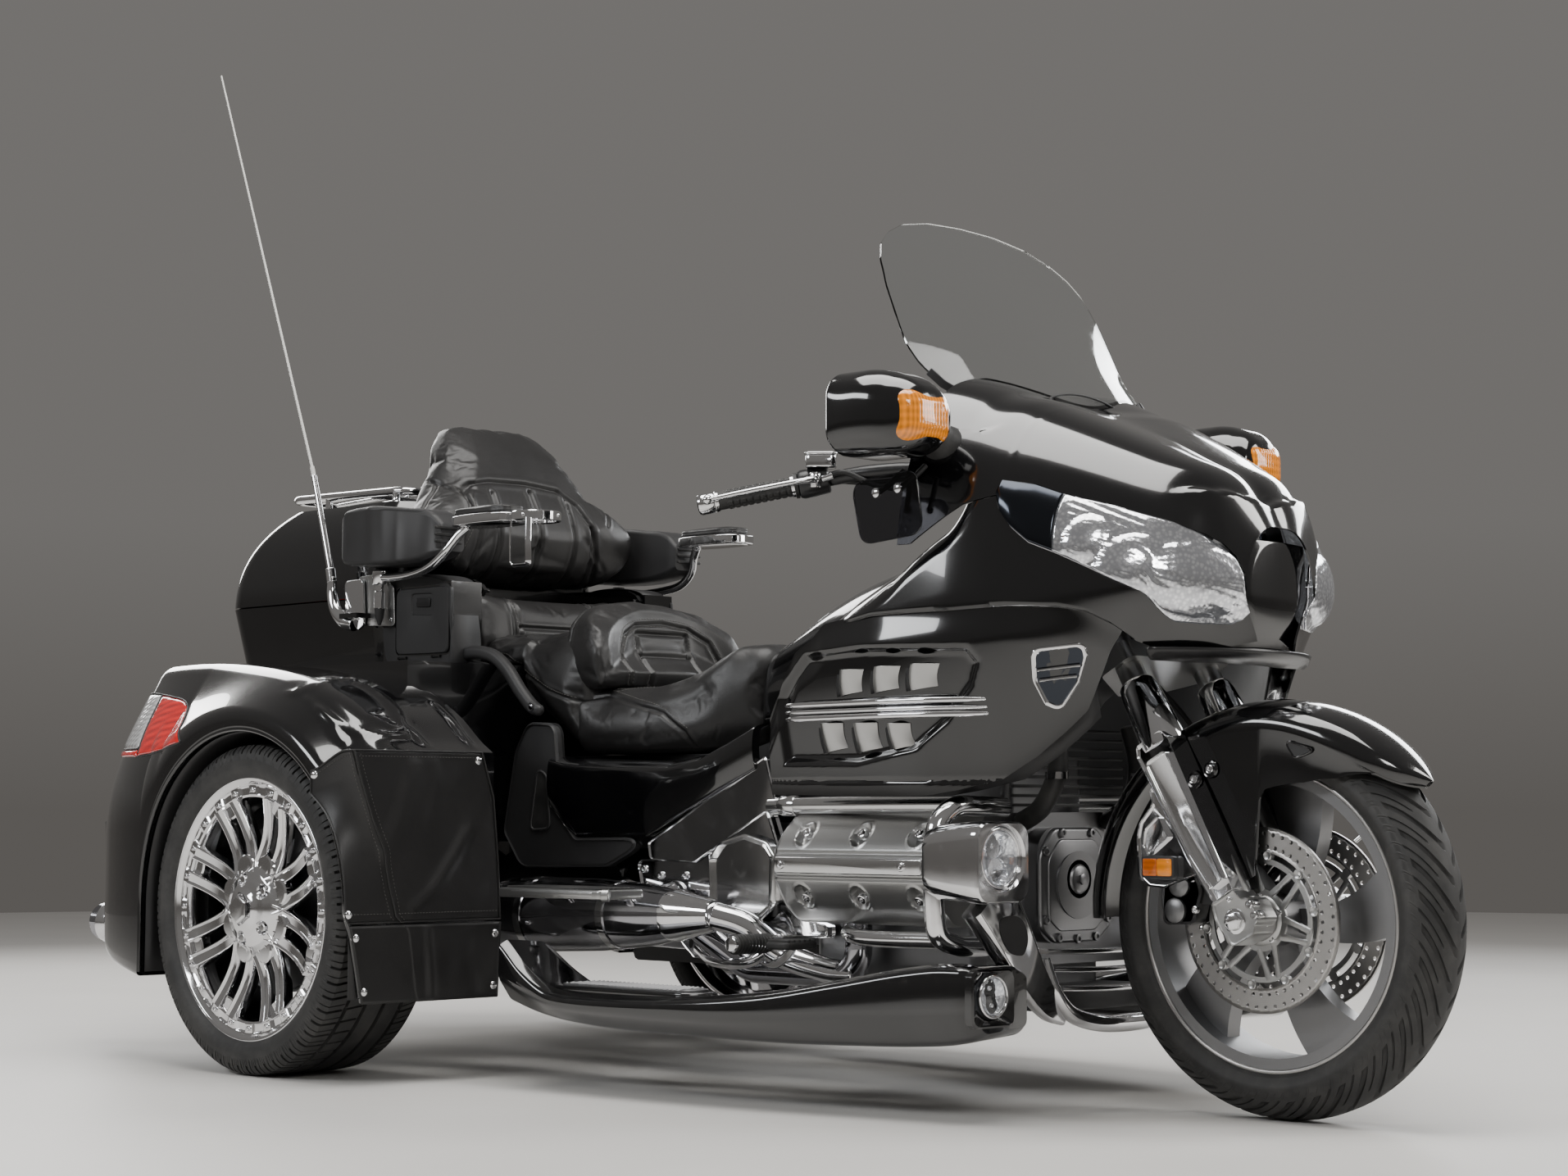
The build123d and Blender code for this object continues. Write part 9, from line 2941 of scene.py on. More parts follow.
@dataclass
class RearFenders:
    """Wide rear fenders over the wheels, with sculpted ridges, lined arches and tail lamps.

    One closed skin per side: each section runs from the inner wall over the shoulder and the waist down to
    the arch, and back under as the arch's ceiling.
    """

    inner: float = 470.0
    lip: float = 6.0
    ridge_width: float = 9.0

    def stations_along(self) -> tuple[Array, Array]:
        """Positions along the fender and the height of its lower edge at each."""
        foot = np.asarray(FENDER_FOOT, float)
        back = np.concatenate([np.linspace(-690, -660, 7), np.linspace(-652, -336, 40)])
        turn = np.linspace(-math.pi / 2, math.pi / 2, 73)
        arch = ARCH_RADIUS * np.sin(turn)
        ceiling = ARCH_HEIGHT + ARCH_RADIUS * np.cos(turn)
        x = np.concatenate([back, [-334.4], arch, [334.4, 337, 341, 344, 346]])
        low = np.concatenate([np.interp(back, foot[:, 0], foot[:, 1]), [172], ceiling, [150] * 5])
        return x, low

    def sections(self) -> Array:
        """Grid of the right fender's skin: stations by points by 3."""
        x, low = self.stations_along()
        top_line, rows = np.asarray(FENDER_TOP, float), np.asarray(FENDER_ROWS, float)
        top = blend_curve(top_line[:, 0], top_line[:, 1], x).ravel()
        top = np.maximum(top, low + 4)
        size = blend_curve(rows[:, 0], rows[:, 1:], x)
        outer, shoulder, waist = size.T
        waist = np.clip(waist, low + (top - low) * 0.3, low + (top - low) * 0.8)
        inner = np.where(x > 150, 454.0, self.inner)
        tall = top - low
        corners = np.stack([np.stack([inner, low], 1), np.stack([inner, top], 1),
                            np.stack([shoulder, top], 1), np.stack([outer, waist], 1),
                            np.stack([outer, low], 1)], 1)
        radii = np.stack([0 * x + 2, 0 * x + 3, np.clip(tall * 0.3, 6, 26), np.clip(tall * 0.6, 8, 120),
                          0 * x + 9], 1)
        rings = rounded_rings(corners, radii, 8, (4, 30, 30, 18, 4))
        station_x = np.repeat(x[:, None], rings.shape[1], 1)
        y = np.minimum(rings[..., 0], fender_reach(station_x, rings[..., 1]))
        return np.stack([station_x, -y, rings[..., 1]], -1)

    def side_at(self, x: Array, z: Array) -> Array:
        """Distance from the middle of the skin's outer side at positions and heights."""
        grid = self.sections()
        start, stop = 17 + 8 + 14, grid.shape[1] - 13
        stations_x = grid[:, 0, 0]
        index = np.clip(np.searchsorted(stations_x, x.ravel()), 1, len(stations_x) - 1)
        share = (x.ravel() - stations_x[index - 1]) / (stations_x[index] - stations_x[index - 1] + 1e-9)
        found = []
        for k, s, height in zip(index, np.clip(share, 0, 1), z.ravel()):
            pair = []
            for row in (grid[k - 1], grid[k]):
                half = row[start:stop][::-1]
                pair.append(np.interp(height, half[:, 2], -half[:, 1]))
            found.append(pair[0] + (pair[1] - pair[0]) * s)
        return np.array(found).reshape(x.shape)

    def build(self, bench: Bench) -> None:
        """Make the skins, lips, liners and lamps."""
        grid = self.sections()
        skin = net(grid, wrap_v=True, cap_u=True)
        ridges = [smooth_path(line, 24) for line in FENDER_RIDGES]
        along_grid = np.gradient(grid, axis=0)
        round_grid = np.roll(grid, -1, 1) - np.roll(grid, 1, 1)
        normal = np.cross(round_grid, along_grid)
        normal /= np.linalg.norm(normal, axis=2)[..., None] + 1e-9
        lift = near_lines(grid.reshape(-1, 3), ridges, FENDER_RIDGE_HEIGHTS, self.ridge_width)
        upper = step_between(600, 625, grid[..., 2]).ravel()
        moved = grid.reshape(-1, 3) + normal.reshape(-1, 3) * (lift * upper)[:, None]
        moved[:, 2] = np.minimum(moved[:, 2], 790)
        skin.points[:] = moved
        bench.piece("fender_skins", skin.both(), GLOSS, replaces=["fenders"], sharp=42)
        self.lips(bench)
        self.liners(bench)
        self.lamps(bench)

    def lips(self, bench: Bench) -> None:
        """Rolled lip round each arch."""
        turn = np.linspace(-math.pi / 2, math.pi / 2, 60)
        x = np.concatenate([[-336, -336, -336], 336 * np.sin(turn), [336, 336, 336]])
        z = np.concatenate([[180, 220, 265], ARCH_HEIGHT + 336 * np.cos(turn), [265, 220, 160]])
        y = -self.side_at(x, z + 4)
        path = np.stack([x, y + 5, z], 1)
        lip = carried(ring_section(self.lip * 2, self.lip * 1.6, 4, 16), path)
        bench.piece("fender_lips", lip.both(), GLOSS)

    def liners(self, bench: Bench) -> None:
        """Rough dark liner under each arch, and the wall behind the wheel with its hole for the axle."""
        turn = np.linspace(-math.pi / 2, math.pi / 2, 60)
        radius = ARCH_RADIUS - 3
        x = np.concatenate([[-radius, -radius], radius * np.sin(turn), [radius, radius]])
        z = np.concatenate([[180, 240], ARCH_HEIGHT + radius * np.cos(turn), [240, 156]])
        outer = -self.side_at(x, z + 8) + 16
        share = np.linspace(0, 1, 14)
        y = outer[:, None] + (-500 - outer[:, None]) * share
        ripple = 1.1 * np.sin(share * 40)
        grid = np.stack([x[:, None] * (1 - ripple / 400), y, np.broadcast_to(z[:, None], y.shape)], -1)
        angle = np.linspace(0, 2 * math.pi, 97)[:-1]
        rim = np.stack([radius * np.cos(angle), np.maximum(ARCH_HEIGHT + radius * np.sin(angle), 158)], 1)
        hole = np.stack([54 * np.cos(angle), ARCH_HEIGHT + 54 * np.sin(angle)], 1)
        rings = [(hole, -486), (hole, -502), (hole + (rim - hole) * 0.5, -502), (rim, -502), (rim, -486)]
        wall = np.stack([at_level(ring, level, seen_from_side) for ring, level in rings], 1)
        bench.piece("arch_liners", net(grid).both(), MATTE, wall=1.5)
        bench.piece("arch_walls", net(wall, wrap_u=True, wrap_v=True).both(), MATTE)

    def lens(self, low: Sequence[tuple[float, float]], high: Sequence[tuple[float, float]], columns: int,
             rows: int) -> Array:
        """Grid over the skin between two side-view lines, domed by 3.5 within 6 % of its edges."""
        low_line, high_line = smooth_path(low, columns), smooth_path(high, columns)
        v = np.linspace(0, 1, rows)[:, None]
        u = np.linspace(0, 1, columns)[None]
        uv = low_line[None] + (high_line - low_line)[None] * v[..., None]
        frame = np.minimum(np.minimum(u, 1 - u), np.minimum(v, 1 - v) * 0.8)
        bulge = 3.5 * step_between(0.0, 0.06, frame) + 0.6
        return np.stack([uv[..., 0], -(self.side_at(uv[..., 0], uv[..., 1]) + bulge),
                         uv[..., 1] + bulge * 0.3], -1)

    def lamps(self, bench: Bench) -> None:
        """Tail lamps that wrap from the side on to the back: red lenses, clear strips and their seals."""
        front = self.lens([(-400, 598), (-330, 603), (-250, 612), (-186, 622)],
                          [(-424, 723), (-370, 717), (-292, 702), (-200, 636)], 40, 20)
        clear = self.lens([(-590, 618), (-500, 614), (-404, 613)], [(-560, 722), (-500, 728), (-428, 724)],
                          26, 18)
        foot = self.lens([(-640, 603), (-520, 599), (-402, 598)], [(-640, 615), (-520, 612), (-406, 611)], 26,
                         5)
        back = self.lens([(-672, 606), (-630, 618), (-594, 618)], [(-666, 616), (-612, 676), (-564, 721)], 16,
                         18)
        red = net(front) + net(foot) + net(back)
        bench.piece("tail_lamp_lenses", red.both(), RED, replaces=["tail_lamps"], wall=5, sharp=50)
        bench.piece("tail_lamp_strips", net(clear).both(), FROSTED, wall=5, sharp=50)
        seals = EMPTY
        for face in (front, clear, back):
            edge = np.vstack([face[0], face[1:, -1], face[-1, ::-1], face[::-1, 0][1:]])
            seals += carried(circle(1.9, 10), edge[::2], caps=False)
        bench.piece("tail_lamp_seals", seals.both(), MATTE)


@dataclass
class LeatherCovers:
    """Two-part leather covers over each fender's front: welted upper part, plain lower part, bright studs."""

    stand_off: float = 3.0
    leather: float = 2.4
    stud: float = 8.0

    def contour(self, z: Array, edge: Array, inside: Array, columns: int) -> Array:
        """Path round the front corner at each height: side, corner, front; heights by columns by 3.

        The side run follows the fender's own plan from the edge to the corner, the corner is a short arc, and
        the front run is flat at the fender's front face.
        """
        side_count = columns // 3
        share = np.linspace(0, 1, side_count)
        x = edge[:, None] + (FENDER_FRONT - edge[:, None]) * share
        heights = np.repeat(z[:, None], side_count, 1)
        y = fender_reach(x, heights) + self.stand_off
        corner = fender_reach(np.full(len(z), FENDER_FRONT), z)
        turn = np.linspace(0, 1, 5)[1:-1]
        corner_x = 350 + 1.3 * np.sin(turn * math.pi / 2)
        corner_y = corner[:, None] + self.stand_off - 4 - 3 * turn
        flat = np.linspace(0, 1, columns - side_count - 3)
        front_y = corner[:, None] - 6 + (inside[:, None] - corner[:, None] + 6) * flat
        all_x = np.hstack([x + 4, np.repeat(corner_x[None], len(z), 0), np.full((len(z), len(flat)), 351.4)])
        all_y = np.hstack([y, corner_y, front_y])
        return np.stack([all_x, -all_y, np.repeat(z[:, None], all_x.shape[1], 1)], -1)

    def relief(self, grid: Array, folds: Sequence[tuple[Sequence[tuple[float, float]], float,
                                                        float]]) -> Array:
        """Softly creased grid: broad waves and folds, drawn to nothing at the edges."""
        m, n = grid.shape[:2]
        y, z = grid[..., 1], grid[..., 2]
        u, v = np.linspace(0, 1, n)[None], np.linspace(0, 1, m)[:, None]
        fade = step_between(0, 0.08, np.minimum(u, 1 - u)) * step_between(0, 0.08, np.minimum(v, 1 - v))
        wave = 1.4 * np.sin(y / 31 + z / 57) * np.sin(z / 43 - y / 90) + 0.8 * np.sin(y / 14 - z / 24 + 1)
        for line, width, height in folds:
            wave = wave - groove_along(np.stack([0 * y, y, z], -1).reshape(-1, 3), line, (1, 2), width,
                                       height).reshape(y.shape)
        made = grid.copy()
        made[..., 0] += np.clip(wave * fade, -1.2, 7) * (u > 0.3)
        return made

    def studs(self, spots: Sequence[tuple[Array, Sequence[float]]]) -> Shape:
        """Domed studs at points, each standing along its own direction."""
        profile = [(-2, self.stud), (1.2, self.stud), (2.4, self.stud * 0.93), (4.4, self.stud * 0.62),
                   (5.4, self.stud * 0.25), (5.5, 0)]
        return joined(lathe(profile, spot, out, 24) for spot, out in spots)

    def build(self, bench: Bench) -> None:
        """Make the upper and lower sheets, their hems, stitches and studs, on both sides."""
        top_z = 600.0
        z = np.linspace(292, top_z, 60)
        edge = arch_edge(z)
        inside = np.interp(z, [292, 400, 517, 600], [440, 446, 458, 486])
        upper = self.contour(z, edge, inside, 66)
        upper[..., 2] -= 36 * step_between(340, 235, upper[..., 0]) * (z[:, None] - 292) / (top_z - 292)
        folds = [([(-640, 318), (-596, 352), (-548, 412), (-520, 452)], 13, -4.5),
                 ([(-600, 590), (-590, 540), (-606, 480)], 16, -3.0),
                 ([(-700, 420), (-660, 500), (-650, 580)], 18, -2.5)]
        upper = self.relief(upper, folds)
        z_low = np.linspace(150, 286, 28)
        edge_low = arch_edge(z_low)
        lower = self.contour(z_low, edge_low, np.interp(z_low, [150, 286], [446, 440]), 60)
        lower = self.relief(lower, [([(-610, 286), (-604, 220), (-600, 150)], 9, -4.0),
                                    ([(-500, 160), (-520, 230), (-510, 280)], 15, -2.5)])
        spots = [(upper[-3, 2], (0.35, -0.93, 0.1)), (upper[3, 2], (0.6, -0.8, 0)),
                 (lower[-5, 2], (0.6, -0.8, 0)), (lower[4, 2], (0.6, -0.8, 0)), (lower[-5, -3], (1, 0, 0)),
                 (lower[4, -3], (1, 0, 0)), (upper[-4, -3], (1, 0, 0))]
        studs = self.studs(spots)
        bench.piece("cover_studs", studs.both(), CHROME)
        welt = upper[:, 23] + [0.9, -0.9, 0]
        hem_rows = [upper[0], upper[-1], upper[:, 0], upper[:, -1], lower[0], lower[-1], lower[:, 0],
                    lower[:, -1]]
        piping = carried(circle(2.0, 10), welt)
        threads = joined(stitched(line, (0.7, -0.7, 0), size=0.8)
                         for line in (upper[:, 20] + [0.4, -1.6, 0], upper[:, 26] + [1.4, 0, 0]))
        for row in hem_rows:
            piping += carried(circle(1.7, 8), row + [0.4, -0.3, 0])
        for row in (upper[3], upper[-3], lower[3], lower[-3]):
            threads += stitched(row[:22] + [0.3, -1.5, 0], (0.5, -0.85, 0), size=0.7)
            threads += stitched(row[24:] + [1.4, 0, 0], AHEAD, size=0.7)
        bench.piece("cover_piping", piping.both(), LEATHER)
        bench.piece("cover_stitches", threads.both(), THREAD)
        for word, side in SIDES:
            for name, grid in (("upper", upper), ("lower", lower)):
                flat = (self.length(grid[len(grid) // 2]), self.length(grid[:, grid.shape[1] // 2]))
                sheet = bench.piece(f"leather_{name}_{word}", net(grid).on_side(side), LEATHER,
                                    wall=self.leather, sharp=70,
                                    replaces=["fender_covers"] if name == "upper" and side < 0 else ())
                min(self.area(grid), flat[0] * flat[1])

    def area(self, grid: Array) -> float:
        """Area of a grid in square metres."""
        a, b = grid[1:, :-1] - grid[:-1, :-1], grid[:-1, 1:] - grid[:-1, :-1]
        return float(np.linalg.norm(np.cross(a, b), axis=2).sum() / 1e6)

    def length(self, line: Array) -> float:
        """Length of a path in metres."""
        return float(np.linalg.norm(np.diff(line, axis=0), axis=1).sum() / 1000)


@dataclass
class RearBody:
    """Hatch and back of the tub: handle, lock, frame round a blank plate, lamps and reflectors."""

    back: float = -732.0

    def on_back(self, uv: Array, level: Array) -> Array:
        """Points (y, z) on the back, with the level outwards from it."""
        return np.stack([self.back - level, uv[:, 0], uv[:, 1]], 1)

    def frame_of(self, half: float, low: float, high: float, wide: float, radius: float,
                 rise: float) -> Shape:
        """Flat frame with rounded corners round a window in the back."""
        outer = rounded_outline([(-half, low), (half, low), (half, high), (-half, high)], radius, 6)
        inner = rounded_outline([(-half + wide, low + wide), (half - wide, low + wide),
                                 (half - wide, high - wide), (-half + wide, high - wide)],
                                max(radius - wide, 1), 6)
        rings = [(outer, -1.5), (outer, rise * 0.6), (outer * 0.25 + inner * 0.75, rise), (inner, rise * 0.5),
                 (inner, -1.5)]
        return net(np.stack([at_level(ring, level, self.on_back) for ring, level in rings], 1), wrap_u=True,
                   wrap_v=True)

    def build(self, bench: Bench) -> None:
        """Make the pieces of the hatch and of the tub's back."""
        bench.piece("plate_frame", self.frame_of(122, 408, 572, 10, 12, 4.0), CHROME, "rear_hatch", bevel=0.6)
        grip = slab(rounded_outline([(-95, 640), (95, 640), (88, 664), (-88, 664)], 10), 0, 8, 3,
                    self.on_back)
        bench.piece("hatch_handle", grip, CHROME, "rear_hatch")
        shade = slab(rounded_outline([(-60, 580), (60, 580), (52, 600), (-52, 600)], 6), 0, 9, 3,
                     self.on_back)
        bench.piece("plate_lamp_hood", shade, SATIN, "rear_hatch")
        glass = slab(rounded_outline([(-44, 577), (44, 577), (44, 581), (-44, 581)], 1.5), 1, 7, 1,
                     self.on_back)
        bench.piece("plate_lamp_glass", glass, FROSTED, "rear_hatch")
        lock = lathe([(-1, 13), (3, 13), (5, 11), (5, 5), (3.6, 4.4), (3.6, 0)], (self.back, 0, 616), BACK,
                     40)
        bench.piece("hatch_lock", lock, CHROME, "rear_hatch")
        crease = joined(tube([(self.back - 0.4, y, height) for y in (-316, -100, 100, 316)], 1.6, 40, 10)
                        for height in (384.0, 708.0))
        bench.piece("hatch_creases", crease, GLOSS, "rear_hatch")
        spots = rims = EMPTY
        for side in (-1, 1):
            centre = (-721.0, side * 418, 560)
            spots += lathe([(-1, 29), (3.5, 29), (5.5, 26), (6.4, 14), (6.6, 0)], centre, BACK, 48)
            rims += lathe([(-2, 30), (4.5, 30), (6, 32), (4.5, 35), (-2, 35)], centre, BACK, 48, closed=True)
        bench.piece("rear_reflectors", spots, RED)
        bench.piece("rear_reflector_rims", rims, CHROME)


# Trunk

@dataclass
class Trunk:
    """Trunk trims: side pockets with their doors, post plates, speaker pods, lamp bar, lock and rack."""

    pocket_face: float = 300.4

    def build(self, bench: Bench) -> None:
        """Make the trunk's pieces."""
        self.pockets(bench)
        self.pods(bench)
        self.plates(bench)
        self.back(bench)
        self.rack(bench)

    def pockets(self, bench: Bench) -> None:
        """Matte pocket shells round the door openings, and doors with a sunk latch."""
        outer = smooth_path([(-206, 952), (-208, 880), (-196, 800), (-168, 770), (-100, 762), (0, 764),
                             (26, 782), (28, 840), (16, 900), (4, 952)], 96, closed=True)
        window = rounded_outline([(-158, 806), (20, 802), (20, 944), (-158, 944)], 14, 8)
        window = smooth_path(window, 96, closed=True)
        start = int(np.argmin(np.linalg.norm(window - outer[0], axis=1)))
        window = np.roll(window, -start, 0)
        if (outer[1] - outer[0])[1] * (window[1] - window[0])[1] < 0:
            window = np.roll(window[::-1], 1, 0)
        middle = outer.mean(0)
        near = middle + (outer - middle) * 0.95
        face = self.pocket_face
        rings = [(window, face - 5), (window, face + 0.6), (window * 0.55 + near * 0.45, face + 0.8),
                 (near, face), (outer, face - 9), (outer, face - 70)]
        grid = np.stack([at_level(ring, -level, seen_from_side) for ring, level in rings], 1)
        bench.piece("pocket_shells", net(grid, wrap_u=True).both(), MATTE, wall=2.0, sharp=50)
        door = self.door()
        latch = slab(rounded_outline([(-88, 902), (-44, 900), (-42, 918), (-86, 920)], 4), -304.4, -301.4,
                     1.2)
        for word, side in SIDES:
            body = f"pocket_door_{word}"
            bench.piece(f"pocket_door_panel_{word}", door.on_side(side), MATTE, body,
                        replaces=[f"pocket_door_{word}"], sharp=18)
            bench.piece(f"pocket_latch_{word}", latch.on_side(side), SATIN, body)

    def door(self) -> Shape:
        """Right pocket door: a panel with rounded edges whose face sinks round the latch."""
        rim = smooth_path(rounded_outline([(-153, 808), (15, 806), (15, 940), (-153, 940)], 12, 8), 96,
                          closed=True)
        well = smooth_path(rounded_outline([(-104, 886), (-30, 882), (-34, 928), (-106, 930)], 9, 8), 96,
                           closed=True)
        well = np.roll(well, -int(np.argmin(np.linalg.norm(well - rim[0], axis=1))), 0)
        low = self.pocket_face - 0.4
        inner = rim.mean(0) + (rim - rim.mean(0)) * [0.978, 0.972]
        shrunk = well.mean(0) + (well - well.mean(0)) * 0.93
        near = well.mean(0) + (well - well.mean(0)) * 1.05
        rings = [(rim, low), (rim, low + 2.6), (inner, low + 4.6), (near, low + 4.6), (well, low + 4.3),
                 (shrunk, low + 1.4)]
        grid = np.stack([at_level(ring, -level, seen_from_side) for ring, level in rings])
        return net(grid[::-1], wrap_v=True, cap_u=True)

    def pods(self, bench: Bench) -> None:
        """Speaker pods with a slanting facet, a parting line and dark plates that stand for the shade in
        their slots.
        """
        rows = [(-268, -352, -290, 1012, 1056, 12), (-256, -366, -288, 998, 1084, 14),
                (-236, -374, -286, 992, 1104, 12), (-150, -376, -286, 986, 1107, 10),
                (-110, -371, -286, 985, 1104, 10), (-60, -364, -286, 986, 1098, 10),
                (20, -352, -286, 996, 1082, 12), (44, -345, -288, 1006, 1060, 10)]
        pod = stations(rows, 80, 72)
        p = pod.points
        line = groove_along(p, [(-270, 1036), (-108, 1034), (-88, 1014), (50, 1010)], (0, 2), 2.4, 2.6)
        lid = groove_along(p, [(-256, 1092), (-110, 1095), (40, 1080)], (0, 2), 2.0, 1.8)
        facet = groove_along(p, [(-152, 1106), (-100, 1064), (-84, 1034), (-70, 990)], (0, 2), 9.0, 3.4)
        outside = (p[:, 1] < -335) * 1.0
        p[:, 1] += (line + lid - facet) * outside
        bench.piece("speaker_pod_shells", pod.both(), MATTE, "trunk_lid", replaces=["speaker_pods"], sharp=60)
        # painted shade: dark plates stand for the shade inside the speaker slots
        slot_shade_plates = joined(slab(rounded_outline([(-372, height - 3), (-300, height - 3), (-300, height + 3),
                                             (-372, height + 3)], 2.5) * [0.92, 1] + [-18, 0], 40.0, 46.5,
                            0.8, seen_from_front) for height in (1024, 1038, 1052))
        bench.piece("speaker_slot_shades", slot_shade_plates.both(), GRIP, "trunk_lid")

    def plates(self, bench: Bench) -> None:
        """Rounded metal plates behind the armrest posts, and the curved plated foot of the antenna."""
        plate = slab(rounded_outline([(-274, 872), (-152, 866), (-156, 944), (-196, 976), (-276, 974)], 10),
                     -309.2, -306, 1.2)
        screws = joined(bolt((x, -309.2, z), RIGHT, 4.5, 1.6)
                        for x, z in ((-262, 962), (-262, 886), (-164, 880)))
        bench.piece("post_plates", plate.both(), SILVER, bevel=0.5)
        bench.piece("post_plate_screws", screws.both(), CHROME)
        horn = tube([(-338, -330, 976), (-337, -330, 940), (-322, -330, 906), (-290, -329, 882),
                     (-262, -326, 874)], np.interp(np.linspace(0, 1, 40), [0, 0.35, 0.8, 1], [9, 12, 17, 15]),
                    40, 28)
        flange = slab(rounded_outline([(-312, 966), (-306, 884), (-262, 862), (-244, 874), (-250, 968)], 10),
                      -318, -312, 1.5)
        joint, tip, foot = np.array([-407.0, -330, 1195]), np.array([-776.0, -330, 2118]), np.array([-338.0,
                                                                                                     -330,
                                                                                                     972])
        lower = tube([foot, joint], np.linspace(7.5, 6, 24), 24, 20)
        collar = tube([foot - [0, 0, 8], foot + (joint - foot) * 0.1], 10.5, 12, 24)
        bench.piece("antenna_foot", horn + flange + collar + lower, CHROME, bevel=0.6)
        whip = tube([joint, tip], np.linspace(3.0, 1.9, 24), 24, 12)
        ferrule = tube([joint - (joint - foot) * 0.1, joint + (tip - joint) * 0.02], [4.8] * 8, 8, 18)
        bench.piece("antenna_whip", whip + ferrule, PALE, replaces=["antenna"])

    def back(self, bench: Bench) -> None:
        """Lamp bar and lock on the trunk's back."""
        def behind(uv: Array, level: Array) -> Array:
            """Points (y, z) behind the trunk; the level runs outwards and follows its rounded plan."""
            return np.stack([-789 - level + (uv[:, 0] / 290) ** 2 * 16, uv[:, 0], uv[:, 1]], 1)

        outline = rounded_outline([(-205, 846), (205, 846), (196, 900), (-196, 900)], 14, 6)
        dense = smooth_path(outline, 120, closed=True)
        bench.piece("trunk_lamp_bar", slab(dense, -10, 3.5, 3, behind), RED)
        rim = at_level(dense, 0.6, behind)
        bench.piece("trunk_lamp_bezel", carried(circle(3.2, 12), np.vstack([rim, rim[:1]])), CHROME)
        lock = lathe([(-6, 15), (2, 15), (4, 12), (4, 6), (2.5, 5), (2.5, 0)], (-790, 0, 816), BACK, 40)
        bench.piece("trunk_lock", lock, CHROME)

    def rack(self, bench: Bench) -> None:
        """Feet and slats of the luggage rack."""
        feet = joined(lathe([(-3, 17), (3, 17), (6, 13), (14, 8.5), (20, 8.2)], (x, -150, z + 2), UP, 32)
                      for x, z in ((-360, 1136), (-600, 1124)))
        slats = joined(tube([(-732, y, 1178), (-600, y, 1182), (-480, y, 1183), (-340, y, 1180)], 4.5, 30, 14)
                       for y in (-90, -30, 30, 90))
        bench.piece("rack_feet", feet.both(), CHROME, "trunk_lid")
        bench.piece("rack_slats", slats, CHROME, "trunk_lid")


@dataclass
class Armrests:
    """Armrests: sleeves and pointed feet of their posts, bent arms, bands under the pads and a cup ring."""

    post: tuple[float, float] = (-180.0, -326.0)

    def band(self) -> Shape:
        """Plated band round the underside of the right pad."""
        path = smooth_path([(66, -306), (74, -338), (110, -350), (190, -350), (226, -338), (236, -306),
                            (226, -274), (190, -262), (110, -262), (74, -274)], 80, closed=True)
        middle = path.mean(0)
        steps = [(1.03, 1051), (1.055, 1053), (1.055, 1068), (1.03, 1070), (0.9, 1070), (0.9, 1051)]
        rings = [at_level(middle + (path - middle) * size, level, seen_from_above) for size, level in steps]
        return net(np.stack(rings, 1), wrap_u=True, wrap_v=True)

    def cup(self) -> Shape:
        """Cup ring in front of the right pad, with its hanging bracket and rivets."""
        centre = (286.0, -306.0)
        ring = lathe([(0, 41), (15, 41), (17, 43), (17, 47), (15, 49), (0, 49), (-2, 47), (-2, 43)],
                     (*centre, 1050), UP, 64, closed=True)
        strap = [(264, -348, 1052), (262, -350, 1004), (262, -349, 966), (268, -346, 961), (310, -346, 961),
                 (316, -349, 966), (316, -350, 1004), (312, -346, 1052)]
        made = ring + carried(ring_section(3.2, 12, 1.2, 12), rounded_open(strap, 6, 4))
        for degrees in (20, 110, 200, 290):
            a = math.radians(degrees)
            out = (math.cos(a), math.sin(a), 0.0)
            spot = (centre[0] + 48.5 * out[0], centre[1] + 48.5 * out[1], 1058)
            made += bolt(spot, out, 3.4, 2.4, 12)
        return made

    def build(self, bench: Bench) -> None:
        """Make both armrests' pieces."""
        x, y = self.post
        lower = lathe([(902, 10.8), (903, 11.7), (936, 11.7), (937, 10.6), (937.5, 10), (949.6, 10),
                       (949.6, 0)], (x, y, 0), UP, 40)
        cone = lathe([(868, 0), (869, 3), (884, 8.5), (900, 10.4), (902.5, 10.9)], (x, y, 0), UP, 40)
        bench.piece("post_sleeves", lower.both(), CHROME, "trunk_lid")
        bench.piece("post_feet", cone.both(), MATTE, "trunk_lid")
        elbow = lathe([(950, 0), (950, 14), (952, 15.5), (978, 15.5), (982, 12), (983, 0)], (x, y, 0), UP, 40)
        arm = tube([(x, y, 966), (-130, -328, 964), (-60, -334, 966), (6, -340, 978), (44, -335, 1004),
                    (66, -322, 1034), (86, -312, 1052)], 9.0, 70, 24)
        under = slab(smooth_path([(74, -306), (84, -334), (116, -344), (188, -344), (220, -334), (228, -306),
                                  (220, -278), (188, -268), (116, -268), (84, -278)], 60, closed=True), 1050,
                     1062, 3, seen_from_above)
        bracket = slab(rounded_outline([(216, -322), (250, -326), (250, -286), (216, -290)], 6), 1052, 1060,
                       2, seen_from_above)
        band = self.band()
        plain = elbow + arm + under
        arms = {"right": plain + self.cup() + bracket, "left": plain.mirrored()}
        for word, side in SIDES:
            body = f"armrest_{word}"
            bench.piece(f"armrest_band_{word}", band.on_side(side), CHROME, body, bevel=0.8)
            bench.piece(f"armrest_arm_{word}", arms[word], CHROME, body, replaces=[f"armrest_{word}"])


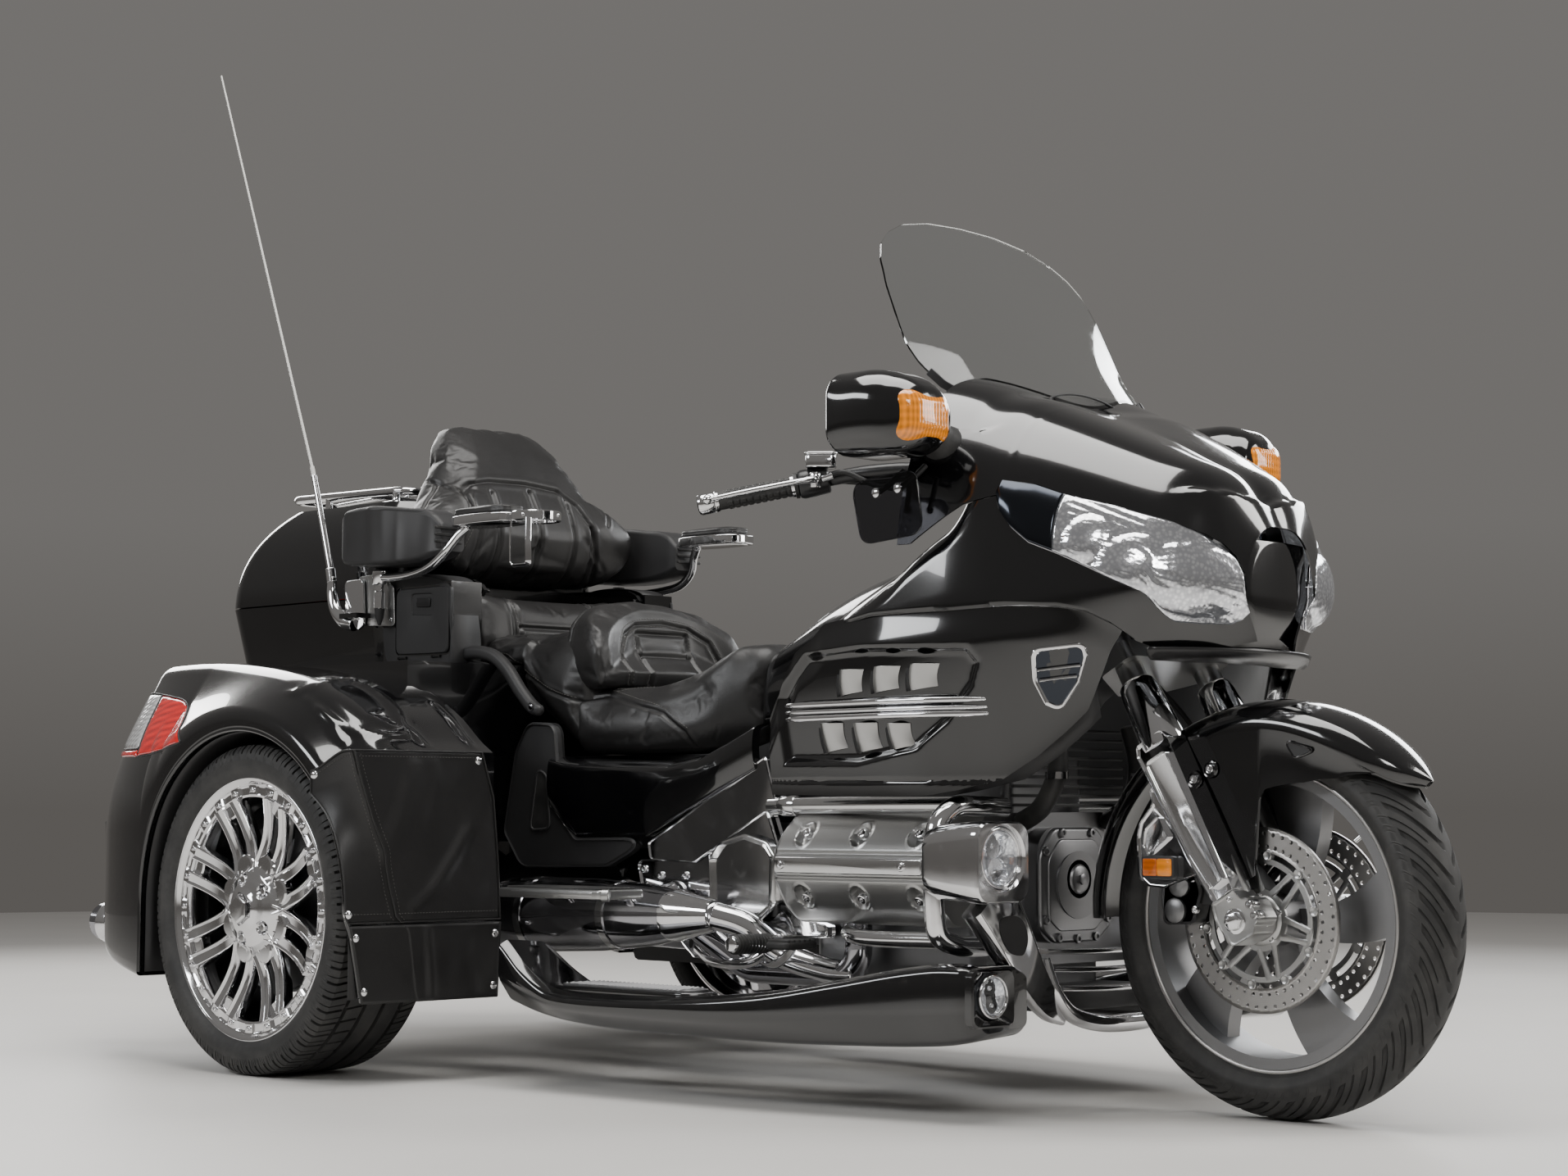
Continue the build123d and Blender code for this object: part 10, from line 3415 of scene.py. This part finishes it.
@dataclass
class GrabRails:
    """Thick moulded grab rails beside the seat, with bolted ends."""

    def build(self, bench: Bench) -> None:
        """Make the rails, their feet and the bolts."""
        path = smooth_path([(-4, -262, 796), (24, -264, 804), (66, -264, 806), (112, -263, 796),
                            (150, -262, 770), (196, -262, 722), (232, -262, 692), (256, -262, 684)], 60)
        t = np.linspace(0, 1, 60)
        size = np.interp(t, [0, 0.03, 0.09, 0.9, 0.97, 1], [0.45, 0.8, 1, 1, 0.85, 0.5])
        rail = carried(ring_section(26, 24, 10, 28), path, size, hint=UP)
        foot = slab(smooth_path([(-16, 800), (-10, 768), (8, 756), (46, 750), (72, 758), (78, 780),
                                 (40, 790)], 60, closed=True), -262, -238, 7, steps=5)
        bench.piece("rail_grips", (rail + foot).both(), MATTE, replaces=["grab_rails"], sharp=60)
        bolts = cups = EMPTY
        for x, z, level in ((20, 774, -262.5), (236, 693, -273.5)):
            bolts += hex_bolt((x, level + 0.5, z), RIGHT, 4.2, 2.4)
            cups += lathe([(-2, 8.5), (0.6, 8.5), (0.9, 7.8), (0.2, 6.5), (0.2, 0)], (x, level, z), RIGHT, 28)
        bench.piece("rail_bolts", bolts.both(), DARK_CHROME)
        bench.piece("rail_bolt_cups", cups.both(), GRIP)


# Dashboard

@dataclass
class Dashboard:
    """Instruments in the hood's rear face: four dials with ticks and needles, a display and switches."""

    face: float = 1414.0
    dials: tuple[tuple[float, float, float], ...] = ((-62, 1104, 31), (62, 1104, 31), (-134, 1102, 24),
                                                     (134, 1102, 24))

    def on_face(self, uv: Array, level: Array) -> Array:
        """Points (y, z) on the hood's rear face, with the level towards the rider."""
        return np.stack([self.face - level, uv[:, 0], uv[:, 1]], 1)

    def marks(self, y: float, z: float, radius: float) -> Shape:
        """Ticks round a dial: small bars pointing to its middle, over three quarters of a turn."""
        made = EMPTY
        for degrees in np.linspace(-45, 225, 19):
            a = math.radians(float(degrees))
            out, across = np.array([math.cos(a), math.sin(a)]), np.array([-math.sin(a), math.cos(a)])
            centre = np.array([y, z]) + out * radius * 0.82
            corners = [centre + out * radius * 0.08 * u + across * 0.6 * v for u, v in
                       ((-1, -1), (1, -1), (1, 1), (-1, 1))]
            made += slab(np.array(corners), 2.6, 3.4, 0.1, self.on_face, 1)
        return made

    def build(self, bench: Bench) -> None:
        """Make the instrument pieces."""
        panel = slab(rounded_outline([(-204, 1070), (204, 1070), (206, 1138), (-206, 1138)], 18, 6), -2, 2.5,
                     2, self.on_face)
        bench.piece("dash_panel", panel, SATIN)
        bezels = faces = marks = needles = EMPTY
        for number, (y, z, radius) in enumerate(self.dials):
            centre = (self.face, y, z)
            bezels += lathe([(2, radius), (6, radius), (7.4, radius + 1.4), (7.4, radius + 3),
                             (5, radius + 4.4), (2, radius + 4.4)], centre, BACK, 56, closed=True)
            faces += lathe([(2.2, radius + 0.6), (2.9, radius), (2.9, 0)], centre, BACK, 48)
            marks += self.marks(y, z, radius)
            a = math.radians(200 - 40 * number)
            tip = np.array([self.face - 5.2, y + radius * 0.72 * math.cos(a),
                            z + radius * 0.72 * math.sin(a)])
            needles += tube([(self.face - 5.2, y, z), tip], np.linspace(1.3, 0.5, 8), 8, 8)
            needles += lathe([(2.9, 4), (6, 4), (6.6, 2.8), (6.6, 0)], centre, BACK, 24)
        bench.piece("dial_bezels", bezels, CHROME)
        bench.piece("dial_faces", faces, GRIP)
        bench.piece("dial_marks", marks, PALE)
        bench.piece("dial_needles", needles, AMBER_DARK)
        display = slab(rounded_outline([(-20, 1082), (20, 1082), (20, 1128), (-20, 1128)], 4), 1, 4.4, 1.4,
                       self.on_face)
        bench.piece("dash_display", display, LAMP_DARK)
        switches = EMPTY
        for y in (172, 190):
            for z in (1086, 1104, 1122):
                switches += slab(rounded_outline([(y - 7, z - 6), (y + 7, z - 6), (y + 7, z + 6),
                                                  (y - 7, z + 6)], 2.5), 1, 6, 1.4, self.on_face)
        bench.piece("dash_switches", switches.both(), MATTE)


def main() -> None:
    """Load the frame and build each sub-assembly in order."""
    logging.basicConfig(level=logging.INFO, format="%(name)s %(message)s")
    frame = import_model()
    bench = Bench(frame)
    bench.dress_nodes()
    Studio().build()
    for assembly in ASSEMBLIES:
        assembly().build(bench)
    log.info("about %d triangles added", bench.triangles)


ASSEMBLIES: tuple[type, ...] = (Fairing, Screen, Mirrors, FrontWheel, RearWheels, FrontFender, ForkTrim,
                                Controls, CylinderHeads, Engine, Guards, SideBody, RunningBoards, Exhausts,
                                TopShelter, Upholstery, RearFenders, LeatherCovers, RearBody, Trunk, Armrests,
                                GrabRails, Dashboard)


if __name__ == "__main__":
    main()
